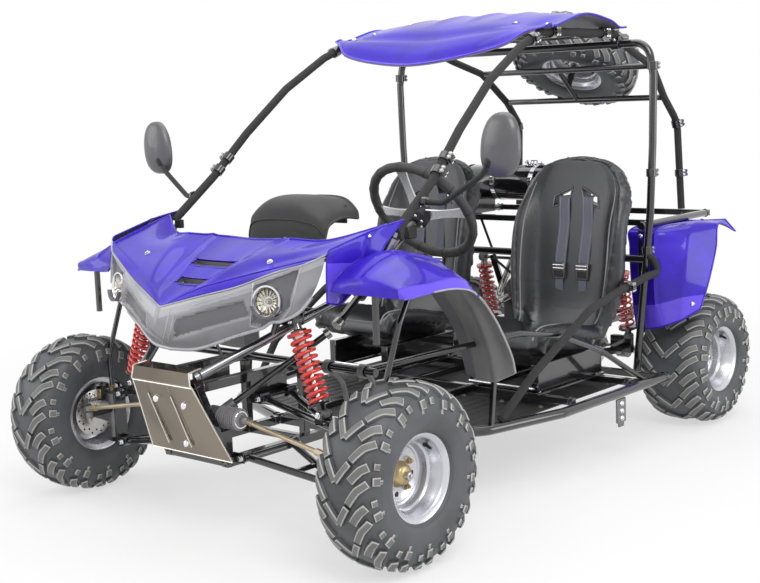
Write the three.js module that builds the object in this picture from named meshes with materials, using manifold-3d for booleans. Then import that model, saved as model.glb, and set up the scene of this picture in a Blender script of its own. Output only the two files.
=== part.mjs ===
// Two seat off road go kart: tube frame and cage, independent front arms, rear swing arm, live rear axle.
// Millimetres, +Z up, the kart faces -Y and its left side is +X. Stations are measured from the front axle.
import * as THREE from 'three';
import { mergeVertices, mergeGeometries } from 'three/addons/utils/BufferGeometryUtils.js';
import Module from 'manifold-3d';

const wasm = await Module();
wasm.setup();

// Driving dimensions
const wheelbase = 1774;
const frontReach = 241.5;
const rearReach = 331.5;
const frontTrack = 1283;
const rearTrack = 1049;
const cageHalfWidth = 550;
const cageHeight = 1420;
const gap = 0.3;
const weld = 0.001;
const overrun = 2;

const frontTyre = { radius: 241.5, halfWidth: 89, beadHalf: 66, bore: 102, wall: 8, lug: 11 };
const rearTyre = { radius: 228.5, halfWidth: 120.5, beadHalf: 96, bore: 102, wall: 8, lug: 11 };
const rim = { seat: 100.3, lip: 113, lipWidth: 7, wall: 4, hubRadius: 38, discRadius: 72, discWidth: 4 };
const tube = { hoop: 13, pillar: 14, rail: 16, frame: 12.7, light: 9, leg: 10, bend: 60, tightBend: 30 };
const pivot = { across: 150, upper: 375, lower: 225, drop: 52.5, outer: 448 };
const eye = { outer: 14, bore: 7.3, width: 30, pin: 6, ear: 5, side: 0.5, reach: 10 };
const kingpin = { across: 500, radius: 8, bore: 8.7, sleeve: 17, lug: 12, play: 0.6 };
const rack = { station: -100, height: 340, bar: 10, bore: 10.6, housing: 22, halfLength: 105, travelEnd: 179.7 };
const boot = { outer: 29, valley: 25, bore: 20, length: 80, ribs: 6 };
const tieRod = { inner: 192, outer: 490, ball: 12, rod: 7, endHeight: 287 };
const shock = { topAcross: 300, topHeight: 606, lowAcross: 388, lowHeight: 362, tube: 17, rod: 6.5, bore: 7.2, seat: 33 };
const spring = { radius: 26, wire: 9, curls: 6, rearCurls: 4 };
const column = { across: 300, jointStation: 150, jointHeight: 560, radius: 10, bearing: 11 };
const wheelHub = { station: 545, height: 846, rimRadius: 165, rimTube: 14, hub: 34 };
const swing = { station: 1400, height: 262, across: 235, pin: 12, bore: 13.4, sleeve: 20, arm: 15 };
const axle = { radius: 15, carrierBore: 16.2, carrier: 32, carrierWidth: 40, sprocket: 78, disc: 72 };
const panel = { skin: 4, sheet: 3 };

const frontAxleY = -(wheelbase + rearReach - frontReach) / 2;
const rearAxleY = frontAxleY + wheelbase;

// Points and small helpers
const point = (x, station, z) => new THREE.Vector3(x, frontAxleY + station, z);
const place = ([x, y, z]) => point(x * cageHalfWidth, y * wheelbase, z * cageHeight);
const placeAll = (shares) => shares.map(place);
const flip = (v) => new THREE.Vector3(-v.x, v.y, v.z);

function closed(geometry) {
  const plain = geometry.index ? geometry.toNonIndexed() : geometry.clone();
  for (const name of Object.keys(plain.attributes)) {
    if (name !== 'position') plain.deleteAttribute(name);
  }
  return mergeVertices(plain, weld);
}

function volumeOf(geometry) {
  const at = geometry.attributes.position;
  const order = geometry.index;
  const corners = [new THREE.Vector3(), new THREE.Vector3(), new THREE.Vector3()];
  let sum = 0;
  for (let i = 0; i < order.count; i += 3) {
    corners.forEach((corner, k) => corner.fromBufferAttribute(at, order.getX(i + k)));
    sum += corners[0].dot(corners[1].clone().cross(corners[2]));
  }
  return sum;
}

// A closed geometry whose faces point out.
function outward(geometry) {
  const whole = closed(geometry);
  if (volumeOf(whole) < 0) {
    const order = Array.from(whole.index.array);
    for (let i = 0; i < order.length; i += 3) {
      [order[i + 1], order[i + 2]] = [order[i + 2], order[i + 1]];
    }
    whole.setIndex(order);
  }
  return whole;
}

function toSolid(geometry) {
  const whole = outward(geometry);
  return new wasm.Manifold(new wasm.Mesh({
    numProp: 3,
    vertProperties: new Float32Array(whole.attributes.position.array),
    triVerts: new Uint32Array(whole.index.array),
  }));
}

function fromSolid(solid) {
  const mesh = solid.getMesh();
  const geometry = new THREE.BufferGeometry();
  geometry.setAttribute('position', new THREE.BufferAttribute(new Float32Array(mesh.vertProperties), 3));
  geometry.setIndex(Array.from(mesh.triVerts));
  return geometry;
}

function fuse(...geometries) {
  const solids = geometries.flat().map(toSolid);
  return fromSolid(solids.reduce((sum, next) => sum.add(next)));
}

function cut(geometry, ...tools) {
  return fromSolid(tools.flat().map(toSolid).reduce((rest, tool) => rest.subtract(tool), toSolid(geometry)));
}

const mirrored = (geometry) => outward(geometry.clone().scale(-1, 1, 1));
const both = (geometry) => [geometry, mirrored(geometry)];

// Tubes along routes of bent straight runs
class Route extends THREE.Curve {
  constructor(points) {
    super();
    this.points = points;
  }

  at(t) {
    return Math.round(t * (this.points.length - 1));
  }

  getPoint(t) {
    return this.points[this.at(t)].clone();
  }

  getPointAt(t) {
    return this.getPoint(t);
  }

  getTangent(t) {
    const i = this.at(t);
    const before = this.points[Math.max(i - 1, 0)];
    const after = this.points[Math.min(i + 1, this.points.length - 1)];
    const here = this.points[i];
    const into = here.clone().sub(before).normalize();
    const out = after.clone().sub(here).normalize();
    return into.add(out).normalize();
  }

  getTangentAt(t) {
    return this.getTangent(t);
  }
}

const bendStep = Math.PI / 6;
const mostOfRun = 0.45;

function bent(corners, radius) {
  const route = [corners[0]];
  for (let i = 1; i < corners.length - 1; i += 1) {
    const here = corners[i];
    const back = corners[i - 1].clone().sub(here);
    const ahead = corners[i + 1].clone().sub(here);
    const turn = Math.PI - back.angleTo(ahead);
    const reach = Math.min(radius * Math.tan(turn / 2), mostOfRun * Math.min(back.length(), ahead.length()));
    const start = here.clone().addScaledVector(back.normalize(), reach);
    const end = here.clone().addScaledVector(ahead.normalize(), reach);
    const steps = Math.round(turn / bendStep);
    const curve = new THREE.QuadraticBezierCurve3(start, here, end);
    if (steps === 0 || reach === 0) route.push(here);
    for (let k = 0; steps > 0 && reach > 0 && k <= steps; k += 1) route.push(curve.getPoint(k / steps));
  }
  route.push(corners[corners.length - 1]);
  return route;
}

function roundSection(radius, sides) {
  const corners = [];
  for (let i = 0; i < sides; i += 1) {
    const angle = (i / sides) * 2 * Math.PI;
    corners.push(new THREE.Vector2(radius * Math.cos(angle), radius * Math.sin(angle)));
  }
  return new THREE.Shape(corners);
}

function sweep(route, radius, sides) {
  return outward(new THREE.ExtrudeGeometry(roundSection(radius, sides), {
    steps: route.length - 1,
    extrudePath: new Route(route),
  }));
}

function pipe(corners, radius, bend = tube.bend, sides = 6) {
  return sweep(bent(corners, bend), radius, sides);
}

function rod(from, to, radius, sides = 6, endRadius = radius) {
  const along = to.clone().sub(from);
  const geometry = new THREE.CylinderGeometry(endRadius, radius, along.length(), sides);
  geometry.applyQuaternion(new THREE.Quaternion().setFromUnitVectors(
    new THREE.Vector3(0, 1, 0),
    along.clone().normalize(),
  ));
  const middle = from.clone().add(to).multiplyScalar(1 / 2);
  return geometry.translate(middle.x, middle.y, middle.z);
}

// A square tube between two points.
function boxTube(from, to, half) {
  const along = to.clone().sub(from);
  const corner = half * Math.SQRT2;
  const geometry = new THREE.CylinderGeometry(corner, corner, along.length(), 4, 1, false, Math.PI / 4);
  geometry.applyQuaternion(new THREE.Quaternion().setFromUnitVectors(
    new THREE.Vector3(0, 1, 0),
    along.clone().normalize(),
  ));
  const middle = from.clone().add(to).multiplyScalar(1 / 2);
  return geometry.translate(middle.x, middle.y, middle.z);
}

function block(x0, x1, s0, s1, z0, z1) {
  const geometry = new THREE.BoxGeometry(Math.abs(x1 - x0), Math.abs(s1 - s0), Math.abs(z1 - z0));
  return geometry.translate((x0 + x1) / 2, frontAxleY + (s0 + s1) / 2, (z0 + z1) / 2);
}

// A turned shape: pairs of place along the axis and radius, set at a centre with its axis along a direction.
function turned(profile, centre, direction, sides = 24, phase = 0) {
  const outline = profile.map(([along, radius]) => new THREE.Vector2(radius, along));
  const geometry = new THREE.LatheGeometry(outline, sides, phase);
  geometry.applyQuaternion(new THREE.Quaternion().setFromUnitVectors(
    new THREE.Vector3(0, 1, 0),
    direction.clone().normalize(),
  ));
  return outward(geometry.translate(centre.x, centre.y, centre.z));
}

function ring(centre, direction, outer, inner, width, sides = 6) {
  const half = width / 2;
  const profile = [[-half, inner], [-half, outer], [half, outer], [half, inner], [-half, inner]];
  return turned(profile, centre, direction, sides);
}

const alongX = new THREE.Vector3(1, 0, 0);
const alongY = new THREE.Vector3(0, 1, 0);
const alongZ = new THREE.Vector3(0, 0, 1);

// A skin over rows of points, with its back face a wall's depth behind.
function skin(rows, depth, inward) {
  const high = rows.length;
  const wide = rows[0].length;
  const normalAt = (i, j) => {
    if (inward) return inward.clone().normalize().negate();
    const up = rows[Math.min(i + 1, high - 1)][j].clone().sub(rows[Math.max(i - 1, 0)][j]);
    const over = rows[i][Math.min(j + 1, wide - 1)].clone().sub(rows[i][Math.max(j - 1, 0)]);
    return over.cross(up).normalize();
  };
  const corners = [];
  for (const side of [0, 1]) {
    rows.forEach((row, i) => row.forEach((p, j) => {
      corners.push(p.clone().addScaledVector(normalAt(i, j), -side * depth));
    }));
  }
  const id = (side, i, j) => side * high * wide + i * wide + j;
  const faces = [];
  const quad = (a, b, c, d) => faces.push(a, b, c, a, c, d);
  for (let i = 0; i < high - 1; i += 1) {
    for (let j = 0; j < wide - 1; j += 1) {
      quad(id(0, i, j), id(0, i, j + 1), id(0, i + 1, j + 1), id(0, i + 1, j));
      quad(id(1, i, j), id(1, i + 1, j), id(1, i + 1, j + 1), id(1, i, j + 1));
    }
  }
  for (let j = 0; j < wide - 1; j += 1) {
    quad(id(0, 0, j), id(1, 0, j), id(1, 0, j + 1), id(0, 0, j + 1));
    quad(id(0, high - 1, j), id(0, high - 1, j + 1), id(1, high - 1, j + 1), id(1, high - 1, j));
  }
  for (let i = 0; i < high - 1; i += 1) {
    quad(id(0, i, 0), id(0, i + 1, 0), id(1, i + 1, 0), id(1, i, 0));
    quad(id(0, i, wide - 1), id(1, i, wide - 1), id(1, i + 1, wide - 1), id(0, i + 1, wide - 1));
  }
  const geometry = new THREE.BufferGeometry();
  geometry.setAttribute('position', new THREE.Float32BufferAttribute(corners.flatMap((c) => c.toArray()), 3));
  geometry.setIndex(faces);
  return outward(geometry);
}

// A panel given as shares of its own box: half width, first station and length, lowest height and rise.
function sheet(size, rows, depth, inward) {
  const points = rows.map((row) => row.map(([x, y, z]) => point(
    x * size.halfWidth,
    size.front + y * size.length,
    size.low + z * size.rise,
  )));
  return skin(points, depth, inward);
}

const wholeRow = (row) => [...row.slice(1).reverse().map(([x, y, z]) => [-x, y, z]), ...row];
const wholeRows = (rows) => rows.map(wholeRow);

// Springs and boots
function coil(from, to, radius, wire, curls) {
  const along = to.clone().sub(from);
  const lengthwise = along.clone().normalize();
  const side = new THREE.Vector3().crossVectors(alongY, lengthwise).normalize();
  const front = new THREE.Vector3().crossVectors(lengthwise, side);
  const stepsPerCurl = 8;
  const route = [];
  for (let i = 0; i <= curls * stepsPerCurl; i += 1) {
    const share = i / (curls * stepsPerCurl);
    const angle = (i / stepsPerCurl) * 2 * Math.PI;
    route.push(from.clone()
      .addScaledVector(along, share)
      .addScaledVector(side, radius * Math.cos(angle))
      .addScaledVector(front, radius * Math.sin(angle)));
  }
  let least = Infinity;
  for (let i = 0; i + stepsPerCurl < route.length; i += 1) {
    least = Math.min(least, route[i].distanceTo(route[i + stepsPerCurl]) - wire);
  }
  console.log(`coil of ${curls} curls: least gap to itself ${least.toFixed(2)} mm`);
  return sweep(route, wire / 2, 5);
}

function ribbedBoot(from) {
  const ribLength = boot.length / boot.ribs;
  const outside = [];
  for (let i = 0; i < boot.ribs; i += 1) {
    outside.push([i * ribLength, boot.valley], [(i + 1 / 2) * ribLength, boot.outer]);
  }
  outside.push([boot.length, boot.valley]);
  const inside = [[boot.length, boot.bore], [boot.length / 2, boot.bore], [0, boot.bore]];
  console.log(`boot of ${boot.ribs} ribs: least gap between ribs ${(ribLength / 2).toFixed(2)} mm`);
  const profile = [[0, boot.bore], ...outside, ...inside];
  return turned(profile, from, alongX, 8);
}

// Materials
const paint = {
  purple: [0x2f1fa6, 0.25, 0.1],
  charcoal: [0x4a4a4e, 0.5, 0.1],
  frameBlack: [0x0c0c0e, 0.3, 0.3],
  wrapBlack: [0x1a1a1a, 0.9, 0.0],
  steel: [0xb8b8bc, 0.3, 0.9],
  stainless: [0xa08f78, 0.15, 1.0],
  rubber: [0x26282b, 0.85, 0.0],
  leather: [0x17181b, 0.45, 0.0],
  springRed: [0xc81a1e, 0.35, 0.1],
  zinc: [0xc9bd96, 0.4, 0.8],
  plasticBlack: [0x1c1c1e, 0.6, 0.0],
  plasticGrey: [0x606064, 0.45, 0.0],
  bootGrey: [0x7c7c80, 0.7, 0.0],
  glass: [0xe8e4d8, 0.1, 0.2],
  alloy: [0x8d8d90, 0.4, 0.8],
};

const kart = new THREE.Group();
kart.name = 'off_road_go_kart';

function add(name, geometry, finish) {
  const [color, roughness, metalness] = paint[finish];
  const shown = geometry.clone();
  const mesh = new THREE.Mesh(shown, new THREE.MeshStandardMaterial({ color, roughness, metalness }));
  mesh.name = name;
  kart.add(mesh);
  return mesh;
}

function addPair(name, geometry, finish) {
  add(`${name}_left`, geometry, finish);
  add(`${name}_right`, geometry, finish).scale.x = -1;
}

// Wheels
const frontHub = point(frontTrack / 2, 0, frontTyre.radius);
const rearHub = point(rearTrack / 2, wheelbase, rearTyre.radius);

const treadColumns_share = [-0.8, -0.4, 0, 0.4, 0.8];
const lugCount = 10;
const stepsPerLug = 2;
const beadTuck = 5.2;

function tyre(size, centre, direction, lugs = lugCount) {
  const depth = size.radius - size.bore;
  const segments = lugs * stepsPerLug;
  const base = size.radius - size.lug;
  const bead = size.beadHalf - beadTuck;
  const inner = bead - size.wall / 2;
  const side = [[bead, 0], [size.halfWidth, 0.5]];
  const columns = [];
  side.forEach(([u, share]) => columns.push({ u: -u, r: size.bore + share * depth, tread: null }));
  treadColumns_share.forEach((share, k) => columns.push({ u: share * size.halfWidth, r: base, tread: Math.abs(k - 2) }));
  [...side].reverse().forEach(([u, share]) => columns.push({ u, r: size.bore + share * depth, tread: null }));
  columns.push({ u: inner, r: size.bore, tread: null });
  columns.push({ u: 0, r: base - size.wall, tread: null });
  columns.push({ u: -inner, r: size.bore, tread: null });
  const corners = [];
  for (let i = 0; i < segments; i += 1) {
    const angle = -Math.PI / 2 + (i / segments) * 2 * Math.PI;
    columns.forEach(({ u, r, tread }) => {
      const raised = tread !== null && (i + segments - tread) % stepsPerLug === 0;
      const radius = raised ? size.radius : r;
      corners.push(u, radius * Math.cos(angle), radius * Math.sin(angle));
    });
  }
  const wide = columns.length;
  const faces = [];
  for (let i = 0; i < segments; i += 1) {
    const next = ((i + 1) % segments) * wide;
    for (let j = 0; j < wide; j += 1) {
      const k = (j + 1) % wide;
      faces.push(i * wide + j, i * wide + k, next + k, i * wide + j, next + k, next + j);
    }
  }
  const geometry = new THREE.BufferGeometry();
  geometry.setAttribute('position', new THREE.Float32BufferAttribute(corners, 3));
  geometry.setIndex(faces);
  geometry.applyQuaternion(new THREE.Quaternion().setFromUnitVectors(alongX, direction.clone().normalize()));
  return outward(geometry.translate(centre.x, centre.y, centre.z));
}

// The rim's section from its outer lip, over the bead seats and back through the barrel to the hub.
function rimProfile(size, faceAt, hub) {
  const lipAt = size.beadHalf + gap;
  const edge = lipAt + rim.lipWidth;
  const seat = rim.seat;
  const barrel = seat - rim.wall;
  const step = barrel * 0.9;
  return [
    [hub.cap, 0], [hub.cap, hub.nose], [faceAt, rim.hubRadius],
    [faceAt, step * 0.86], [faceAt + size.beadHalf * 0.4, step],
    [size.beadHalf * 0.8, barrel], [edge, rim.lip], [lipAt, rim.lip], [lipAt, seat],
    [-lipAt, seat], [-lipAt, rim.lip], [-edge, rim.lip], [-lipAt + rim.wall, barrel],
    [faceAt - rim.wall, barrel],
  ];
}

const discBack = -46;
const rimSides = 12;

function frontRim() {
  const faceAt = -2;
  const hub = { cap: 26, nose: 14, bore: 12.4, boreEnd: 10 };
  const backs = [
    [faceAt - rim.wall, rim.hubRadius], [discBack + rim.discWidth, rim.hubRadius],
    [discBack + rim.discWidth, rim.discRadius], [discBack, rim.discRadius],
    [discBack, hub.bore], [hub.boreEnd, hub.bore], [hub.boreEnd, 0],
  ];
  return turned([...rimProfile(frontTyre, faceAt, hub), ...backs], frontHub, alongX, rimSides);
}

function rearRim() {
  const faceAt = 20;
  const hub = { cap: faceAt + 4, nose: 12 };
  const backs = [[faceAt - rim.wall, 0]];
  return turned([...rimProfile(rearTyre, faceAt, hub), ...backs], rearHub, alongX, rimSides);
}

addPair('front_rim', frontRim(), 'steel');
addPair('rear_rim', rearRim(), 'steel');
addPair('front_tyre', tyre(frontTyre, frontHub, alongX), 'rubber');
addPair('rear_tyre', tyre(rearTyre, rearHub, alongX), 'rubber');

// Rear axle: shaft, hub flanges under the wheel faces, sprocket and brake disc
const rearFace = 20 - rim.wall - gap;
const sprocketAcross = -70;
const discAcross = 120;

function rearAxle() {
  const end = rearHub.x + rearFace;
  const flange = [[end, 0], [end, rim.hubRadius], [end - rim.lipWidth, rim.hubRadius], [end - 60, axle.radius]];
  const plateAt = (x, width, radius) => [[x + width, axle.radius], [x + width, radius], [x, radius], [x, axle.radius]];
  return turned([
    ...flange,
    ...plateAt(discAcross, rim.discWidth, axle.disc),
    ...plateAt(sprocketAcross, rim.lipWidth, axle.sprocket),
    ...[...flange].reverse().map(([x, radius]) => [-x, radius]),
  ], new THREE.Vector3(0, rearHub.y, rearHub.z), alongX, 12);
}

add('rear_axle', rearAxle(), 'alloy');

// Swing arm: pivot sleeves, two arms, bearing carriers round the axle and a cross tube
const shockFoot = { across: 300, station: 1700, low: 292, seat: 1, top: 560, topStation: 1640, stayIn: 44 };

function swingArm() {
  const start = point(swing.across, swing.station, swing.height);
  const carrierAt = new THREE.Vector3(swing.across, rearHub.y, rearHub.z);
  const arm = boxTube(start, carrierAt, swing.arm - 1);
  const foot = block(
    swing.across - 6,
    shockFoot.across + eye.outer,
    shockFoot.station - 12,
    shockFoot.station + 12,
    swing.height - 2 * swing.arm,
    shockFoot.low + shockFoot.seat,
  );
  const cross = boxTube(
    point(-swing.across, swing.station + 90, swing.height - 6),
    point(swing.across, swing.station + 90, swing.height - 6),
    tube.frame - 1,
  );
  const outside = rod(
    start.clone().addScaledVector(alongX, -axle.carrierWidth / 2),
    start.clone().addScaledVector(alongX, axle.carrierWidth / 2),
    swing.sleeve,
    8,
  );
  const carrier = rod(
    carrierAt.clone().addScaledVector(alongX, -axle.carrierWidth / 2),
    carrierAt.clone().addScaledVector(alongX, axle.carrierWidth / 2),
    axle.carrier,
    10,
  );
  const wide = swing.across + axle.carrierWidth;
  const pivotBore = rod(
    point(-wide, swing.station, swing.height),
    point(wide, swing.station, swing.height),
    swing.bore,
    8,
  );
  const axleBore = rod(
    new THREE.Vector3(-wide, rearHub.y, rearHub.z),
    new THREE.Vector3(wide, rearHub.y, rearHub.z),
    axle.carrierBore,
    10,
  );
  const whole = fuse(both(arm), both(foot), cross, both(outside), both(carrier));
  return cut(whole, pivotBore, axleBore);
}

add('swing_arm', swingArm(), 'frameBlack');

// Rear shocks: damper, seats and coil in one unit
function rearShock() {
  const top = point(shockFoot.across, shockFoot.topStation, shockFoot.top);
  const low = point(shockFoot.across, shockFoot.station, shockFoot.low);
  const on = (share) => top.clone().lerp(low, share);
  const radius = spring.radius - spring.wire / 2;
  const body_shares = [[0.045, 0, 0], [0.045, 0, 1], [0.1, 0, 1], [0.1, 1, 0], [0.13, 1, 0], [0.13, 0, 1], [0.55, 0, 1],
    [0.55, 0, 0.5], [0.87, 0, 0.5], [0.87, 1, 0], [0.9, 1, 0], [0.9, 0, 1], [0.985, 0, 1], [0.985, 0, 0]];
  const length = top.distanceTo(low);
  const profile = body_shares.map(([share, seatPart, tubePart]) => [
    share * length,
    seatPart * shock.seat + tubePart * (shock.tube - eye.ear),
  ]);
  return fuse(
    turned(profile, top, low.clone().sub(top), 6),
    ring(top, alongX, eye.outer, eye.pin + 1.5 * gap, eye.width),
    coil(on(0.142), on(0.858), radius, spring.wire, spring.rearCurls),
  );
}

addPair('rear_shock', rearShock(), 'springRed');

// Front arms
const upperEyes = [15, 115];
const lowerEyes = [-60, 115];
const at3 = (x, s, z) => point(x, s, z);

function armBody(height, stations, extra = []) {
  const tip = at3(pivot.outer, 0, height - pivot.drop);
  const legs = stations.map((s) => rod(at3(pivot.across, s, height), tip, tube.leg));
  const outers = stations.map((s) => rod(
    at3(pivot.across, s - eye.width / 2, height),
    at3(pivot.across, s + eye.width / 2, height),
    eye.outer,
    8,
  ));
  const tipEye = rod(
    tip.clone().addScaledVector(alongY, -eye.width / 2),
    tip.clone().addScaledVector(alongY, eye.width / 2),
    eye.outer,
    8,
  );
  const innerBore = rod(
    at3(pivot.across, Math.min(...stations) - eye.width, height),
    at3(pivot.across, Math.max(...stations) + eye.width, height),
    eye.bore,
  );
  const tipBore = rod(
    tip.clone().addScaledVector(alongY, -eye.width),
    tip.clone().addScaledVector(alongY, eye.width),
    eye.bore,
  );
  return cut(fuse(legs, outers, tipEye, ...extra), innerBore, tipBore);
}

function upperArm() {
  const lift = shock.lowHeight;
  const half = eye.width / 2 + eye.side;
  const earAt = (side) => block(
    shock.lowAcross - eye.outer,
    shock.lowAcross + eye.outer,
    side * half,
    side * (half + eye.ear),
    lift - eye.outer - eye.bore - eye.ear,
    lift + eye.bore,
  );
  const base = block(
    shock.lowAcross - eye.outer,
    shock.lowAcross + eye.outer,
    -half - eye.ear,
    half + eye.ear,
    lift - eye.outer - eye.bore - eye.ear,
    lift - eye.outer - eye.bore,
  );
  return armBody(pivot.upper, upperEyes, [earAt(1), earAt(-1), base]);
}

addPair('upper_arm', upperArm(), 'frameBlack');
addPair('lower_arm', armBody(pivot.lower, lowerEyes), 'frameBlack');

// Uprights: a web with ears for both arms and lugs that hold the kingpin
const tipUpper = pivot.upper - pivot.drop;
const tipLower = pivot.lower - pivot.drop;
const web = { inner: 466, outer: 474, half: 21 };

function upright() {
  const half = eye.width / 2 + eye.side;
  const parts = [block(
    web.inner,
    web.outer,
    -web.half,
    web.half,
    tipLower - eye.outer,
    tipUpper + eye.outer,
  )];
  for (const z of [tipUpper, tipLower]) {
    for (const side of [1, -1]) {
      parts.push(block(
        pivot.outer - eye.reach,
        web.inner + overrun,
        side * half,
        side * (half + eye.ear),
        z - eye.outer,
        z + eye.outer,
      ));
    }
    parts.push(rod(
      at3(pivot.outer, -half - eye.ear, z),
      at3(pivot.outer, half + eye.ear, z),
      eye.pin,
      6,
    ));
    parts.push(block(
      web.outer - overrun,
      kingpin.across + kingpin.sleeve,
      -kingpin.sleeve,
      kingpin.sleeve,
      z - kingpin.lug / 2,
      z + kingpin.lug / 2,
    ));
  }
  parts.push(rod(at3(kingpin.across, 0, tipLower), at3(kingpin.across, 0, tipUpper), kingpin.radius, 8));
  return fuse(parts);
}

addPair('upright', upright(), 'frameBlack');

// Spindles: kingpin sleeve, stub axle, steering arm and caliper over the disc
const caliper = { near: 20, far: 50, low: 34, high: 77, inner: 582, outer: 612, slot: 1.4 };

function spindle() {
  const low = tipLower + kingpin.lug / 2 + kingpin.play;
  const high = tipUpper - kingpin.lug / 2 - kingpin.play;
  const armTop = tieRod.endHeight - rack.bar;
  const hubFace = frontHub.x + discBack - kingpin.play;
  const sleeve = rod(at3(kingpin.across, 0, low), at3(kingpin.across, 0, high), kingpin.sleeve, 8);
  const stub = rod(at3(kingpin.across, 0, frontHub.z), at3(frontHub.x + 9, 0, frontHub.z), 11.5, 8);
  const shoulder = rod(at3(kingpin.across, 0, frontHub.z), at3(hubFace, 0, frontHub.z), 20, 8, 16);
  const arm = rod(at3(kingpin.across, 0, armTop - rack.bar), at3(tieRod.outer, rack.station, armTop - rack.bar), rack.bar);
  const boss = rod(
    at3(tieRod.outer, rack.station, armTop - 2 * rack.bar),
    at3(tieRod.outer, rack.station, armTop),
    tieRod.ball,
    8,
  );
  const body = block(
    caliper.inner,
    caliper.outer,
    caliper.near,
    caliper.far,
    frontHub.z + caliper.low,
    frontHub.z + caliper.high,
  );
  const discAt = frontHub.x + discBack + rim.discWidth;
  const slot = block(
    discAt - rim.discWidth - caliper.slot,
    discAt + caliper.slot,
    0,
    2 * caliper.far,
    frontHub.z,
    frontHub.z + rim.discRadius + caliper.slot,
  );
  const barLow = frontHub.z + caliper.low + overrun;
  const bar = rod(at3(kingpin.across, 8, barLow + 8), at3(caliper.inner + overrun, 38, barLow + 8), 8);
  const whole = fuse(sleeve, stub, shoulder, arm, boss, bar, cut(body, slot));
  const bore = rod(at3(kingpin.across, 0, low - overrun), at3(kingpin.across, 0, high + overrun), kingpin.bore, 8);
  return cut(whole, bore);
}

addPair('spindle', spindle(), 'alloy');

// Front shocks: damper tube with its upper eye, rod with its lower eye, and the coil between two seats
const shockTop = at3(shock.topAcross, 0, shock.topHeight);
const shockLow = at3(shock.lowAcross, 0, shock.lowHeight);
const onShock = (share) => shockTop.clone().lerp(shockLow, share);
const seatShares = { upper: 0.17, lower: 0.87, thick: 0.02, tubeEnd: 0.56, rodStart: 0.45, boreStart: 0.26 };

const shockSpan = shockTop.distanceTo(shockLow);
const shockWay = shockLow.clone().sub(shockTop);

function shockBody() {
  const tubeRadius = shock.tube - eye.ear;
  const seatStart = (seatShares.upper - seatShares.thick) * shockSpan;
  const profile = [[eye.outer - overrun, 0], [eye.outer - overrun, tubeRadius], [seatStart, tubeRadius],
    [seatStart, shock.seat], [seatShares.upper * shockSpan, shock.seat], [seatShares.upper * shockSpan, tubeRadius],
    [seatShares.tubeEnd * shockSpan, tubeRadius], [seatShares.tubeEnd * shockSpan, shock.bore],
    [seatShares.boreStart * shockSpan, shock.bore], [seatShares.boreStart * shockSpan, 0]];
  return fuse(
    ring(shockTop, alongY, eye.outer, eye.bore, eye.width),
    turned(profile, shockTop, shockWay, 8),
  );
}

function shockRod() {
  const seatEnd = (seatShares.lower + seatShares.thick) * shockSpan;
  const end = shockSpan - eye.outer + overrun;
  const profile = [[seatShares.rodStart * shockSpan, 0], [seatShares.rodStart * shockSpan, shock.rod],
    [seatShares.lower * shockSpan, shock.rod], [seatShares.lower * shockSpan, shock.seat], [seatEnd, shock.seat],
    [seatEnd, shock.rod], [end, shock.rod], [end, 0]];
  return fuse(
    ring(shockLow, alongY, eye.outer, eye.bore, eye.width),
    turned(profile, shockTop, shockWay, 8),
  );
}

function frontCoil() {
  const inset = (spring.wire / 2 + gap * 2) / shockSpan;
  return coil(
    onShock(seatShares.upper + inset),
    onShock(seatShares.lower - inset),
    spring.radius,
    spring.wire,
    spring.curls,
  );
}

addPair('front_shock_body', shockBody(), 'alloy');
addPair('front_shock_rod', shockRod(), 'steel');
addPair('front_spring', frontCoil(), 'springRed');

// Steering: rack housing with boots, rack bar, tie rods, lower shaft and wheel with its column
const rackAt = (x) => at3(x, rack.station, rack.height);
const joint = at3(column.across, column.jointStation, column.jointHeight);
const pinion = rackAt(85);
const shaftWay = joint.clone().sub(pinion).normalize();
const hubCentre = at3(column.across, wheelHub.station, wheelHub.height);
const columnWay = hubCentre.clone().sub(joint).normalize();
const towerLength = 60;

function rackHousing() {
  const body = rod(rackAt(-rack.halfLength), rackAt(rack.halfLength), rack.housing, 8);
  const tower = rod(pinion, pinion.clone().addScaledVector(shaftWay, towerLength), 16);
  const feet = both(block(
    50,
    80,
    rack.station - rack.housing,
    rack.station + rack.housing,
    rack.height - rack.housing - tube.frame,
    rack.height,
  ));
  const boots = both(ribbedBoot(rackAt(rack.halfLength - overrun)));
  const bore = rod(rackAt(-boot.length * 3), rackAt(boot.length * 3), rack.bore, 8);
  const whole = fuse(body, tower, feet);
  return fuse(cut(whole, bore), boots);
}

add('rack_housing', rackHousing(), 'bootGrey');
add('rack_bar', rod(rackAt(-rack.travelEnd), rackAt(rack.travelEnd), rack.bar, 8), 'steel');

function tieRodShape() {
  const inner = rackAt(tieRod.inner);
  const outer = at3(tieRod.outer, rack.station, tieRod.endHeight);
  return fuse(
    turned([[-tieRod.ball, 0], [-tieRod.ball * 0.6, tieRod.ball * 0.8], [tieRod.ball * 0.6, tieRod.ball * 0.8],
      [tieRod.ball, 0]], inner, alongX, 8),
    rod(inner, outer, tieRod.rod),
    rod(at3(tieRod.outer, rack.station, tieRod.endHeight - tieRod.rod),
      at3(tieRod.outer, rack.station, tieRod.endHeight + tieRod.rod), tieRod.ball, 8),
  );
}

addPair('tie_rod', tieRodShape(), 'zinc');

function steeringShaft() {
  const start = pinion.clone().addScaledVector(shaftWay, towerLength + gap);
  const end = joint.clone().addScaledVector(shaftWay, -16);
  return fuse(
    rod(start, end, column.radius - 1),
    rod(end.clone().addScaledVector(shaftWay, -16), end, column.radius + 5),
  );
}

add('steering_shaft', steeringShaft(), 'frameBlack');

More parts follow.
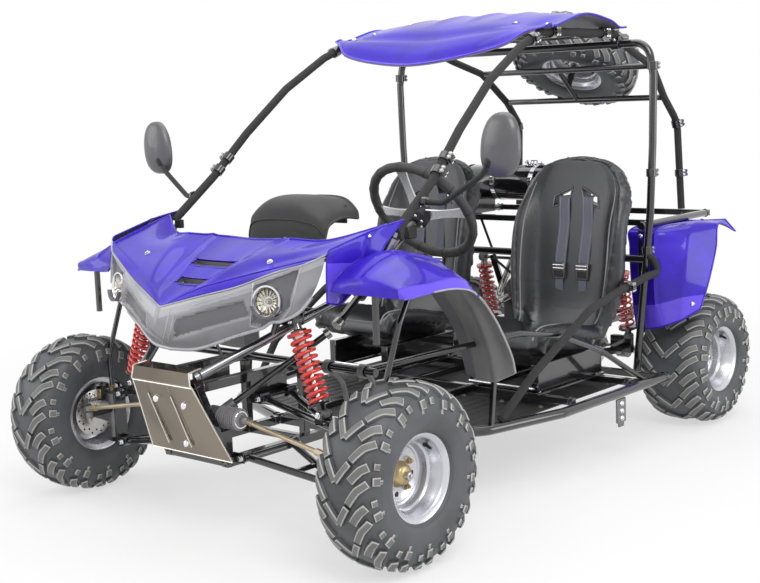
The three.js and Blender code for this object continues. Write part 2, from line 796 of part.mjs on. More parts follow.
function steeringWheel() {
  const turn = new THREE.Quaternion().setFromUnitVectors(alongZ, columnWay);
  const place3 = (geometry) => geometry.applyQuaternion(turn).translate(hubCentre.x, hubCentre.y, hubCentre.z);
  const grip = place3(new THREE.TorusGeometry(wheelHub.rimRadius, wheelHub.rimTube, 5, 16));
  const spokes = [];
  for (const angle of [0, Math.PI, -Math.PI / 2]) {
    const reach = wheelHub.rimRadius;
    const spoke = new THREE.BoxGeometry(reach, wheelHub.hub * 0.9, eye.ear);
    spoke.translate(reach / 2, 0, -wheelHub.rimTube / 3);
    spokes.push(place3(spoke.rotateZ(angle)));
  }
  const hub = rod(hubCentre.clone().addScaledVector(columnWay, -40), hubCentre.clone().addScaledVector(columnWay, 8), wheelHub.hub, 10);
  const shaft = rod(joint.clone().addScaledVector(columnWay, 16), hubCentre, column.radius, 8);
  const fork = rod(joint.clone().addScaledVector(columnWay, 8), joint.clone().addScaledVector(columnWay, 30), column.radius + 5);
  return fuse(grip, spokes, hub, shaft, fork);
}

add('steering_wheel', steeringWheel(), 'plasticBlack');

// Cage, hoop and side bars
const railHeight = 1361;
const hoopTop = railHeight - 2 * tube.hoop - 10;
const hoopStation_share = 0.825;
const pillar_shares = [[0.827, 0.137, 0.579], [0.818, 0.233, 0.668], [0.793, 0.313, 0.761],
  [0.765, 0.411, 0.858], [0.745, 0.512, 0.929]];
const slope_shares = [[0.7, 0.9, 0.918], [0.675, 0.99, 0.884], [0.631, 1.062, 0.805], [0.636, 1.105, 0.75],
  [0.64, 1.112, 0.723]];
const railAcross = 404;
const rackPlatform = { height: 720, across: 462, flare: 20, barStation: 1580, barHalf: 470, endStation: 1985 };
const towerShare = 0.8;

const sideLine = [
  ...placeAll(pillar_shares),
  point(railAcross, 1020, railHeight),
  point(railAcross, 1440, railHeight),
  ...placeAll(slope_shares),
  point(364, 1977, rackPlatform.height + tube.frame + gap),
];
addPair('cage_side', pipe(sideLine, tube.hoop, tube.bend, 7), 'wrapBlack');

const hoopLeg_shares = [[0.984, 0.86], [0.976, 0.7], [0.956, 0.54], [0.924, 0.416], [0.853, 0.159]];
const hoopStation = hoopStation_share * wheelbase;
const hoopLeg = [
  point(523, hoopStation, hoopTop),
  ...hoopLeg_shares.map(([x, z]) => point(x * cageHalfWidth, hoopStation, z * cageHeight)),
];
const hoopLine = [...hoopLeg.map(flip).reverse(), ...hoopLeg];
const hoop = fuse(
  pipe(hoopLine, tube.hoop, tube.bend, 7),
  rod(point(-0.93 * cageHalfWidth, hoopStation, 610), point(0.93 * cageHalfWidth, hoopStation, 610), tube.hoop),
);
add('main_hoop', hoop, 'frameBlack');

const sideBarFoot = { acrossShare: 0.927, stationShare: 0.346, over: 16.46 };
const sideBar_shares = [[0.99, 0.42, 0.25], [1.018, 0.58, 0.355], [1.01, 0.688, 0.38],
  [1.0, 0.79, 0.396], [0.99, 0.832, 0.398], [0.982, 0.826, 0.426]];
const sideBarEnd = { across: 520, height: 622 };
const hoopClearance = pipe(hoopLine, tube.hoop + gap, tube.bend, 7);

// Main frame
const rail = { height: 215, start: 330, end: 1475, cross: 1340, crossHalf: 574, barHalf: 560 };
const railPlaces = [[118, rail.start], [440, 470], [505, 560], [572, 850], [575, rail.end]];
const sideRail = railPlaces.map(([across, station]) => point(across, station, rail.height));
const sideBarLine = [
  point(sideBarFoot.acrossShare * cageHalfWidth, sideBarFoot.stationShare * wheelbase, rail.height + sideBarFoot.over),
  ...placeAll(sideBar_shares),
  point(sideBarEnd.across, hoopStation - gap - gap, sideBarEnd.height),
];
const railClearance = pipe(sideRail, tube.rail + gap, tube.bend);
addPair('side_bar', cut(pipe(sideBarLine, tube.frame, tube.tightBend), railClearance, hoopClearance), 'wrapBlack');

const seatBars = [930, 1265];
const seatBarHeight = 232;
const runnerLow = seatBarHeight + tube.frame - 2 + gap;
const bay = { across: 118, front: -193, lowFront: -102, back: 200, low: 215, high: 437 };
const sideArch_shares = [[0.57, 0.13, 0.3], [0.9, 0.27, 0.334], [0.951, 0.397, 0.337], [0.951, 0.516, 0.308],
  [0.951, 0.644, 0.25]];
const archFoot = { across: 561, station: 1357, over: 5.1, postAcross: 508, postStation: 570 };
const archHead_shares = [0.929, 0.34, 0.336];
const floor = { low: 203, thick: 3, half: 480, front: 480, back: 1340 };
const cradle = { across: 170, height: 330, start: 1470, kick: 1480, end: 1940 };
const sleeveStep = 2;
const railStep = 1;

function mainFrame() {
  const sides = both(pipe(sideRail, tube.rail, tube.bend));
  const mids = both(boxTube(
    point(bay.across, rail.start, rail.height),
    point(bay.across, rail.cross, rail.height),
    tube.frame - railStep,
  ));
  const kicks = both(boxTube(
    point(bay.across + tube.frame / 2 - gap, rail.cross - tube.leg, rail.height),
    point(cradle.across, cradle.kick, cradle.height),
    tube.frame - sleeveStep,
  ));
  const cradles = both(boxTube(
    point(cradle.across, cradle.start, cradle.height),
    point(cradle.across, cradle.end, cradle.height),
    tube.frame - railStep,
  ));
  const squareCross = (station, reach, height) => boxTube(
    point(-reach, station, height),
    point(reach, station, height),
    tube.frame - sleeveStep,
  );
  const cross = (station, reach, height, radius = tube.frame) => rod(
    point(-reach, station, height),
    point(reach, station, height),
    radius,
  );
  const archLine = [
    ...placeAll(sideArch_shares),
    point(archFoot.across, archFoot.station, rail.height + archFoot.over),
  ];
  const arches = both(pipe(archLine, tube.light, tube.bend));
  const archPosts = both(boxTube(
    point(archFoot.postAcross, archFoot.postStation, rail.height),
    place(archHead_shares),
    tube.light - sleeveStep,
  ));
  const hoopCross = squareCross(hoopStation, rail.crossHalf, rail.height - sleeveStep);
  const deck = block(-floor.half, floor.half, floor.front, floor.back, floor.low, floor.low + floor.thick);
  const towers = both(boxTube(
    point(cradle.across, cradle.end, cradle.height),
    point(rackPlatform.across * towerShare, rackPlatform.endStation, rackPlatform.height),
    tube.frame - sleeveStep,
  ));
  const stays = both(boxTube(
    point(cradle.across, shockFoot.topStation, cradle.height),
    point(shockFoot.across - shockFoot.stayIn, shockFoot.topStation, shockFoot.top + tube.light),
    tube.frame - sleeveStep,
  ));
  const shockPin = cross(shockFoot.topStation, shockFoot.across + eye.width / 2, shockFoot.top, eye.pin);
  const platformSides = both(pipe([
    point(rackPlatform.across + rackPlatform.flare, hoopStation + tube.hoop + gap, rackPlatform.height),
    point(rackPlatform.across, rackPlatform.endStation, rackPlatform.height),
  ], tube.frame));
  const platformBars = [rackPlatform.barStation, rackPlatform.endStation]
    .map((s) => squareCross(s, rackPlatform.barHalf, rackPlatform.height));
  const pivotBar = cross(swing.station, swing.across + axle.carrierWidth / 2 + eye.pin, swing.height, swing.pin);
  return fuse(
    sides,
    mids,
    kicks,
    cradles,
    squareCross(rail.start, bay.across, rail.height),
    squareCross(rail.cross, rail.barHalf, rail.height),
    seatBars.map((s) => squareCross(s, rail.barHalf, seatBarHeight)),
    arches,
    archPosts,
    hoopCross,
    deck,
    towers,
    stays,
    shockPin,
    platformSides,
    platformBars,
    squareCross(cradle.end, cradle.across, cradle.height),
    pivotBar,
  );
}

const hoopTool = pipe(hoopLine, tube.hoop + gap, tube.bend, 7);
add('main_frame', cut(mainFrame(), hoopTool), 'frameBlack');

// Front frame
const bonnetSize = { inset: 6, low: 463, kneeAcross: 300, kneeStation: 158, kneeOver: 26 };
const bonnetHip = { across: 432, station: 205, drop: 77.2 };
const bonnetTip = new THREE.Vector3(-0.9, -3, -4.2);
const [pillarFoot] = sideLine;
const bonnetTube = [
  point(bay.across - bonnetSize.inset, bay.front, bonnetSize.low),
  point(bonnetSize.kneeAcross, bonnetSize.kneeStation, shock.topHeight + bonnetSize.kneeOver),
  point(bonnetHip.across, bonnetHip.station, pillarFoot.z - bonnetHip.drop),
  pillarFoot.clone().add(bonnetTip),
];
// Tabs that carry the cowl and the fascia
const panelTab = 4;
const cowlTab = { foot: new THREE.Vector3(-2.9, -7, -10.2), reach: new THREE.Vector3(-9.7, -20.2, 24.2) };
const fasciaTab = { across: 149, station: -120, height: 502, reach: new THREE.Vector3(-8.8, -19, 50.8) };
const cowlTabFoot = pillarFoot.clone().add(cowlTab.foot);
const fasciaTabFoot = point(fasciaTab.across, fasciaTab.station, fasciaTab.height);
const panelTabLines = [
  [cowlTabFoot, cowlTabFoot.clone().add(cowlTab.reach)],
  [fasciaTabFoot, fasciaTabFoot.clone().add(fasciaTab.reach)],
];
const pedalBar = { half: 400 };
const dashBar = { across: 400, station: 262, height: 730, endAcross: 436, endStation: 212, endDrop: 68.2 };
const shockStay = { footIn: 86, headIn: 60, drop: 51 };
const shockEar = { reach: 46, capClear: 6 };
const columnRing = { radius: 20, width: 24, trim: 40, hanger: new THREE.Vector3(0, -6, 15) };
const pillarTool = both(pipe(sideLine, tube.hoop + gap, tube.bend, 7));

function frontFrame() {
  const half = tube.frame;
  const lowRail = boxTube(
    point(bay.across, bay.lowFront - 8, bay.low),
    point(bay.across, rail.start - half - gap, bay.low),
    half,
  );
  const highRail = boxTube(point(bay.across, bay.front - 4, bay.high), point(bay.across, bay.back + half, bay.high), half);
  const posts = [[bay.lowFront, bay.front - 9, 458], [bay.back, bay.back, bay.high]].map(([foot, s, top]) => boxTube(
    point(bay.across, foot, bay.low),
    point(bay.across, s, top),
    half - 1,
  ));
  const cross = (station, reach, height, radius = tube.frame) => rod(
    point(-reach, station, height),
    point(reach, station, height),
    radius,
  );
  const squareCross = (station, height) => boxTube(
    point(-bay.across, station, height),
    point(bay.across, station, height),
    half - 2,
  );
  const ears = [];
  const earHalf = eye.width / 2 + eye.side;
  for (const [height, stations] of [[pivot.upper, upperEyes], [pivot.lower, lowerEyes]]) {
    for (const s of stations) {
      const side = s === Math.min(...stations) ? -1 : 1;
      ears.push(block(
        bay.across,
        pivot.across + eye.reach,
        s + side * earHalf,
        s + side * (earHalf + eye.ear),
        height - eye.outer,
        height + eye.outer,
      ));
    }
    const first = Math.min(...stations) - earHalf - eye.ear;
    const last = Math.max(...stations) + earHalf + eye.ear;
    ears.push(rod(point(pivot.across, first, height), point(pivot.across, last, height), eye.pin));
  }
  const armPlates = [
    block(bay.across - 4, bay.across + 4, -5, 135, pivot.upper - eye.outer + 2, bay.high),
  ];
  const shockEars = [1, -1].map((side) => block(
    shock.topAcross - shockEar.reach,
    shock.topAcross + eye.outer,
    side * earHalf,
    side * (earHalf + eye.ear),
    shock.topHeight - eye.outer,
    shock.topHeight + eye.outer + tube.frame,
  ));
  const shockCap = block(
    shock.topAcross - shockEar.reach,
    shock.topAcross - eye.outer - shockEar.capClear,
    -earHalf - eye.ear,
    earHalf + eye.ear,
    shock.topHeight - eye.outer,
    shock.topHeight + eye.outer + tube.frame,
  );
  const shockPin = rod(
    point(shock.topAcross, -earHalf - eye.ear, shock.topHeight),
    point(shock.topAcross, earHalf + eye.ear, shock.topHeight),
    eye.pin,
  );
  const bonnet = pipe(bonnetTube, tube.frame, tube.tightBend);
  const panelTabs = panelTabLines.flatMap(([from, to]) => both(rod(from, to, panelTab)));
  const rackSeat = block(
    -bay.across,
    bay.across,
    rack.station - rack.housing,
    rack.station + rack.housing,
    rack.height - rack.housing - tube.frame - gap - eye.ear,
    rack.height - rack.housing - tube.frame - gap,
  );
  const rackPosts = both(block(
    bay.across - 8,
    bay.across,
    rack.station - rack.housing,
    rack.station + rack.housing,
    bay.low,
    rack.height - rack.housing - tube.frame - gap,
  ));
  const pedalMount = [
    rod(point(-pedalBar.half, bay.back, bay.high), point(pedalBar.half, bay.back, bay.high), tube.frame),
  ];
  const dashSide = [
    point(dashBar.endAcross, dashBar.endStation, pillarFoot.z - dashBar.endDrop),
    point(dashBar.across, dashBar.station, dashBar.height),
  ];
  const dash = pipe([...dashSide.map(flip), ...[...dashSide].reverse()], tube.light, tube.tightBend);
  const shockStays = both(rod(
    point(shock.topAcross - shockStay.footIn, 0, shock.topHeight - shockStay.drop),
    point(shock.topAcross - shockStay.headIn, 0, shock.topHeight + eye.pin),
    tube.leg,
  ));
  const bearingAt = joint.clone().addScaledVector(columnWay, (dashBar.station - column.jointStation) / columnWay.y);
  const bearing = ring(bearingAt, columnWay, columnRing.radius, column.bearing, columnRing.width, 8);
  const hanger = rod(
    bearingAt.clone().add(columnRing.hanger),
    point(column.across, dashBar.station, dashBar.height),
    tube.light,
  );
  const hangerTrim = rod(
    bearingAt.clone().addScaledVector(columnWay, -columnRing.trim),
    bearingAt.clone().addScaledVector(columnWay, columnRing.trim),
    column.bearing,
    8,
  );
  const whole = fuse(
    both(lowRail),
    both(highRail),
    posts.flatMap(both),
    squareCross(bay.lowFront, bay.low),
    squareCross(bay.front, bay.high),
    squareCross(bay.back, bay.low),
    cross(0, shock.topAcross - columnRing.trim, shock.topHeight + eye.pin),
    ears.flatMap(both),
    armPlates.flatMap(both),
    shockEars.flatMap(both),
    both(shockCap),
    both(shockPin),
    both(bonnet),
    panelTabs,
    rackSeat,
    rackPosts,
    pedalMount,
    dash,
    shockStays,
    bearing,
    hanger,
  );
  return cut(whole, hangerTrim, pillarTool);
}

add('front_frame', frontFrame(), 'frameBlack');

// Spare wheel carrier and spare wheel
const carrierAt = (corner) => [corner.x, corner.y - frontAxleY, corner.z];
const [, , , , , , , , upperCorner, lowerCorner] = sideLine;
const carrier = { upper: carrierAt(upperCorner), lower: carrierAt(lowerCorner), bar: 11, stud: 12, studLength: 90 };

const spare = { across: -20, back: 4, over: 151.9, lean: Math.PI * 0.172, halfWidth: 80, link: 9 };
const spareCentre = point(spare.across, carrier.lower[1] - spare.back, carrier.lower[2] + spare.over);
const spareWay = new THREE.Vector3(0, Math.sin(spare.lean), Math.cos(spare.lean));
const spareDisc_share = -0.25;

function spareRack() {
  const barAt = ([x, s, z]) => rod(
    point(-(x - tube.hoop - gap), s, z),
    point(x - tube.hoop - gap, s, z),
    carrier.bar,
  );
  const [, s0, z0] = carrier.upper;
  const [, s1, z1] = carrier.lower;
  const links = [spare.across].map((x) => rod(
    point(x, s0, z0),
    point(x, s1, z1),
    spare.link,
  ));
  const discCentre = spareCentre.clone().addScaledVector(spareWay, spareDisc_share * spare.halfWidth - gap);
  const stud = rod(discCentre.clone().addScaledVector(spareWay, -carrier.studLength), discCentre, carrier.stud);
  return fuse(barAt(carrier.upper), barAt(carrier.lower), links, stud);
}

add('spare_rack', cut(spareRack(), pillarTool), 'frameBlack');

function spareWheel() {
  const w = spare.halfWidth;
  const r = frontTyre.radius;
  const profile = [[w * spareDisc_share, 0], [w * spareDisc_share, rim.seat * 0.85], [-w * 0.8, rim.lip],
    [-w, r * 0.68], [-w * 0.85, r * 0.92], [0, r], [w * 0.85, r * 0.92],
    [w, r * 0.68], [w * 0.8, rim.lip], [-w * 0.1, rim.seat * 0.85], [-w * 0.1, 0]];
  return turned(profile, spareCentre, spareWay, rimSides);
}

add('spare_wheel', spareWheel(), 'rubber');

// Panels
const plate = { halfWidth: 165, front: -222, length: 100, low: 226, rise: 259 };
const plate_shares = [
  [[0, 0.97, 0], [1, 0.97, 0]],
  [[0, 0.07, 0.826], [0.74, 0.07, 0.826]],
  [[0, 0.02, 0.85], [0.73, 0.02, 0.85]],
  [[0, 0.05, 0.98], [0.69, 0.05, 0.98]],
  [[0, 0.5, 1], [0.68, 0.5, 1]],
];
add('skid_plate', sheet(plate, wholeRows(plate_shares), panel.sheet), 'stainless');

const cowl = { halfWidth: 460, front: -196, length: 430, low: 652, rise: 190 };
const cowl_shares = [
  [[0, 0, 0], [0.12, 0.06, 0.13], [0.24, 0.12, 0.26], [0.52, 0.25, 0.44], [0.93, 0.42, 0.68]],
  [[0, 0.24, 0.24], [0.14, 0.25, 0.28], [0.3, 0.25, 0.47], [0.6, 0.38, 0.56], [0.95, 0.57, 0.77]],
  [[0, 0.48, 0.5], [0.2, 0.48, 0.52], [0.39, 0.44, 0.66], [0.64, 0.5, 0.7], [0.97, 0.76, 0.88]],
  [[0, 0.8, 0.74], [0.24, 0.8, 0.76], [0.45, 0.66, 0.82], [0.68, 0.76, 0.8], [0.965, 0.96, 1]],
];
const ventTool = (front, back, half) => block(-half, half, front, back, 560, 900);
add('front_cowl', cut(
  sheet(cowl, wholeRows(cowl_shares), panel.skin, new THREE.Vector3(0, 0, -1)),
  ventTool(-22, 8, 82),
  ventTool(-104, -72, 58),
), 'purple');

const fascia = { halfWidth: 440, front: -228, length: 228, low: 532, rise: 262 };
const fascia_shares = [
  [[0, 0.22, 0], [0.21, 0.3, 0.02], [0.45, 0.46, 0.16], [0.65, 0.6, 0.27], [0.83, 0.74, 0.4], [0.9, 0.86, 0.56]],
  [[0, 0, 0.2], [0.22, 0.14, 0.24], [0.46, 0.36, 0.34], [0.68, 0.5, 0.42], [0.85, 0.68, 0.55], [0.94, 0.88, 0.68]],
  [[0, 0.05, 0.4], [0.26, 0.22, 0.5], [0.5, 0.42, 0.58], [0.7, 0.56, 0.66], [0.88, 0.74, 0.76], [0.97, 0.92, 0.84]],
  [[0, 0.11, 0.44], [0.27, 0.29, 0.56], [0.5, 0.46, 0.66], [0.72, 0.62, 0.8], [0.89, 0.78, 0.88], [0.985, 0.93, 0.96]],
];
const lamp = { across: 300, station: -92, height: 667, radius: 40, depth: 46 };
const lampAt = point(lamp.across, lamp.station, lamp.height);
const lampWay = new THREE.Vector3(0.28, -0.95, 0.14).normalize();
const lampBack = lampAt.clone().addScaledVector(lampWay, -lamp.depth);
const lampFront = lampAt.clone().addScaledVector(lampWay, lamp.depth / 3);
const fasciaSkin = cut(
  sheet(fascia, wholeRows(fascia_shares), panel.skin, new THREE.Vector3(0, 1, 0)),
  both(rod(lampBack, lampAt.clone().addScaledVector(lampWay, lamp.depth), lamp.radius + gap, 8)),
);
add('front_fascia', fasciaSkin, 'charcoal');

function headlamp() {
  const r = lamp.radius;
  const d = lamp.depth;
  return turned([[-d, 0], [-d * 0.8, r * 0.7], [-d * 0.3, r * 0.92], [d * 0.3, r * 0.92], [d * 0.48, 0]], lampAt, lampWay, 10);
}

addPair('headlamp', headlamp(), 'glass');

const bonnetTool = both(pipe(bonnetTube, tube.frame + gap, tube.tightBend));
const blade = { halfWidth: 462, front: -24, length: 296, low: 655, rise: 195 };
const fender = { halfWidth: 670, front: -60, length: 620, low: 360, rise: 430 };
const fender_shares = [
  [[0.68, 0.06, 0.78], [0.74, 0.07, 0.77], [0.86, 0.09, 0.76], [0.97, 0.12, 0.75], [0.985, 0.13, 0.75]],
  [[0.67, 0.12, 0.86], [0.75, 0.12, 0.87], [0.86, 0.12, 0.86], [0.97, 0.13, 0.81], [0.995, 0.15, 0.75]],
  [[0.67, 0.3, 0.95], [0.76, 0.3, 0.98], [0.86, 0.3, 0.93], [0.98, 0.3, 0.81], [1, 0.3, 0.76]],
  [[0.68, 0.5, 0.94], [0.77, 0.5, 0.94], [0.87, 0.48, 0.89], [0.98, 0.47, 0.81], [1, 0.46, 0.75]],
  [[0.7, 0.7, 0.84], [0.78, 0.68, 0.84], [0.88, 0.64, 0.8], [0.98, 0.6, 0.74], [1, 0.59, 0.69]],
  [[0.72, 0.84, 0.62], [0.8, 0.81, 0.62], [0.9, 0.76, 0.59], [0.98, 0.74, 0.53], [1, 0.72, 0.5]],
  [[0.76, 0.96, 0.34], [0.82, 0.93, 0.33], [0.9, 0.88, 0.31], [0.97, 0.86, 0.28], [0.99, 0.84, 0.26]],
  [[0.79, 1, 0.04], [0.84, 0.97, 0.02], [0.9, 0.94, 0.03], [0.95, 0.92, 0.08], [0.97, 0.9, 0.12]],
];
const blade_shares = [
  [[0.955, 0, 0.04], [0.965, 0.14, 0], [1.0, 0.2, 0.1]],
  [[0.95, 0.02, 0.5], [0.97, 0.4, 0.42], [1.0, 0.55, 0.42]],
  [[0.95, 0.05, 0.7], [0.98, 0.5, 0.8], [1.0, 0.72, 0.72]],
  [[0.952, 0.08, 0.74], [0.98, 0.6, 0.92], [1.0, 0.98, 1]],
];

function frontFender() {
  const bladeSkin = sheet(blade, blade_shares, panel.skin);
  const cover = sheet(fender, fender_shares, panel.skin);
  return cut(fuse(bladeSkin, cover), bonnetTool[0], pillarTool[0]);
}

addPair('front_fender', frontFender(), 'purple');

const roof = { halfWidth: 436, front: 876, length: 615, low: 1280, rise: 160 };
const roofSeat_share = (railHeight + tube.hoop + 5 * gap + panel.skin - roof.low) / roof.rise;
const roof_shares = [
  [[0, 0, 0], [0.42, 0.03, 0.1], [0.74, 0.08, 0.28], [0.88, 0.14, 0.5], [1, 0.2, 0.6]],
  [[0, 0.08, 0.3], [0.42, 0.1, 0.4], [0.74, 0.14, 0.52], [0.88, 0.2, 0.6], [1, 0.24, 0.64]],
  [[0, 0.3, 0.76], [0.42, 0.3, 0.78], [0.74, 0.3, 0.72], [0.86, 0.3, roofSeat_share], [1, 0.3, roofSeat_share]],
  [[0, 0.6, 1], [0.42, 0.6, 0.98], [0.74, 0.58, 0.92], [0.88, 0.56, 0.88], [1, 0.56, 0.86]],
  [[0, 0.82, 0.94], [0.42, 0.82, 0.92], [0.74, 0.8, 0.84], [0.88, 0.8, 0.78], [1, 0.8, 0.76]],
  [[0, 0.9, 0.86], [0.42, 0.9, 0.84], [0.74, 0.9, 0.72], [0.86, 0.9, roofSeat_share], [1, 0.9, roofSeat_share]],
  [[0, 1, 0.74], [0.42, 1, 0.72], [0.74, 1, 0.62], [0.88, 0.99, roofSeat_share], [1, 0.97, roofSeat_share]],
];
add('roof_panel', sheet(roof, wholeRows(roof_shares), panel.skin, new THREE.Vector3(0, 0, -1)), 'purple');

const guard = { halfWidth: 658, front: 1498, length: 360, low: 355, rise: 367 };
const guardTop_share = (rackPlatform.height - tube.frame - gap - guard.low) / guard.rise;
const guard_shares = [
  [[0.65, 0.11, 0], [0.79, 0.055, 0.04], [0.91, 0.11, 0.12], [0.99, 0.2, 0.22]],
  [[0.65, 0.03, 0.4], [0.79, 0, 0.42], [0.925, 0.11, 0.48], [1, 0.33, 0.45]],
  [[0.65, 0, 0.78], [0.79, 0, 0.8], [0.925, 0.19, 0.8], [0.995, 0.5, 0.75]],
  [[0.65, 0.05, guardTop_share], [0.79, 0.11, guardTop_share], [0.91, 0.36, 0.99], [0.98, 0.61, 0.97]],
  [[0.65, 0.86, guardTop_share], [0.79, 0.94, guardTop_share], [0.91, 1, 0.97], [0.99, 0.92, 0.87]],
];
addPair('rear_fender', sheet(guard, guard_shares, panel.skin), 'purple');

// Dash hood: an arched cover over the instruments, open to the seats
const dashHood = { halfWidth: 155, front: 262, length: 190, low: 739, rise: 166 };
const dash_shares = [
  [[0, 0, 0], [0.5, 0, 0], [0.8, 0.02, 0], [0.92, 0.06, 0]],
  [[0, 0, 0.6], [0.5, 0, 0.58], [0.85, 0.04, 0.5], [1, 0.1, 0.3]],
  [[0, 0.06, 0.9], [0.5, 0.07, 0.86], [0.9, 0.12, 0.66], [1, 0.2, 0.5]],
  [[0, 0.4, 1], [0.5, 0.4, 0.96], [0.9, 0.4, 0.76], [1, 0.5, 0.6]],
  [[0, 1, 0.92], [0.5, 1, 0.88], [0.9, 0.9, 0.7], [1, 0.85, 0.56]],
];
add('dash_hood', sheet(dashHood, wholeRows(dash_shares), panel.skin), 'plasticBlack');

// Bucket seats
const seat = { across: 310, halfWidth: 222, front: 880, length: 500, low: 300, rise: 670 };
const seatSpine_shares = [[0, 0.13], [0.05, 0.17], [0.3, 0.13], [0.6, 0.07], [0.76, 0.1], [0.85, 0.22], [0.89, 0.42],
  [0.93, 0.64], [0.96, 0.8], [0.98, 0.92], [0.99, 1]];
const seatWidth_shares = [0.8, 0.84, 0.85, 0.85, 0.87, 0.94, 1, 1, 0.96, 0.74, 0.36];
const bolster_shares = [0.3, 0.6, 0.9, 1, 1, 1, 1, 0.9, 0.4, 0.2, 0.1];
const across_shares = [-1, -0.8, -0.55, 0, 0.55, 0.8, 1];
const bolsterLift_shares = [0.8, 1, 0.2, 0, 0.2, 1, 0.8];
const bolster = 78;
const shellDepth = 42;

function bucketSeat() {
  const spine = seatSpine_shares.map(([s, z]) => point(0, seat.front + s * seat.length, seat.low + z * seat.rise));
  const rows = spine.map((p, i) => {
    const before = spine[Math.max(i - 1, 0)];
    const after = spine[Math.min(i + 1, spine.length - 1)];
    const way = after.clone().sub(before).normalize();
    const facing = new THREE.Vector3(0, -way.z, way.y);
    return across_shares.map((share, j) => p.clone()
      .addScaledVector(facing, bolster * bolster_shares[i] * bolsterLift_shares[j])
      .setX(seat.across + share * seat.halfWidth * seatWidth_shares[i]));
  });
  const shell = skin(rows, shellDepth);
  const runners = [-120, 120].map((side) => block(
    seat.across + side - 14,
    seat.across + side + 14,
    seat.front + 30,
    seat.front + seat.length * 0.8,
    runnerLow,
    seat.low + 40,
  ));
  const slots = [-1, 1].map((side) => block(
    seat.across + side * 22,
    seat.across + side * 74,
    seat.front + seat.length * 0.7,
    seat.front + seat.length * 1.2,
    800,
    832,
  ));
  return cut(fuse(shell, runners), slots);
}

addPair('seat', bucketSeat(), 'leather');

// Mirrors: a bent stem from the pillar and a shell with its glass side to the rear
const mirrorSeat = { share: 0.586, offset: new THREE.Vector3(13.83, 0, -4.03), stem: 8 };
const mirrorBase = sideLine[0].clone().lerp(sideLine[1], mirrorSeat.share).add(mirrorSeat.offset);
const mirrorHead = { halfWide: 62, halfTall: 86, deep: 34, faceShare: 0.3 };
const mirrorSteps = [[57.2, 17.16, -3.27], [174.2, 35.16, 69.73], [204.2, 37.16, 107.73], [228.2, 39.16, 149.73]];
const [mirrorElbow, mirrorNeck, mirrorSocket, mirrorCentre] = mirrorSteps
  .map((step) => mirrorBase.clone().add(new THREE.Vector3(...step)));

function mirror() {
  const centre = mirrorCentre;
  const head = new THREE.SphereGeometry(1, 8, 6);
  head.scale(mirrorHead.halfWide, mirrorHead.deep, mirrorHead.halfTall);
  head.translate(centre.x, centre.y, centre.z);
  const glassCut = block(
    centre.x - 2 * mirrorHead.halfWide,
    centre.x + 2 * mirrorHead.halfWide,
    centre.y - frontAxleY + mirrorHead.deep * mirrorHead.faceShare,
    centre.y - frontAxleY + mirrorHead.deep * 2,
    centre.z - 2 * mirrorHead.halfTall,
    centre.z + 2 * mirrorHead.halfTall,
  );
  const stem = pipe([mirrorBase, mirrorElbow, mirrorNeck, mirrorSocket], mirrorSeat.stem, tube.tightBend);
  return fuse(cut(head, glassCut), stem);
}

addPair('mirror', mirror(), 'plasticGrey');

// Pedals hang from the bulkhead tube
const pedalSize = { eye: 20, bore: 14.2, width: 20, arm: 8, padBack: 66, padThick: 10, padDrop: 175, padTall: 56 };
const pedalBends = [[15, 8], [55, 57], [75, 137]];
const throttle = { across: 225, padHalf: 22 };
const brake = { across: 355, padHalf: 34 };

function pedal({ across, padHalf }) {
  const padLow = bay.high - pedalSize.padDrop;
  const padFront = bay.back + pedalSize.padBack;
  return fuse(
    ring(point(across, bay.back, bay.high), alongX, pedalSize.eye, pedalSize.bore, pedalSize.width, 8),
    pipe(pedalBends.map(([back, drop]) => point(across, bay.back + back, bay.high - drop)), pedalSize.arm, 0),
    block(across - padHalf, across + padHalf, padFront, padFront + pedalSize.padThick, padLow, padLow + pedalSize.padTall),
  );
}

add('throttle_pedal', pedal(throttle), 'alloy');
add('brake_pedal', pedal(brake), 'alloy');

// Power unit, on the cradle, and fuel tank on the luggage platform
const motor = { left: -130, right: 60, front: 1520, back: 1690, tall: 130 };
const motorFeet = { over: 8, front: 1545, back: 1610, sink: 1, top: 9 };
const beltCase = { outer: 104, front: 1570, back: 1790, frontUp: 75, backUp: 85, frontRadius: 68, backRadius: 62 };
const beltCover = { low: 20, high: 140 };
const barrelSize = { across: -35, foot: 1560, head: 1480, footUp: 100, headUp: 140, radius: 48 };
const silencerSize = { left: -230, right: 150, station: 1830, height: 600, radius: 55, pipe: 14 };
const exhaustPlaces = [[-35, 1500, 463], [-160, 1520, 403], [-200, 1700, 560], [-200, 1830, 590]];

function engine() {
  const low = cradle.height + tube.frame + gap;
  const crankcase = block(motor.left, motor.right, motor.front, motor.back, low, low + motor.tall);
  const feet = block(
    -cradle.across - motorFeet.over,
    cradle.across + motorFeet.over,
    motorFeet.front,
    motorFeet.back,
    low - motorFeet.sink,
    low + motorFeet.top,
  );
  const disc = (station, up, radius) => rod(
    point(motor.right, station, low + up),
    point(beltCase.outer, station, low + up),
    radius,
    8,
  );
  const cover = block(motor.right, beltCase.outer, beltCase.front, beltCase.back, low + beltCover.low, low + beltCover.high);
  const barrel = rod(
    point(barrelSize.across, barrelSize.foot, low + barrelSize.footUp),
    point(barrelSize.across, barrelSize.head, low + barrelSize.headUp),
    barrelSize.radius,
    6,
  );
  const silencer = rod(
    point(silencerSize.left, silencerSize.station, silencerSize.height),
    point(silencerSize.right, silencerSize.station, silencerSize.height),
    silencerSize.radius,
    8,
  );
  const exhaust = pipe(exhaustPlaces.map((p) => point(...p)), silencerSize.pipe, tube.bend);
  return fuse(
    crankcase,
    feet,
    disc(beltCase.front, beltCase.frontUp, beltCase.frontRadius),
    disc(beltCase.back, beltCase.backUp, beltCase.backRadius),
    cover,
    barrel,
    silencer,
    exhaust,
  );
}

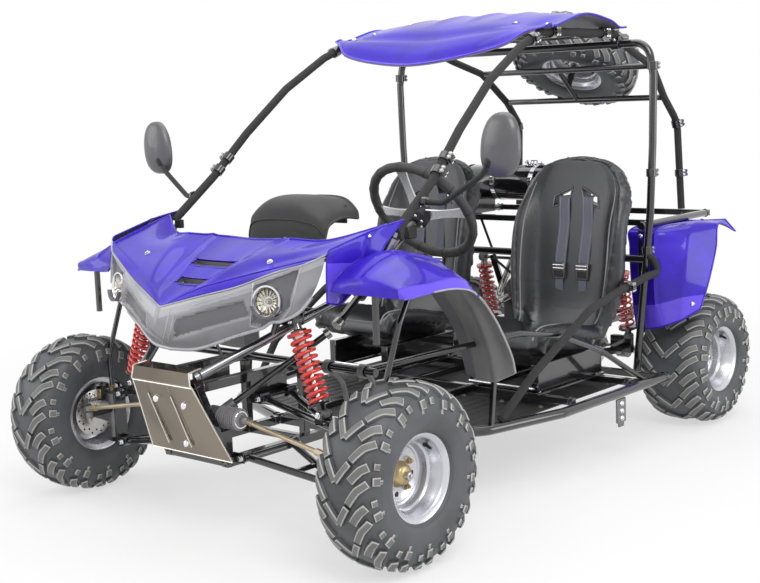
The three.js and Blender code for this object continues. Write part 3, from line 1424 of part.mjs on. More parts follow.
add('engine', engine(), 'alloy');

// Fuel drum across the kart on two saddles, with its filler cap
const tank = { left: -360, right: 24, station: 1650, radius: 66, over: 116, capAcross: -73, cap: 26, capOver: 14 };
const saddle = { places: [-300, -40], half: 16, front: 1570, back: 1705, depth: 62 };

function fuelTank() {
  const low = rackPlatform.height + tube.frame - sleeveStep + gap;
  const middle = low + tank.over;
  const drum = rod(point(tank.left, tank.station, middle), point(tank.right, tank.station, middle), tank.radius, 10);
  const saddles = saddle.places.map((x) => block(
    x - saddle.half,
    x + saddle.half,
    saddle.front,
    saddle.back,
    low,
    low + saddle.depth,
  ));
  const cap = rod(
    point(tank.capAcross, tank.station, middle),
    point(tank.capAcross, tank.station, middle + tank.radius + tank.capOver),
    tank.cap,
    8,
  );
  return fuse(drum, saddles, cap);
}

add('fuel_tank', fuelTank(), 'plasticBlack');

export default kart;
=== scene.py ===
import math
import bpy
import bmesh
from mathutils import Matrix, Quaternion, Vector


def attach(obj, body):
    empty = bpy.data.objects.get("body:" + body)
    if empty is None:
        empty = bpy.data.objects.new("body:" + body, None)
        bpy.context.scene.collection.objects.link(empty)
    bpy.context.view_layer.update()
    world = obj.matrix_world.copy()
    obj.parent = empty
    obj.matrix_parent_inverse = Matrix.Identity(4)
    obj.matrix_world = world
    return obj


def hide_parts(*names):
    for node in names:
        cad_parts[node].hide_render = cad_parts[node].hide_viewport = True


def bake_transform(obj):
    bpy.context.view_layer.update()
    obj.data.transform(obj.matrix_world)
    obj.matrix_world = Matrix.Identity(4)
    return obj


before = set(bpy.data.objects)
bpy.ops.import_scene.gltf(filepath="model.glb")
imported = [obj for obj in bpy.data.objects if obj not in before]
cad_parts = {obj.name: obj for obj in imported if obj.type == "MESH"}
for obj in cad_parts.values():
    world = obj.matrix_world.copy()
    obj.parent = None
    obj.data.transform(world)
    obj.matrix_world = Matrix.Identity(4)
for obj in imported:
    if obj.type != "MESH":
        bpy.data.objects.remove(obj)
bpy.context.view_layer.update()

# Off road go kart. Shapes are written in millimetres as (across, station from the front axle, height).
MM = 0.001
FRONT_AXLE = -932.0
SIDES = (("left", 1), ("right", -1))
X, Y, Z = Vector((1, 0, 0)), Vector((0, 1, 0)), Vector((0, 0, 1))


def rgb(r, g, b):
    """Display colour 0..255 to linear."""
    out = []
    for c in (r, g, b):
        c = c / 255
        out.append(c / 12.92 if c <= 0.04045 else ((c + 0.055) / 1.055) ** 2.4)
    return (*out, 1.0)


def material(name, colour, rough=0.5, metal=0.0, coat=0.0, coat_rough=0.05, grain=0.0, grain_scale=300.0,
             dirt=0.15, dirt_scale=9.0, dark=0.7, rough_vary=0.1, cells=False, streak=None, glass=0.0,
             sheen=0.0,
             second=None, second_scale=4.0, ior=1.5):
    m = bpy.data.materials.new(name)
    m.use_nodes = True
    t = m.node_tree
    n, link = t.nodes, t.links.new
    b = n["Principled BSDF"]
    b.inputs["Metallic"].default_value = metal
    b.inputs["Coat Weight"].default_value = coat
    b.inputs["Coat Roughness"].default_value = coat_rough
    b.inputs["Transmission Weight"].default_value = glass
    b.inputs["Sheen Weight"].default_value = sheen
    b.inputs["IOR"].default_value = ior
    at = n.new("ShaderNodeTexCoord")
    where = at.outputs["Object"]
    if streak:
        s = n.new("ShaderNodeMapping")
        s.inputs["Scale"].default_value = streak
        link(where, s.inputs["Vector"])
        where = s.outputs["Vector"]
    spots = n.new("ShaderNodeTexNoise")
    spots.inputs["Scale"].default_value = dirt_scale
    spots.inputs["Detail"].default_value = 6
    link(where, spots.inputs["Vector"])
    shade = n.new("ShaderNodeMix")
    shade.data_type = "RGBA"
    shade.inputs[6].default_value = tuple(c * dark for c in colour[:3]) + (1,)
    shade.inputs[7].default_value = colour
    reach = n.new("ShaderNodeMapRange")
    reach.inputs["From Min"].default_value = 0.5 - dirt
    reach.inputs["From Max"].default_value = 0.5
    link(spots.outputs["Fac"], reach.inputs["Value"])
    link(reach.outputs["Result"], shade.inputs["Factor"])
    out = shade.outputs[2]
    if second:
        wide = n.new("ShaderNodeTexNoise")
        wide.inputs["Scale"].default_value = second_scale
        wide.inputs["Detail"].default_value = 3
        link(where, wide.inputs["Vector"])
        band = n.new("ShaderNodeMapRange")
        band.inputs["From Min"].default_value = 0.42
        band.inputs["From Max"].default_value = 0.62
        link(wide.outputs["Fac"], band.inputs["Value"])
        both_ = n.new("ShaderNodeMix")
        both_.data_type = "RGBA"
        link(band.outputs["Result"], both_.inputs["Factor"])
        link(out, both_.inputs[6])
        both_.inputs[7].default_value = second
        out = both_.outputs[2]
    link(out, b.inputs["Base Color"])
    gloss = n.new("ShaderNodeMapRange")
    gloss.inputs["To Min"].default_value = max(0.02, rough - rough_vary)
    gloss.inputs["To Max"].default_value = min(1, rough + rough_vary)
    link(spots.outputs["Fac"], gloss.inputs["Value"])
    link(gloss.outputs["Result"], b.inputs["Roughness"])
    if grain:
        if cells:
            fine = n.new("ShaderNodeTexVoronoi")
            fine.inputs["Scale"].default_value = grain_scale
            height = fine.outputs["Distance"]
        else:
            fine = n.new("ShaderNodeTexNoise")
            fine.inputs["Scale"].default_value = grain_scale
            fine.inputs["Detail"].default_value = 4
            height = fine.outputs["Fac"]
        link(where, fine.inputs["Vector"])
        lift = n.new("ShaderNodeBump")
        lift.inputs["Strength"].default_value = grain
        lift.inputs["Distance"].default_value = 0.001
        link(height, lift.inputs["Height"])
        link(lift.outputs["Normal"], b.inputs["Normal"])
    return m


PURPLE = material("purple_gloss", rgb(56, 26, 190), 0.36, 0.0, coat=0.45, coat_rough=0.06, dirt=0.06,
    dark=0.82, grain=0.03, grain_scale=900, ior=1.3)
CHARCOAL = material("charcoal_satin", rgb(142, 142, 147), 0.42, 0.35, grain=0.12, grain_scale=1400, dark=0.88,
    second=rgb(156, 156, 160), second_scale=5)
POD = material("charcoal_pod", rgb(108, 108, 112), 0.4, 0.2, grain=0.12, grain_scale=1400, dark=0.85)
# Pale lines along panel edges and seams are painted highlights; the dash grommets share this colour.
PALE_TRIM_AND_HIGHLIGHT = material("pale_trim_and_painted_highlight", rgb(184, 184, 190), 0.3, 0.4, dark=0.85, grain=0.05)
FLAP = material("flap_moulded", rgb(138, 138, 139), 0.4, 0.25, grain=0.15, grain_scale=900, dark=0.85,
    second=rgb(132, 131, 130), second_scale=4)
GLOSSBLACK = material("frame_gloss_black", rgb(24, 24, 27), 0.16, 0.0, coat=1.0, dirt=0.2, grain=0.05,
    grain_scale=120)
WRAP = material("cage_textured_black", rgb(42, 42, 42), 0.72, 0.0, grain=0.8, grain_scale=1500, dark=0.7,
    cells=True)
BLACKPLASTIC = material("hood_grained_plastic", rgb(56, 56, 56), 0.45, 0.0, grain=0.6, grain_scale=1300,
    dark=0.8, cells=True)
GREYPLASTIC = material("mirror_grey", rgb(96, 96, 99), 0.38, 0.3, coat=0.25, grain=0.1, grain_scale=1500,
    dark=0.9)
RIM = material("rim_silver", rgb(206, 206, 212), 0.27, 0.75, dirt=0.12, dark=0.85, grain=0.06,
    grain_scale=500)
STEEL = material("plain_steel", rgb(196, 194, 190), 0.24, 0.95, dark=0.7, grain=0.15, grain_scale=500)
# The bonnet tube is gloss black; this silver colour is a painted reflection.
BONNET_TUBE_PAINTED_REFLECTION = material("bonnet_tube_painted_reflection", rgb(150, 150, 154), 0.16, 0.85, dark=0.8, dirt=0.2, grain=0.1,
    grain_scale=200)
CHROME = material("bright_steel", rgb(232, 232, 236), 0.09, 1.0, dark=0.9)
# Polished stainless: its brown-grey tint and wide blotches are a painted reflection of the surroundings.
PLATE = material("stainless_painted_reflection", rgb(122, 114, 104), 0.13, 0.9, dirt=0.2, dark=0.85, rough_vary=0.05,
    dirt_scale=5, grain=0.05, grain_scale=40, second=rgb(140, 130, 116), second_scale=2.5)
# Pale lines on the plate's folds, edges and ridges: painted highlights.
PLATE_FOLD_HIGHLIGHT = material("stainless_fold_painted_highlight", rgb(240, 232, 222), 0.2, 0.6, dark=0.9)
RUBBER = material("tyre_rubber", rgb(76, 78, 81), 0.5, 0.0, grain=0.35, grain_scale=260, dark=0.72, dirt=0.3,
    second=rgb(84, 86, 90), second_scale=9)
LUG = material("tyre_lug", rgb(112, 112, 111), 0.5, 0.0, grain=0.4, grain_scale=240, dark=0.75, dirt=0.3)
LUG_EDGE = material("tyre_lug_edge", rgb(176, 175, 171), 0.5, 0.0, grain=0.3, dark=0.7, dirt=0.35,
    dirt_scale=24)
LEATHER = material("seat_leather", rgb(54, 55, 60), 0.33, 0.0, grain=0.35, grain_scale=420, cells=True,
    dark=0.8, coat=0.3, coat_rough=0.25)
LEATHER_SIDE = material("seat_side", rgb(34, 35, 39), 0.3, 0.0, grain=0.5, grain_scale=420, cells=True,
    dark=0.8, coat=0.3, coat_rough=0.2)
PIPING = material("seat_piping", rgb(150, 150, 156), 0.4, 0.0, grain=0.3, grain_scale=900)
WEB = material("webbing_grey", rgb(104, 104, 120), 0.7, 0.0, grain=0.9, grain_scale=900, streak=(1, 1, 0.25),
    dark=0.8, sheen=0.2)
BUCKLE = material("buckle_steel", rgb(110, 108, 104), 0.35, 0.7, grain=0.2, grain_scale=500)
RED = material("spring_red", rgb(232, 52, 42), 0.3, 0.0, coat=0.8, dark=0.75)
ZINC = material("zinc_plate", rgb(178, 164, 138), 0.36, 0.7, dark=0.75, grain=0.15, grain_scale=400)
BRASS = material("passivated_gold", rgb(188, 168, 124), 0.3, 0.8, dark=0.6, grain=0.2, grain_scale=300)
BOOT = material("boot_grey", rgb(140, 136, 140), 0.55, 0.0, grain=0.3, grain_scale=500, dark=0.7)
CAST = material("cast_alloy", rgb(128, 128, 130), 0.45, 0.7, grain=0.6, grain_scale=450, dark=0.7)
DARKCAST = material("cast_dark", rgb(52, 52, 54), 0.5, 0.4, grain=0.5, grain_scale=450, dark=0.7)
HOSE = material("black_hose", rgb(22, 22, 24), 0.45, 0.0, grain=0.2)
LENS = material("lamp_lens", (0.98, 0.98, 0.96, 1), 0.03, 0.0, glass=1.0, dirt=0.02, dark=0.97,
    rough_vary=0.01, ior=1.3)
REFLECTOR = material("lamp_reflector", rgb(236, 228, 210), 0.16, 0.85, cells=True, grain=0.9, grain_scale=60,
    dark=0.7)
LUGBULB = material("lamp_bulb", rgb(255, 250, 238), 0.3, 0.0)
MIRROR = material("mirror_glass", rgb(220, 224, 228), 0.03, 1.0, dark=0.95)
ROOFUNDER = material("roof_under", rgb(122, 120, 132), 0.45, 0.1, dark=0.85)
# Pale lines round the fender flap: painted highlights.
FLAP_EDGE_HIGHLIGHT = material("flap_edge_painted_highlight", rgb(168, 167, 164), 0.35, 0.3, dark=0.85)
SPOKE = material("spoke_silver", rgb(206, 206, 212), 0.2, 0.9, dark=0.85, grain=0.1, grain_scale=900)
MATBLACK = material("under_black", rgb(28, 29, 29), 0.6, 0.0, grain=0.3, grain_scale=300)
SWITCHRED = material("switch_red", rgb(180, 40, 36), 0.4)


# Shapes: each gives (corners, faces)
def route(points, bend, step=8):
    pts = [Vector(p) for p in points]
    out = [pts[0]]
    for i in range(1, len(pts) - 1):
        here, a, b = pts[i], pts[i - 1] - pts[i], pts[i + 1] - pts[i]
        turn = math.pi - a.angle(b)
        reach = min(bend * math.tan(turn / 2), 0.45 * min(a.length, b.length))
        if turn < 0.03 or reach < 0.5:
            out.append(here)
            continue
        s, e, w = here + a.normalized() * reach, here + b.normalized() * reach, math.cos(turn / 2)
        n = max(2, round(math.degrees(turn) / step))
        for k in range(n + 1):
            t = k / n
            p, q, r = (1 - t) ** 2, 2 * w * t * (1 - t), t * t
            out.append((p * s + q * here + r * e) / (p + q + r))
    out.append(pts[-1])
    return out


def frames(pts, closed=False):
    """Directions across a line of points that don't twist along it."""
    n = len(pts)
    out = []
    side = None
    for i in range(n):
        a = pts[i - 1] if i or closed else pts[0]
        b = pts[(i + 1) % n] if i < n - 1 or closed else pts[-1]
        t = (b - a).normalized()
        if side is None:
            side = t.cross(Z if abs(t.z) < 0.9 else Y).normalized()
        side = (side - t * side.dot(t)).normalized()
        out.append((t, side, t.cross(side)))
    return out


def sweep(pts, radius, n=16, closed=False, section=None):
    """A tube round a line of points. radius is a number or one for each point."""
    pts = [Vector(p) for p in pts]
    count = len(pts)
    rs = radius if isinstance(radius, (list, tuple)) else [radius] * count
    shape = section or [(math.cos(2 * math.pi * k / n), math.sin(2 * math.pi * k / n)) for k in range(n)]
    n = len(shape)
    v, f = [], []
    for p, r, (t, a, b) in zip(pts, rs, frames(pts, closed)):
        v += [p + (a * c + b * s) * r for c, s in shape]
    for i in range(count if closed else count - 1):
        j = (i + 1) % count
        for k in range(n):
            m = (k + 1) % n
            f.append((i * n + k, i * n + m, j * n + m, j * n + k))
    if not closed:
        f.append(tuple(range(n)))
        f.append(tuple((count - 1) * n + k for k in range(n)))
    return v, f


def pipe(points, radius, bend=60, n=18, step=8):
    return sweep(route(points, bend, step), radius, n)


def rod(a, b, r, r2=None, n=24, chamfer=0.8):
    a, b = Vector(a), Vector(b)
    r2 = r if r2 is None else r2
    c = min(chamfer, r * 0.4, r2 * 0.4 if r2 else 1, (b - a).length * 0.3)
    d = (b - a).normalized()
    return sweep([a, a + d * c, b - d * c, b], [r - c, r, r2, max(r2 - c, 0.01)], n)


def square(a, b, half, chamfer=1.5):
    a, b = Vector(a), Vector(b)
    d = (b - a).normalized()
    q = Y.rotation_difference(d)
    u, w = q @ X, q @ Z
    c = 1 - chamfer / half
    shape = [(1, -c), (1, c), (c, 1), (-c, 1), (-1, c), (-1, -c), (-c, -1), (c, -1)]
    v = [p + (u * x + w * y) * half for p in (a, b) for x, y in shape]
    f = [(k, (k + 1) % 8, 8 + (k + 1) % 8, 8 + k) for k in range(8)] + [tuple(range(8)), tuple(range(8, 16))]
    return v, f


def block(lo, hi, chamfer=1.5, turn=None, at=None):
    """A box with worn edges; turned about its middle, or about at."""
    lo, hi = Vector(lo), Vector(hi)
    mid, h = (lo + hi) / 2, (hi - lo) / 2
    c = min(chamfer, *(0.45 * abs(x) for x in h))
    v, index = [], {}
    for sx in (-1, 1):
        for sy in (-1, 1):
            for sz in (-1, 1):
                for axis in range(3):
                    p = [sx * (h.x - c), sy * (h.y - c), sz * (h.z - c)]
                    p[axis] += (sx, sy, sz)[axis] * c
                    index[sx, sy, sz, axis] = len(v)
                    v.append(Vector(p))
    f = []
    s2 = ((-1, -1), (1, -1), (1, 1), (-1, 1))
    for axis in range(3):
        o = [i for i in range(3) if i != axis]
        for s in (-1, 1):
            face = []
            for a, b in s2:
                key = [0, 0, 0]
                key[axis], key[o[0]], key[o[1]] = s, a, b
                face.append(index[(*key, axis)])
            f.append(tuple(face))
        for a, b in s2:
            e = []
            for s in (-1, 1):
                key = [0, 0, 0]
                key[axis], key[o[0]], key[o[1]] = s, a, b
                pair = [index[(*key, o[0])], index[(*key, o[1])]]
                e += pair if s < 0 else pair[::-1]
            f.append(tuple(e))
    for sx in (-1, 1):
        for sy in (-1, 1):
            for sz in (-1, 1):
                f.append(tuple(index[sx, sy, sz, k] for k in range(3)))
    pivot = Vector(at) - mid if at else Vector()
    v = [(turn @ (p - pivot) + pivot if turn else p) + mid for p in v]
    return v, f


def lathe(profile, centre, way, n=64, start=0.0, stop=2 * math.pi):
    """Turned about a line: pairs of place along it and radius."""
    centre, way = Vector(centre), Vector(way).normalized()
    a = way.cross(Z if abs(way.z) < 0.9 else Y).normalized()
    b = way.cross(a)
    whole = abs(stop - start - 2 * math.pi) < 1e-6
    steps = n if whole else n + 1
    v, rows = [], []
    for along, r in profile:
        if r < 1e-4:
            rows.append([len(v)] * steps)
            v.append(centre + way * along)
            continue
        rows.append(list(range(len(v), len(v) + steps)))
        for k in range(steps):
            t = start + (stop - start) * k / n
            v.append(centre + way * along + (a * math.cos(t) + b * math.sin(t)) * r)
    f = []
    for i in range(len(rows) - 1):
        for k in range(n):
            m = (k + 1) % steps
            q = [rows[i][k], rows[i][m], rows[i + 1][m], rows[i + 1][k]]
            q = [x for j, x in enumerate(q) if x not in q[:j]]
            if len(q) > 2:
                f.append(tuple(q))
    return v, f


def ring(centre, way, outer, inner, width, n=48, chamfer=1.0):
    h, c = width / 2, min(chamfer, width / 5, (outer - inner) / 4)
    return lathe([(-h, inner + c), (-h, outer - c), (-h + c, outer), (h - c, outer), (h, outer - c),
        (h, inner + c),
                  (h - c, inner), (-h + c, inner), (-h, inner + c)], centre, way, n)


def hexed(at, way, size, height, spin=0.0):
    """A hexagon nut or bolt head with a washer, standing on a face."""
    way = Vector(way).normalized()
    at = Vector(at)
    v, f = lathe([(0, 0), (0, size * 0.72), (height * 0.18, size * 0.72), (height * 0.18, 0)], at, way, 20)
    r = size * 0.56
    w, g = lathe([(height * 0.18, 0), (height * 0.18, r), (height * 0.85, r), (height, r * 0.8), (height, 0)],
        at, way, 6, spin, spin + 2 * math.pi)
    return v + w, f + [tuple(len(v) + i for i in q) for q in g]


def domed(at, way, size, height):
    return lathe([(0, 0), (0, size * 0.6), (height * 0.25, size * 0.58), (height * 0.7, size * 0.4),
        (height * 0.95, size * 0.2), (height, 0)], at, way, 20)


def coil(a, b, radius, wire, curls, n=12, per=28):
    a, b = Vector(a), Vector(b)
    d = (b - a).normalized()
    side = Y.cross(d).normalized()
    front = d.cross(side)
    pts = []
    for i in range(curls * per + 1):
        t = 2 * math.pi * i / per
        pts.append(a.lerp(b, i / (curls * per)) + side * radius * math.cos(t) + front * radius * math.sin(t))
    return sweep(pts, wire / 2, n)


def spline(p, t):
    """A smooth curve through a list of values at place t, 0 to len-1."""
    n = len(p)
    i = min(int(t), n - 2)
    t -= i
    b, c = p[i], p[i + 1]
    a = p[i - 1] if i else b * 2 - c
    d = p[i + 2] if i + 2 < n else c * 2 - b
    return ((b * 2) + (c - a) * t + (a * 2 - b * 5 + c * 4 - d) * t ** 2 + (b * 3 - a - c * 3 + d) * t ** 3) / 2


def net(rows, high, wide, crease=()):
    """A fine grid of points through rows of points, high steps between rows and wide between columns.

    crease lists the columns where the curve is broken.
    """
    rows = [[Vector(p) for p in r] for r in rows]
    cols = len(rows[0])
    breaks = [0, *crease, cols - 1]
    lines = []
    for r in rows:
        line = []
        for a, b in zip(breaks, breaks[1:]):
            part = r[a:b + 1]
            steps = (b - a) * wide
            line += [spline(part, (b - a) * k / steps) if len(part) > 2 else part[0].lerp(part[1], k / steps)
                for k in range(steps)]
        line.append(r[-1])
        lines.append(line)
    out = []
    n = len(rows)
    for i in range((n - 1) * high + 1):
        t = i / high
        out.append([spline([l[j] for l in lines], t) if n > 2 else lines[0][j].lerp(lines[1][j], t)
            for j in range(len(lines[0]))])
    return out


def normals(grid):
    h, w = len(grid), len(grid[0])
    out = []
    for i in range(h):
        row = []
        for j in range(w):
            up = grid[min(i + 1, h - 1)][j] - grid[max(i - 1, 0)][j]
            over = grid[i][min(j + 1, w - 1)] - grid[i][max(j - 1, 0)]
            row.append(over.cross(up).normalized())
        out.append(row)
    return out


def shell(grid, thick, mat, under=None, rim=None, hole=None, lift=None, paint=None, flip=False, stiff=False):
    """A skin on a grid: lift(i, j, point) raises it, hole(i, j, point) opens it and paint(i, j, point) picks
    a face's material. Gives {material: (corners, faces)}, its edge lines and its upper grid.
    """
    h, w = len(grid), len(grid[0])
    norm = normals(grid)
    if flip:
        norm = [[-x for x in r] for r in norm]
    top = [[grid[i][j] + norm[i][j] * (lift(i, j, grid[i][j]) if lift else 0) for j in range(w)]
        for i in range(h)]
    if lift:
        norm = [[-x for x in r] for r in normals(top)] if flip else normals(top)
    if stiff:
        norm = [[r[w // 2]] * w for r in norm]
    back = [[top[i][j] - norm[i][j] * thick for j in range(w)] for i in range(h)]
    v = [p for r in top for p in r] + [p for r in back for p in r]
    k = h * w
    sets = {}
    edges = set()
    for i in range(h - 1):
        for j in range(w - 1):
            mid = (grid[i][j] + grid[i + 1][j + 1] + grid[i][j + 1] + grid[i + 1][j]) / 4
            if hole and hole(i, j, mid):
                continue
            a, b, c, d = i * w + j, i * w + j + 1, (i + 1) * w + j + 1, (i + 1) * w + j
            m = (paint(i, j, mid) if paint else None) or mat
            sets.setdefault(m, []).append((a, b, c, d))
            low = under(i, j) if callable(under) else under
            sets.setdefault(low or m, []).append((k + a, k + d, k + c, k + b))
            for e in ((a, b), (b, c), (c, d), (d, a)):
                if (e[1], e[0]) in edges:
                    edges.remove((e[1], e[0]))
                else:
                    edges.add(e)
    for a, b in sorted(edges):
        sets.setdefault(rim or mat, []).append((b, a, k + a, k + b))
    after = dict(sorted(edges))
    loops = []
    while after:
        start = min(after)
        line, at = [], start
        while at in after:
            line.append((v[at], v[k + at]))
            at = after.pop(at)
        loops.append(line)
    return {m: (v, f) for m, f in sets.items()}, loops, top


def place_at(top, x, y):
    """Where a sheet's near side meets the line of sight through a place in the photograph's frame."""
    best, spot = 1e9, (0, 0)
    h, w = len(top), len(top[0])
    seen = top_sights(top)
    for i in range(h):
        for j in range(w):
            u, v = seen[i][j]
            d = (u - x) ** 2 + (v - y) ** 2
            if d < best:
                best, spot = d, (i, j)
    i, j = spot
    i1, j1 = (i + 1 if i + 1 < h else i - 1), (j + 1 if j + 1 < w else j - 1)
    (u, v), (a, b), (c, d) = seen[i][j], seen[i1][j], seen[i][j1]
    a, b, c, d = a - u, b - v, c - u, d - v
    det = a * d - b * c
    if abs(det) < 1e-9:
        return top[i][j]
    s = ((x - u) * d - (y - v) * c) / det
    t = (a * (y - v) - b * (x - u)) / det
    s, t = max(-1.0, min(1.0, s)), max(-1.0, min(1.0, t))
    return top[i][j] + (top[i1][j] - top[i][j]) * s + (top[i][j1] - top[i][j]) * t


SEEN = {}


def top_sights(top):
    key = id(top)
    if key not in SEEN:
        SEEN[key] = (top, [[sight(p) for p in r] for r in top])
    return SEEN[key][1]


def traced(top, path, step=2.0, soften=1):
    """Points on a sheet under a path in the photograph's frame."""
    marks = []
    for (x0, y0), (x1, y1) in zip(path, path[1:]):
        n = max(1, round(math.hypot(x1 - x0, y1 - y0) / step))
        marks += [(x0 + (x1 - x0) * k / n, y0 + (y1 - y0) * k / n) for k in range(n)]
    marks.append(path[-1])
    pts = [place_at(top, x, y) for x, y in marks]
    for _ in range(soften):
        pts = [pts[0]] + [(a + b * 2 + c) / 4 for a, b, c in zip(pts, pts[1:], pts[2:])] + [pts[-1]]
    return pts


def ribbon(one, two, thick, out):
    """A flat strap between two lines of points, standing out along a direction."""
    out = Vector(out).normalized() * thick
    n = min(len(one), len(two))
    v, f = [], []
    for a, b in zip(one, two):
        v += [a, a + out, b + out, b]
    for i in range(n - 1):
        for k in range(4):
            m = (k + 1) % 4
            f.append((4 * i + k, 4 * i + m, 4 * i + 4 + m, 4 * i + 4 + k))
    f += [(0, 1, 2, 3), tuple(4 * (n - 1) + k for k in range(4))]
    return v, f


def place(p, sign=1):
    """A point in the row's own frame, in metres."""
    return (sign * p[0] * MM, (p[1] + FRONT_AXLE) * MM, p[2] * MM)


def carve(o, v, f, sign=1):
    """Cuts a closed shape out of a piece."""
    tool = bpy.data.meshes.new("tool")
    tool.from_pydata([place(p, sign) for p in v], [], f)
    bm = bmesh.new()
    bm.from_mesh(tool)
    bmesh.ops.remove_doubles(bm, verts=bm.verts, dist=1e-6)
    bmesh.ops.recalc_face_normals(bm, faces=bm.faces)
    bm.to_mesh(tool)
    bm.free()
    t = bpy.data.objects.new("tool", tool)
    bpy.context.scene.collection.objects.link(t)
    cut = o.modifiers.new("cut", "BOOLEAN")
    cut.object = t
    cut.operation = "DIFFERENCE"
    cut.solver = "EXACT"
    cut.use_self = True
    made = bpy.data.meshes.new_from_object(o.evaluated_get(bpy.context.evaluated_depsgraph_get()))
    o.modifiers.clear()
    o.data = made
    bpy.data.objects.remove(t)


class Kit:
    """Shapes gathered into one piece."""

    def __init__(self, name):
        self.name, self.v, self.f, self.k, self.mats = name, [], [], [], []

    def put(self, shape, mat):
        v, f = shape
        if mat not in self.mats:
            self.mats.append(mat)
        used = sorted({i for q in f for i in q})
        where = {i: len(self.v) + n for n, i in enumerate(used)}
        self.v += [Vector(v[i]) for i in used]
        self.f += [tuple(where[i] for i in q) for q in f]
        self.k += [self.mats.index(mat)] * len(f)
        return self

    def all(self, sets):
        for m, s in sets.items():
            self.put(s, m)
        return self

    def twice(self, shape, mat):
        v, f = shape
        self.put(shape, mat)
        return self.put(([Vector((-p[0], p[1], p[2])) for p in v], [q[::-1] for q in f]), mat)

    def done(self, body, *nodes, sign=1, name=None, sharp=38, slot=None, cuts=(), blend=None):
        me = bpy.data.meshes.new(name or self.name)
        me.from_pydata([((sign * p.x) * MM, (p.y + FRONT_AXLE) * MM, p.z * MM) for p in self.v], [], self.f)
        for m in self.mats:
            me.materials.append(m)
        me.polygons.foreach_set("material_index", self.k)
        bm = bmesh.new()
        bm.from_mesh(me)
        bmesh.ops.remove_doubles(bm, verts=bm.verts, dist=1e-6)
        bmesh.ops.recalc_face_normals(bm, faces=bm.faces)
        bm.to_mesh(me)
        bm.free()
        o = bpy.data.objects.new(name or self.name, me)
        bpy.context.scene.collection.objects.link(o)
        for v, f in cuts:
            carve(o, v, f, sign)
        me = o.data
        me.polygons.foreach_set("use_smooth", [True] * len(me.polygons))
        me.set_sharp_from_angle(angle=math.radians(sharp))
        me.update()
        if blend:
            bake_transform(o)
        else:
            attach(o, body)
        if nodes:
            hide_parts(*nodes)
        return o

    def pair(self, body, *nodes, sharp=38, slot=None, cuts=(), blend=None):
        out = []
        for side, sign in SIDES:
            names = [n + "_" + side for n in nodes]
            joined = blend and [b.replace("*", side) if isinstance(b, str) else b for b in blend]
            out.append(self.done(body.replace("*", side), *names, sign=sign, name=self.name + "_" + side,
                sharp=sharp,
                                 slot=slot, cuts=cuts, blend=joined))
        return out


def put_prims(kit, prims, mat, skip=(), mats=None):
    """The node's own members, made round and smooth."""
    for i, p in enumerate(prims):
        if i in skip:
            continue
        m = (mats or {}).get(i, mat)
        kind, c = p[0], p[-1]
        if kind == "pipe":
            kit.put(pipe(c, p[1], p[2]), m)
        elif kind == "rod":
            kit.put(rod(c[0], c[1], p[1], p[2]), m)
        elif kind == "square":
            kit.put(square(c[0], c[1], p[1]), m)
        elif kind == "block":
            kit.put(block(c[0], c[1]), m)
        elif kind == "ring":
            kit.put(ring(c[0], c[1], p[1], p[2], p[3]), m)


# The photograph's own camera: sight gives a point's place in its frame
EYE = Vector((2744.34, -2444.45, 1167.42))
RIGHT = Vector((0.75485017, 0.65485538, -0.03695465))
UP = Vector((-0.06551213, 0.13133634, 0.98917083))
AHEAD = Vector((-0.65261733, 0.74425479, -0.14204024))
REACH = 1326.15


def sight(p):
    d = Vector(p) - EYE
    z = d.dot(AHEAD)
    return 380 + REACH * d.dot(RIGHT) / z, 291.5 - REACH * d.dot(UP) / z


def line_away(p, q, x, y):
    """Distance of a place from the run between two others."""
    dx, dy = q[0] - p[0], q[1] - p[1]
    t = max(0, min(1, ((x - p[0]) * dx + (y - p[1]) * dy) / (dx * dx + dy * dy)))
    return math.hypot(x - p[0] - t * dx, y - p[1] - t * dy)


def inside(poly, x, y):
    """Signed distance to a polygon's edge, positive inside."""
    odd = False
    least = 1e9
    for (x0, y0), (x1, y1) in zip(poly, poly[1:] + poly[:1]):
        if (y0 > y) != (y1 > y) and x < (x1 - x0) * (y - y0) / (y1 - y0) + x0:
            odd = not odd
        least = min(least, line_away((x0, y0), (x1, y1), x, y))
    return least if odd else -least


def ease(t):
    t = max(0.0, min(1.0, t))
    return t * t * (3 - 2 * t)


def near_side(p):
    return Vector((abs(p[0]), p[1], p[2]))


def twin(kind, *rest):
    """A member and the same one across the kart."""
    *sizes, ends = rest
    over = [(-x, y, z) for x, y, z in ends]
    if kind == "block":
        (x0, y0, z0), (x1, y1, z1) = over
        over = [(x1, y0, z0), (x0, y1, z1)]
    return (kind, *sizes, ends), (kind, *sizes, over)


def mirrored(*row):
    """A row of points given from the right side to the middle, with its left half added."""
    return [*row, *((-x, y, z) for x, y, z in row[-2::-1])]


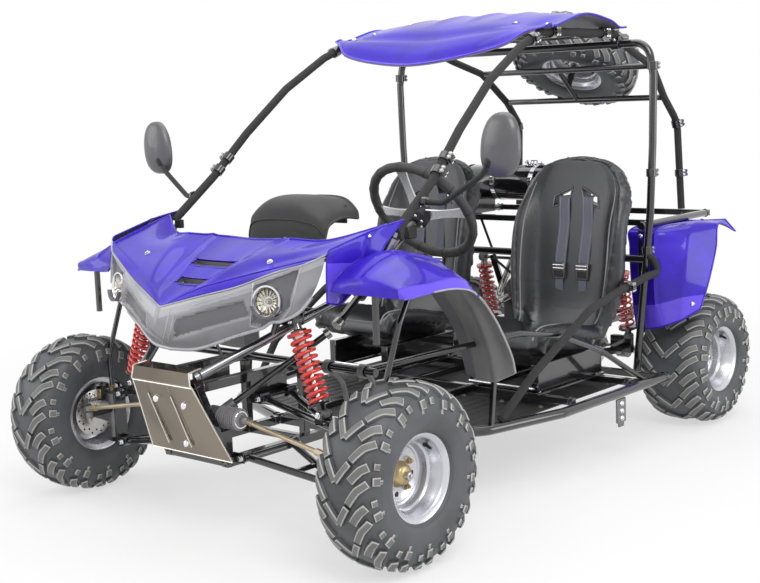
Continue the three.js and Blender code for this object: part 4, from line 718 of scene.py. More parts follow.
# Members of the welded and turned pieces, as on the frame
MEMBERS = {
    "swing_arm": [
        *twin("square", 14, [(235, 1400, 262), (235, 1774, 228.5)]),
        *twin("block", [(229, 1688, 232), (314, 1712, 293)]),
        ("square", 11.7, [(-235, 1490, 256), (235, 1490, 256)]),
        *twin("rod", 20, 20, [(215, 1400, 262), (255, 1400, 262)]),
        *twin("rod", 32, 32, [(215, 1774, 228.5), (255, 1774, 228.5)]),
    ],
    "upper_arm": [
        ("rod", 10, 10, [(150, 15, 375), (448, 0, 322.5)]),
        ("rod", 10, 10, [(150, 115, 375), (448, 0, 322.5)]),
        ("rod", 14, 14, [(150, 0, 375), (150, 30, 375)]),
        ("rod", 14, 14, [(150, 100, 375), (150, 130, 375)]),
        ("rod", 14, 14, [(448, -15, 322.5), (448, 15, 322.5)]),
        ("block", [(374, 15.5, 335.7), (402, 20.5, 369.3)]),
        ("block", [(374, -20.5, 335.7), (402, -15.5, 369.3)]),
        ("block", [(374, -20.5, 335.7), (402, 20.5, 340.7)]),
    ],
    "lower_arm": [
        ("rod", 10, 10, [(150, -60, 225), (448, 0, 172.5)]),
        ("rod", 10, 10, [(150, 115, 225), (448, 0, 172.5)]),
        ("rod", 14, 14, [(150, -75, 225), (150, -45, 225)]),
        ("rod", 14, 14, [(150, 100, 225), (150, 130, 225)]),
        ("rod", 14, 14, [(448, -15, 172.5), (448, 15, 172.5)]),
    ],
    "upright": [
        ("block", [(466, -21, 158.5), (474, 21, 336.5)]),
        ("block", [(438, 15.5, 308.5), (468, 20.5, 336.5)]),
        ("block", [(438, -20.5, 308.5), (468, -15.5, 336.5)]),
        ("rod", 6, 6, [(448, -20.5, 322.5), (448, 20.5, 322.5)]),
        ("block", [(472, -17, 316.5), (517, 17, 328.5)]),
        ("block", [(438, 15.5, 158.5), (468, 20.5, 186.5)]),
        ("block", [(438, -20.5, 158.5), (468, -15.5, 186.5)]),
        ("rod", 6, 6, [(448, -20.5, 172.5), (448, 20.5, 172.5)]),
        ("block", [(472, -17, 166.5), (517, 17, 178.5)]),
        ("rod", 8, 8, [(500, 0, 172.5), (500, 0, 322.5)]),
    ],
    "spindle": [
        ("rod", 17, 17, [(500, 0, 179.1), (500, 0, 315.9)]),
        ("rod", 11.5, 11.5, [(500, 0, 241.5), (650.5, 0, 241.5)]),
        ("rod", 20, 16, [(500, 0, 241.5), (594.9, 0, 241.5)]),
        ("rod", 10, 10, [(500, 0, 267), (490, -100, 267)]),
        ("rod", 12, 12, [(490, -100, 257), (490, -100, 277)]),
        ("rod", 8, 8, [(500, 8, 285.5), (584, 38, 285.5)]),
        ("block", [(582, 20, 275.5), (612, 50, 318.5)]),
    ],
    "cage_side": [
        ("pipe", 13, 60, [(454.9, 243, 822.2), (449.9, 413.3, 948.6), (436.1, 555.3, 1080.6),
            (420.8, 729.1, 1218.4), (409.8, 908.3, 1319.2), (404, 1020, 1361), (404, 1440, 1361),
            (385, 1596.6, 1303.6), (371.2, 1756.3, 1255.3), (347.1, 1884, 1143.1), (349.8, 1960.3, 1065),
            (352, 1972.7, 1026.7), (364, 1977, 733)]),
    ],
    "main_hoop": [
        ("pipe", 13, 60, [(-469.1, 1463.5, 225.8), (-508.2, 1463.5, 590.7), (-525.8, 1463.5, 766.8),
            (-536.8, 1463.5, 994), (-541.2, 1463.5, 1221.2), (-523, 1463.5, 1325), (523, 1463.5, 1325),
            (541.2, 1463.5, 1221.2), (536.8, 1463.5, 994), (525.8, 1463.5, 766.8), (508.2, 1463.5, 590.7),
            (469.1, 1463.5, 225.8)]),
        ("rod", 13, 13, [(-511.5, 1463.5, 610), (511.5, 1463.5, 610)]),
    ],
    "side_bar": [
        ("pipe", 12.7, 30, [(509.9, 613.8, 231.5), (544.5, 745.1, 355), (559.9, 1028.9, 504.1),
            (555.5, 1220.5, 539.6), (550, 1401.5, 562.3), (544.5, 1476, 565.2), (540.1, 1465.3, 604.9),
            (520, 1463, 622)]),
    ],
    "main_frame": [
        *twin("pipe", 16, 60, [(118, 330, 215), (440, 470, 215), (505, 560, 215), (572, 850, 215),
            (575, 1475, 215)]),
        *twin("square", 11.7, [(118, 330, 215), (118, 1340, 215)]),
        *twin("square", 10.7, [(124, 1330, 215), (170, 1480, 330)]),
        *twin("square", 11.7, [(170, 1470, 330), (170, 1940, 330)]),
        ("square", 10.7, [(-118, 330, 215), (118, 330, 215)]),
        ("square", 10.7, [(-560, 1340, 215), (560, 1340, 215)]),
        ("square", 10.7, [(-560, 930, 232), (560, 930, 232)]),
        ("square", 10.7, [(-560, 1265, 232), (560, 1265, 232)]),
        *twin("pipe", 9, 60, [(313.5, 230.6, 426), (495, 479, 474.3), (523, 704.3, 478.5),
            (523, 915.4, 437.4), (523, 1142.5, 355), (561, 1357.1, 220.1)]),
        *twin("square", 7, [(508, 570, 215), (510.9, 603.2, 477.1)]),
        ("square", 10.7, [(-574, 1463.5, 213), (574, 1463.5, 213)]),
        ("block", [(-480, 480, 203), (480, 1340, 206)]),
        *twin("square", 10.7, [(170, 1940, 330), (369.6, 1985, 720)]),
        *twin("square", 10.7, [(170, 1640, 330), (256, 1640, 569)]),
        ("rod", 6, 6, [(-315, 1640, 560), (315, 1640, 560)]),
        *twin("pipe", 12.7, 60, [(482, 1476.8, 720), (462, 1985, 720)]),
        ("square", 10.7, [(-470, 1580, 720), (470, 1580, 720)]),
        ("square", 10.7, [(-470, 1985, 720), (470, 1985, 720)]),
        ("square", 10.7, [(-170, 1940, 330), (170, 1940, 330)]),
        ("rod", 12, 12, [(-261, 1400, 262), (261, 1400, 262)]),
    ],
    "front_frame": [
        *twin("square", 12.7, [(118, -110, 215), (118, 317, 215)]),
        *twin("square", 12.7, [(118, -197, 437), (118, 212.7, 437)]),
        *twin("square", 11.7, [(118, -102, 215), (118, -202, 458)]),
        *twin("square", 11.7, [(118, 200, 215), (118, 200, 437)]),
        ("square", 10.7, [(-118, -102, 215), (118, -102, 215)]),
        ("square", 10.7, [(-118, -193, 437), (118, -193, 437)]),
        ("square", 10.7, [(-118, 200, 215), (118, 200, 215)]),
        ("rod", 12.7, 12.7, [(-260, 0, 612), (260, 0, 612)]),
        *twin("block", [(118, -5.5, 361), (160, -0.5, 389)]),
        *twin("block", [(118, 130.5, 361), (160, 135.5, 389)]),
        *twin("rod", 6, 6, [(150, -5.5, 375), (150, 135.5, 375)]),
        *twin("block", [(118, -80.5, 211), (160, -75.5, 239)]),
        *twin("block", [(118, 130.5, 211), (160, 135.5, 239)]),
        *twin("rod", 6, 6, [(150, -80.5, 225), (150, 135.5, 225)]),
        *twin("block", [(114, -5, 363), (122, 135, 437)]),
        *twin("block", [(254, 15.5, 592), (314, 20.5, 632.7)]),
        *twin("block", [(254, -20.5, 592), (314, -15.5, 632.7)]),
        *twin("block", [(254, -20.5, 592), (280, 20.5, 632.7)]),
        *twin("rod", 6, 6, [(300, -20.5, 606), (300, 20.5, 606)]),
        *twin("pipe", 12.7, 30, [(112, -193, 463), (300, 158, 632), (432, 205, 745), (454, 240, 818)]),
        *twin("rod", 4, 4, [(452, 236, 812), (442.3, 215.8, 836.2)]),
        *twin("rod", 4, 4, [(149, -120, 502), (140.2, -139, 552.8)]),
        ("block", [(-118, -122, 300), (118, -78, 305)]),
        *twin("block", [(110, -122, 215), (118, -78, 305)]),
        ("rod", 12.7, 12.7, [(-400, 200, 437), (400, 200, 437)]),
        ("pipe", 9, 30, [(-436, 212, 754), (-400, 262, 730), (400, 262, 730), (436, 212, 754)]),
        *twin("rod", 10, 10, [(214, 0, 555), (240, 0, 612)]),
        ("ring", 20, 11, 24, [(300, 262, 641.1), (0, 0.81, 0.5865)]),
        ("rod", 9, 9, [(300, 256, 656.1), (300, 262, 730)]),
    ],
    "spare_rack": [
        ("rod", 11, 11, [(-357.7, 1756, 1255), (357.7, 1756, 1255)]),
        ("rod", 11, 11, [(-333.7, 1884, 1143), (333.7, 1884, 1143)]),
        ("rod", 9, 9, [(-20, 1756, 1255), (-20, 1884, 1143)]),
        ("rod", 12, 12, [(-20, 1823.3, 1200.4), (-20, 1869.6, 1277.6)]),
    ],
    "throttle_pedal": [
        ("ring", 20, 14.2, 20, [(225, 200, 437), (1, 0, 0)]),
        ("pipe", 8, 0, [(225, 215, 429), (225, 255, 380), (225, 275, 300)]),
        ("block", [(203, 266, 262), (247, 276, 318)]),
    ],
    "brake_pedal": [
        ("ring", 20, 14.2, 20, [(355, 200, 437), (1, 0, 0)]),
        ("pipe", 8, 0, [(355, 215, 429), (355, 255, 380), (355, 275, 300)]),
        ("block", [(321, 266, 262), (389, 276, 318)]),
    ],
    "steering_shaft": [
        ("rod", 9, 9, [(117.7, -62, 373.5), (291.3, 139.9, 551.1)]),
        ("rod", 15, 15, [(282.6, 129.8, 542.2), (291.3, 139.9, 551.1)]),
    ],
    "mirror": [
        ("pipe", 8, 30, [(465.8, 342.8, 892.3), (523, 360, 889), (640, 378, 962), (670, 380, 1000)]),
    ],
}

# Rows of points of the panels' faces
ROWS = {
    "skid_plate": [
        mirrored((-165, -125, 226), (0, -125, 226)),
        mirrored((-122.1, -215, 439.9), (0, -215, 439.9)),
        mirrored((-120.5, -220, 446.1), (0, -220, 446.1)),
        mirrored((-113.8, -217, 479.8), (0, -217, 479.8)),
        mirrored((-112.2, -172, 485), (0, -172, 485)),
    ],
    "front_cowl": [
        mirrored((-427.8, -15.4, 781.2), (-239.2, -88.5, 735.6), (-110.4, -144.4, 701.4),
            (-55.2, -170.2, 676.7), (0, -196, 652)),
        mirrored((-437, 49.1, 798.3), (-276, -32.6, 758.4), (-138, -88.5, 741.3), (-64.4, -88.5, 705.2),
            (0, -92.8, 697.6)),
        mirrored((-446.2, 130.8, 819.2), (-294.4, 19, 785), (-179.4, -6.8, 777.4), (-92, 10.4, 750.8),
            (0, 10.4, 747)),
        mirrored((-443.9, 216.8, 842), (-312.8, 130.8, 804), (-207, 87.8, 807.8), (-110.4, 148, 796.4),
            (0, 148, 792.6)),
    ],
    "front_fascia": [
        mirrored((-396, -31.9, 678.7), (-365.2, -59.3, 636.8), (-286, -91.2, 602.7), (-198, -123.1, 573.9),
            (-92.4, -159.6, 537.2), (0, -177.8, 532)),
        mirrored((-413.6, -27.4, 710.2), (-374, -73, 676.1), (-299.2, -114, 642), (-202.4, -145.9, 621.1),
            (-96.8, -196.1, 594.9), (0, -228, 584.4)),
        mirrored((-426.8, -18.2, 752.1), (-387.2, -59.3, 731.1), (-308, -100.3, 704.9), (-220, -132.2, 684),
            (-114.4, -177.8, 663), (0, -216.6, 636.8)),
        mirrored((-433.4, -16, 783.5), (-391.6, -50.2, 762.6), (-316.8, -86.6, 741.6), (-220, -123.1, 704.9),
            (-118.8, -161.9, 678.7), (0, -202.9, 647.3)),
    ],
    "front_fender_blade": [
        [(441.2, -24, 662.8), (445.8, 17.4, 655), (462, 35.2, 674.5)],
        [(438.9, -18.1, 752.5), (448.1, 94.4, 736.9), (462, 138.8, 736.9)],
        [(438.9, -9.2, 791.5), (452.8, 124, 811), (462, 189.1, 795.4)],
        [(439.8, -0.3, 799.3), (452.8, 153.6, 834.4), (462, 266.1, 850)],
    ],
    "front_fender": [
        [(455.6, -22.8, 695.4), (495.8, -16.6, 691.1), (576.2, -4.2, 686.8), (649.9, 14.4, 682.5),
            (660, 20.6, 682.5)],
        [(448.9, 14.4, 729.8), (502.5, 14.4, 734.1), (576.2, 14.4, 729.8), (649.9, 20.6, 708.3),
            (666.6, 33, 682.5)],
        [(448.9, 126, 768.5), (509.2, 126, 781.4), (576.2, 126, 759.9), (656.6, 126, 708.3),
            (670, 126, 686.8)],
        [(455.6, 250, 764.2), (515.9, 250, 764.2), (582.9, 237.6, 742.7), (656.6, 231.4, 708.3),
            (670, 225.2, 682.5)],
        [(469, 374, 721.2), (522.6, 361.6, 721.2), (589.6, 336.8, 704), (656.6, 312, 678.2),
            (670, 305.8, 656.7)],
        [(482.4, 460.8, 626.6), (536, 442.2, 626.6), (603, 411.2, 613.7), (656.6, 398.8, 587.9),
            (670, 386.4, 575)],
        [(509.2, 535.2, 506.2), (549.4, 516.6, 501.9), (603, 485.6, 493.3), (649.9, 473.2, 480.4),
            (663.3, 460.8, 471.8)],
        [(529.3, 560, 377.2), (562.8, 541.4, 368.6), (603, 522.8, 372.9), (636.5, 510.4, 394.4),
            (649.9, 498, 411.6)],
    ],
    "roof_panel": [
        mirrored((-436, 999, 1376), (-383.7, 962.1, 1360), (-322.6, 925.2, 1324.8), (-183.1, 894.5, 1296),
            (0, 876, 1280)),
        mirrored((-436, 1023.6, 1382.4), (-383.7, 999, 1376), (-322.6, 962.1, 1363.2), (-183.1, 937.5, 1344),
            (0, 925.2, 1328)),
        mirrored((-436, 1060.5, 1379.5), (-375, 1060.5, 1379.5), (-322.6, 1060.5, 1395.2),
            (-183.1, 1060.5, 1404.8), (0, 1060.5, 1401.6)),
        mirrored((-436, 1220.4, 1417.6), (-383.7, 1220.4, 1420.8), (-322.6, 1232.7, 1427.2),
            (-183.1, 1245, 1436.8), (0, 1245, 1440)),
        mirrored((-436, 1368, 1401.6), (-383.7, 1368, 1404.8), (-322.6, 1368, 1414.4),
            (-183.1, 1380.3, 1427.2), (0, 1380.3, 1430.4)),
        mirrored((-436, 1429.5, 1379.5), (-375, 1429.5, 1379.5), (-322.6, 1429.5, 1395.2),
            (-183.1, 1429.5, 1414.4), (0, 1429.5, 1417.6)),
        mirrored((-436, 1472.5, 1379.5), (-383.7, 1484.8, 1379.5), (-322.6, 1491, 1379.2),
            (-183.1, 1491, 1395.2), (0, 1491, 1398.4)),
    ],
    "rear_fender": [
        [(427.7, 1537.6, 355), (519.8, 1517.8, 369.7), (598.8, 1537.6, 399), (651.4, 1570, 435.7)],
        [(427.7, 1508.8, 501.8), (519.8, 1498, 509.1), (608.6, 1537.6, 531.2), (658, 1616.8, 520.1)],
        [(427.7, 1498, 641.3), (519.8, 1498, 648.6), (608.6, 1566.4, 648.6), (654.7, 1678, 630.2)],
        [(427.7, 1516, 707), (519.8, 1537.6, 707), (598.8, 1627.6, 718.3), (644.8, 1717.6, 711)],
        [(427.7, 1807.6, 707), (519.8, 1836.4, 707), (598.8, 1858, 711), (651.4, 1829.2, 674.3)],
    ],
    "dash_hood": [
        mirrored((-142.6, 273.4, 739), (-124, 265.8, 739), (-77.5, 262, 739), (0, 262, 739)),
        mirrored((-155, 281, 788.8), (-131.8, 269.6, 822), (-77.5, 262, 835.3), (0, 262, 838.6)),
        mirrored((-155, 300, 822), (-139.5, 284.8, 848.6), (-77.5, 275.3, 881.8), (0, 273.4, 888.4)),
        mirrored((-155, 357, 838.6), (-139.5, 338, 865.2), (-77.5, 338, 898.4), (0, 338, 905)),
        mirrored((-155, 423.5, 832), (-139.5, 433, 855.2), (-77.5, 452, 885.1), (0, 452, 891.7)),
    ],
}

# Wheels
LUGS = 14


def tyre_line(hw, top, bore, bead):
    """The tyre's outline from the middle of the tread to the bead."""
    shares = [(0, 0), (0.3, 1), (0.55, 4), (0.74, 11), (0.88, 24), (0.96, 41), (1.0, 62)]
    side = [(0.995, 0.42), (0.965, 0.25), (0.915, 0.15), (0.9, 0.14), (0.89, 0.12)]
    line = [Vector((u * hw, top - d, 0)) for u, d in shares]
    line += [Vector((u * hw, bore + share * (top - bore), 0)) for u, share in side]
    line += [Vector((bead + 5, bore + 7, 0)), Vector((bead + 1, bore + 2, 0)), Vector((bead - 2, bore, 0))]
    return line


def along(line):
    """The outline in even steps of about 3 mm, with its length so far."""
    fine = [spline(line, t / 8) for t in range(8 * (len(line) - 1) + 1)]
    out, total = [(0.0, fine[0])], 0.0
    for a, b in zip(fine, fine[1:]):
        total += (b - a).length
        out.append((total, b))
    return out


def tyre(kit, centre, hw, top, bore, bead, lug):
    centre = Vector(centre)
    base = top - lug
    line = along(tyre_line(hw, base, bore, bead))
    half = [(p.x, p.y) for _, p in line]
    outer = [(-u, r) for u, r in half[::-1]] + half[1:]
    inner = [(bead - 6, bore + 1), (0.7 * hw, bore + 30), (0.8 * hw, base - 60), (0.5 * hw, base - 14),
        (0, base - 10)]
    back = inner + [(-u, r) for u, r in inner[-2::-1]]
    kit.put(lathe(outer + back + [outer[0]], centre, X, 112), RUBBER)

    def spot(s, angle, height):
        s, sign = abs(s), 1 if s >= 0 else -1
        i = next((k for k, (q, _) in enumerate(line) if q >= s), len(line) - 1)
        i = max(i, 1)
        (q0, p0), (q1, p1) = line[i - 1], line[i]
        p = p0.lerp(p1, (s - q0) / (q1 - q0))
        t = (line[min(i + 1, len(line) - 1)][1] - line[max(i - 2, 0)][1]).normalized()
        if s < 0.5:
            t = Vector((1, 0, 0))
        u, r = p.x - t.y * height, p.y + t.x * height
        return centre + Vector((sign * u, -r * math.cos(angle), r * math.sin(angle)))

    def bar(path, width, height):
        """A raised lug along a path of (place across, angle)."""
        fine = []
        for (s0, a0), (s1, a1) in zip(path, path[1:]):
            steps = max(2, round((spot(s1, a1, 0) - spot(s0, a0, 0)).length / 9))
            fine += [(s0 + (s1 - s0) * k / steps, a0 + (a1 - a0) * k / steps) for k in range(steps)]
        fine.append(path[-1])
        e = 0.05
        first = (fine[0][0] + (fine[1][0] - fine[0][0]) * e * 5,
            fine[0][1] + (fine[1][1] - fine[0][1]) * e * 5)
        last = (fine[-1][0] + (fine[-2][0] - fine[-1][0]) * e * 5,
            fine[-1][1] + (fine[-2][1] - fine[-1][1]) * e * 5)
        fine = [fine[0], first, *fine[1:-1], last, fine[-1]]
        rows = []
        n = len(fine)
        for i, (s, a) in enumerate(fine):
            here = spot(s, a, 0)
            out = (spot(s, a, 5) - here).normalized()
            ahead = (spot(*fine[min(i + 1, n - 1)], 0) - spot(*fine[max(i - 1, 0)], 0)).normalized()
            cross = out.cross(ahead).normalized()
            low = i in (0, n - 1)
            h = height - (2.6 if low else 0)
            shape = [(-width / 2 - 2.5, -3), (-width / 2 - 0.4, height - 2.6), (-width / 2 + 2.6, h),
                (width / 2 - 2.6, h),
                     (width / 2 + 0.4, height - 2.6), (width / 2 + 2.5, -3)]
            rows.append([here + cross * w + out * k for w, k in shape])
        v = [p for r in rows for p in r]
        top_faces, edge_faces, low_faces = [], [], []
        for i in range(n - 1):
            for k in range(5):
                q = (i * 6 + k, i * 6 + k + 1, i * 6 + k + 7, i * 6 + k + 6)
                if k in (0, 4):
                    low_faces.append(q)
                elif k in (1, 3) or i in (0, n - 2):
                    edge_faces.append(q)
                else:
                    top_faces.append(q)
        low_faces += [tuple(range(6)), tuple((n - 1) * 6 + k for k in range(6))]
        for faces, mat in ((top_faces, LUG), (edge_faces, LUG_EDGE), (low_faces, RUBBER)):
            kit.put((v, faces), mat)

    pitch = 2 * math.pi / LUGS
    w = hw / 89
    for i in range(LUGS):
        a = (i + 0.35) * pitch
        for s in (-1, 1):
            bar([(0.5 * s * w, a), (34 * s * w, a + 0.45 * pitch)], 17, lug)
            bar([(37 * s * w, a + 0.52 * pitch), (60 * s * w, a + 0.86 * pitch),
                (82 * s * w, a + 1.06 * pitch)], 19, lug - 1)
            bar([(43 * s * w, a + 1.06 * pitch), (64 * s * w, a + 1.34 * pitch),
                (79 * s * w, a + 1.46 * pitch)], 21, lug - 1)
            bar([(92 * s * w, a + 1.5 * pitch), (108 * s * w, a + 1.52 * pitch)], 15, 7)
            bar([(94 * s * w, a + 1.1 * pitch), (116 * s * w, a + 1.12 * pitch)], 20, 7)
            bar([(109 * s * w, a + 1.08 * pitch), (128 * s * w, a + 1.1 * pitch)], 9, 3)


def rim(kit, centre, seat_half, face, brass):
    """Pressed wheel: lips, stepped bowl, disc with nuts, hub and valve. face is the disc's place."""
    centre = Vector(centre)
    lip = seat_half + 0.3
    front = [(face, 30), (face, 58), (face + 4, 64), (face + 5, 70), (face + 1, 75), (face + 3, 80),
             (face + (lip - face) * 0.36, 83), (face + (lip - face) * 0.4, 87),
             (face + (lip - face) * 0.46, 89.5),
             (face + (lip - face) * 0.72, 91.5), (face + (lip - face) * 0.78, 95), (lip - 5, 97),
             (lip + 1, 101),
             (lip + 3.5, 108), (lip + 6, 111.5), (lip + 6.2, 113.6), (lip + 4, 114.6), (lip + 1, 113.4),
             (lip, 110)]
    back = [(lip, 102), (lip - 4, 100), (lip - 22, 99), (lip - 30, 93.5), (-lip + 30, 93.5), (-lip + 22, 99),
        (-lip + 4, 100),
            (-lip, 102), (-lip, 110), (-lip - 1, 113.4), (-lip - 4, 114.6), (-lip - 6.2, 113.6),
            (-lip - 6, 111.5), (-lip - 3, 106),
            (-lip + 2, 98), (-lip + 24, 94.5), (-lip + 32, 90), (face - 8, 88), (face - 5, 78),
            (face - 4, 62), (face - 4, 30), (face, 30)]
    kit.put(lathe(front + back, centre, X, 96), RIM)
    for k in range(4):
        t = 2 * math.pi * k / 4 + 0.6
        at = centre + Vector((face, 46 * math.cos(t), 46 * math.sin(t)))
        kit.put(lathe([(0, 0), (0, 9), (1.5, 9), (3, 7.5), (3, 0)], at, X, 20), CHROME)
        kit.put(hexed(at + X * 2, X, 13, 10, 0.3), brass)
        kit.put(rod(at, at + X * 17, 4.2), ZINC)
        u = t + math.pi / 4
        kit.put(lathe([(0.2, 0), (0.25, 6.5), (0.1, 7.5)],
            centre + Vector((face, 52 * math.cos(u), 52 * math.sin(u))), X, 20), MATBLACK)
    hub = [(face - 3, 34), (face + 3, 34), (face + 6, 31), (face + 20, 27), (face + 25, 22), (face + 27, 13),
        (face + 27, 0)]
    kit.put(lathe(hub, centre, X, 48), brass)
    kit.put(lathe([(face + 24, 0), (face + 24, 11), (face + 38, 11), (face + 40, 8), (face + 40, 0)], centre,
        X, 6), STEEL)
    kit.put(rod(centre + X * (face + 30), centre + X * (face + 46), 6), STEEL)
    kit.put(rod(centre + Vector((face + 33, -15, 0)), centre + Vector((face + 33, 15, 0)), 1.6), STEEL)
    t = 0.9
    at = centre + Vector((lip - 26, 90 * math.cos(t), 90 * math.sin(t)))
    kit.put(lathe([(0, 0), (0, 7), (3, 7), (5, 4.5), (24, 3.8), (26, 3), (26, 0)], at,
        X - Vector((0, math.cos(t), math.sin(t))) * 0.35, 16), HOSE)


front_hub = Vector((641.5, 0, 241.5))
rear_hub = Vector((524.5, 1774, 228.5))
k = Kit("front_tyre_tread")
tyre(k, front_hub, 89, 241.5, 102, 60.8, 11)
k.pair("front_wheel_*", "front_tyre", slot="rubber")
k = Kit("front_rim_pressed")
rim(k, front_hub, 66, -2, BRASS)
k.put(lathe([(-46, 13), (-46, 71), (-45.4, 72), (-42.6, 72), (-42, 71), (-42, 40), (-7, 33), (-7, 13),
    (-46, 13)], front_hub, X, 64), STEEL)
for i in range(24):
    t = 2 * math.pi * i / 24
    r = 64 if i % 2 else 55
    k.put(lathe([(-46.2, 0), (-46.2, 3.2), (-45.8, 3.6)],
        front_hub + Vector((0, r * math.cos(t), r * math.sin(t))), X, 10), MATBLACK)
k.pair("front_wheel_*", "front_rim", slot="steel")
k = Kit("rear_tyre_tread")
tyre(k, rear_hub, 120.5, 228.5, 102, 90.8, 11)
k.pair("rear_wheels", "rear_tyre", slot="rubber")
k = Kit("rear_rim_pressed")
rim(k, rear_hub, 96, 20, STEEL)
k.pair("rear_wheels", "rear_rim", slot="steel")

# Spare wheel, leaning on its carrier
k = Kit("spare_tyre_tread")
tyre(k, (0, 0, 0), 80, 241.5, 102, 56, 10)
r = Kit("spare_rim_pressed")
rim(r, (0, 0, 0), 60, 6, STEEL)
lean = math.pi * 0.172
spare_at = Vector((-20, 1880, 1295))
spare_way = Vector((0, math.sin(lean), math.cos(lean)))
turn = X.rotation_difference(-spare_way)
for kit in (k, r):
    kit.v = [turn @ p + spare_at for p in kit.v]
k.done("chassis", "spare_wheel", slot="rubber")
r.done("chassis", slot="steel")


# Frame and cage
def bead(at, way, r, wire=2.6):
    """A weld's ripple round a tube."""
    at, way = Vector(at), Vector(way).normalized()
    a = way.cross(Z if abs(way.z) < 0.9 else Y).normalized()
    b = way.cross(a)
    pts = []
    for i in range(48):
        t = 2 * math.pi * i / 48
        pts.append(at + (a * math.cos(t) + b * math.sin(t)) * (r + 0.5 * math.sin(16 * t)))
    return sweep(pts, wire, 8, closed=True)


def collar(kit, at, way, r, mat, out=X, wide=26):
    """A split clamp round a tube with its two bolts."""
    at, way, out = Vector(at), Vector(way).normalized(), Vector(out)
    out = (out - way * out.dot(way)).normalized()
    side = way.cross(out)
    kit.put(ring(at, way, r + 5, r - 0.3, wide, 32), mat)
    for s in (-1, 1):
        ear = at + out * (r + 9)
        a, b = ear - way * wide * 0.45 + side * s * 4.5, ear + way * wide * 0.45 + side * s * 4.5
        kit.put(square(a, b, 4), mat)
        kit.put(square(a - out * 5, b - out * 5, 4), mat)
    for t in (-0.25, 0.25):
        base = at + out * (r + 9) + way * wide * t
        kit.put(hexed(base + side * 8.5, side, 9, 6), CHROME)
        kit.put(hexed(base - side * 8.5, -side, 9, 6), STEEL)


def tip_beads(kit, prims, mat, skip=()):
    """A weld at both ends of each tube."""
    for i, p in enumerate(prims):
        if i in skip or p[0] not in ("pipe", "square"):
            continue
        r = p[1] * (1.0 if p[0] == "pipe" else 1.12)
        pts = [Vector(q) for q in p[-1]]
        kit.put(bead(pts[0] + (pts[1] - pts[0]).normalized() * r * 1.2, pts[1] - pts[0], r, 2.4), mat)
        kit.put(bead(pts[-1] + (pts[-2] - pts[-1]).normalized() * r * 1.2, pts[-2] - pts[-1], r, 2.4), mat)


k = Kit("frame_tubes")
put_prims(k, MEMBERS["main_frame"], GLOSSBLACK, skip=(17,))
tip_beads(k, MEMBERS["main_frame"], GLOSSBLACK, skip=(17,))
k.done("chassis", "main_frame", slot="frameBlack")
k = Kit("floor_sheet")
k.put(block((-480, 480, 203), (480, 1340, 206)), BLACKPLASTIC)
for i in range(-11, 12):
    k.put(block((i * 40 - 6, 500, 205.4), (i * 40 + 6, 900, 207.4), 0.8), BLACKPLASTIC)
for i in range(-3, 4):
    for s in (500, 700, 910, 1300):
        k.put(hexed((i * 150, s, 206), Z, 11, 5), ZINC)
k.done("chassis", slot="frameBlack")

k = Kit("front_frame_tubes")
# Members 34 and 35, the bonnet tubes, take the silver painted reflection in place of gloss black.
put_prims(k, MEMBERS["front_frame"], GLOSSBLACK, mats={34: BONNET_TUBE_PAINTED_REFLECTION, 35: BONNET_TUBE_PAINTED_REFLECTION})
tip_beads(k, MEMBERS["front_frame"], GLOSSBLACK)
for at in ((150, -82, 225), (150, 137, 225), (150, -7, 375), (150, 137, 375)):
    way = -Y if at[1] < 0 else Y
    k.twice(hexed(at, way, 13, 8), CHROME)
k.twice(hexed((300, -21, 606), -Y, 14, 9), CHROME)
k.twice(hexed((300, 21, 606), Y, 14, 9), STEEL)
k.done("chassis", "front_frame", slot="frameBlack")

k = Kit("cage_tube")
put_prims(k, MEMBERS["cage_side"], WRAP)
side_line = [Vector(p) for p in MEMBERS["cage_side"][0][3]]
for a, b, t in ((1, 2, 0.15), (1, 2, 0.42), (4, 5, 0.5), (5, 6, 0.15), (5, 6, 0.85), (10, 11, 0.5),
        (11, 12, 0.55)):
    at = side_line[a].lerp(side_line[b], t)
    collar(k, at, side_line[b] - side_line[a], 13, GLOSSBLACK, X)
k.put(block((418, 236, 800), (474, 252, 826)), WRAP)
k.pair("chassis", "cage_side", slot="wrapBlack")

k = Kit("hoop_tube")
put_prims(k, MEMBERS["main_hoop"], GLOSSBLACK)
for z, x in ((640, 513), (900, 532), (1250, 540)):
    for s in (-1, 1):
        collar(k, (s * x, 1463.5, z), Z, 13, GLOSSBLACK, Y)
for x in (404, -404):
    k.put(ring((x, 1463.5, 1325), X, 19, 12.8, 30), GLOSSBLACK)
    k.put(block((x - 14, 1455, 1335), (x + 14, 1472, 1352)), GLOSSBLACK)
    k.put(hexed((x, 1450, 1340), -Y, 10, 7), CHROME)
k.done("chassis", "main_hoop", slot="frameBlack")

k = Kit("spare_carrier")
put_prims(k, MEMBERS["spare_rack"], GLOSSBLACK)
tip_beads(k, MEMBERS["spare_rack"], GLOSSBLACK)
k.done("chassis", "spare_rack", slot="frameBlack")

k = Kit("side_bar_tube")
put_prims(k, MEMBERS["side_bar"], WRAP)
side_bar = [Vector(p) for p in MEMBERS["side_bar"][0][3]]
k.put(bead(side_bar[0] + (side_bar[1] - side_bar[0]).normalized() * 8, side_bar[1] - side_bar[0], 12.7), WRAP)
collar(k, side_bar[3].lerp(side_bar[4], 0.25), side_bar[4] - side_bar[3], 12.7, GLOSSBLACK, X, 22)
k.pair("chassis", "side_bar", slot="wrapBlack")

# Panels
def bolts(kit, top, places, size=11, mat=CHROME, both=True, hex_head=True):
    """Screws standing on a sheet where the photograph shows them."""
    for x, y in places:
        a = place_at(top, x, y)
        b, c = place_at(top, x + 3, y), place_at(top, x, y + 3)
        way = (c - a).cross(b - a)
        if way.length < 1e-6:
            continue
        way = way.normalized()
        if way.dot(EYE - a) < 0:
            way = -way
        shape = hexed(a, way, size, size * 0.5) if hex_head else domed(a, way, size, size * 0.4)
        kit.twice(shape, mat) if both else kit.put(shape, mat)


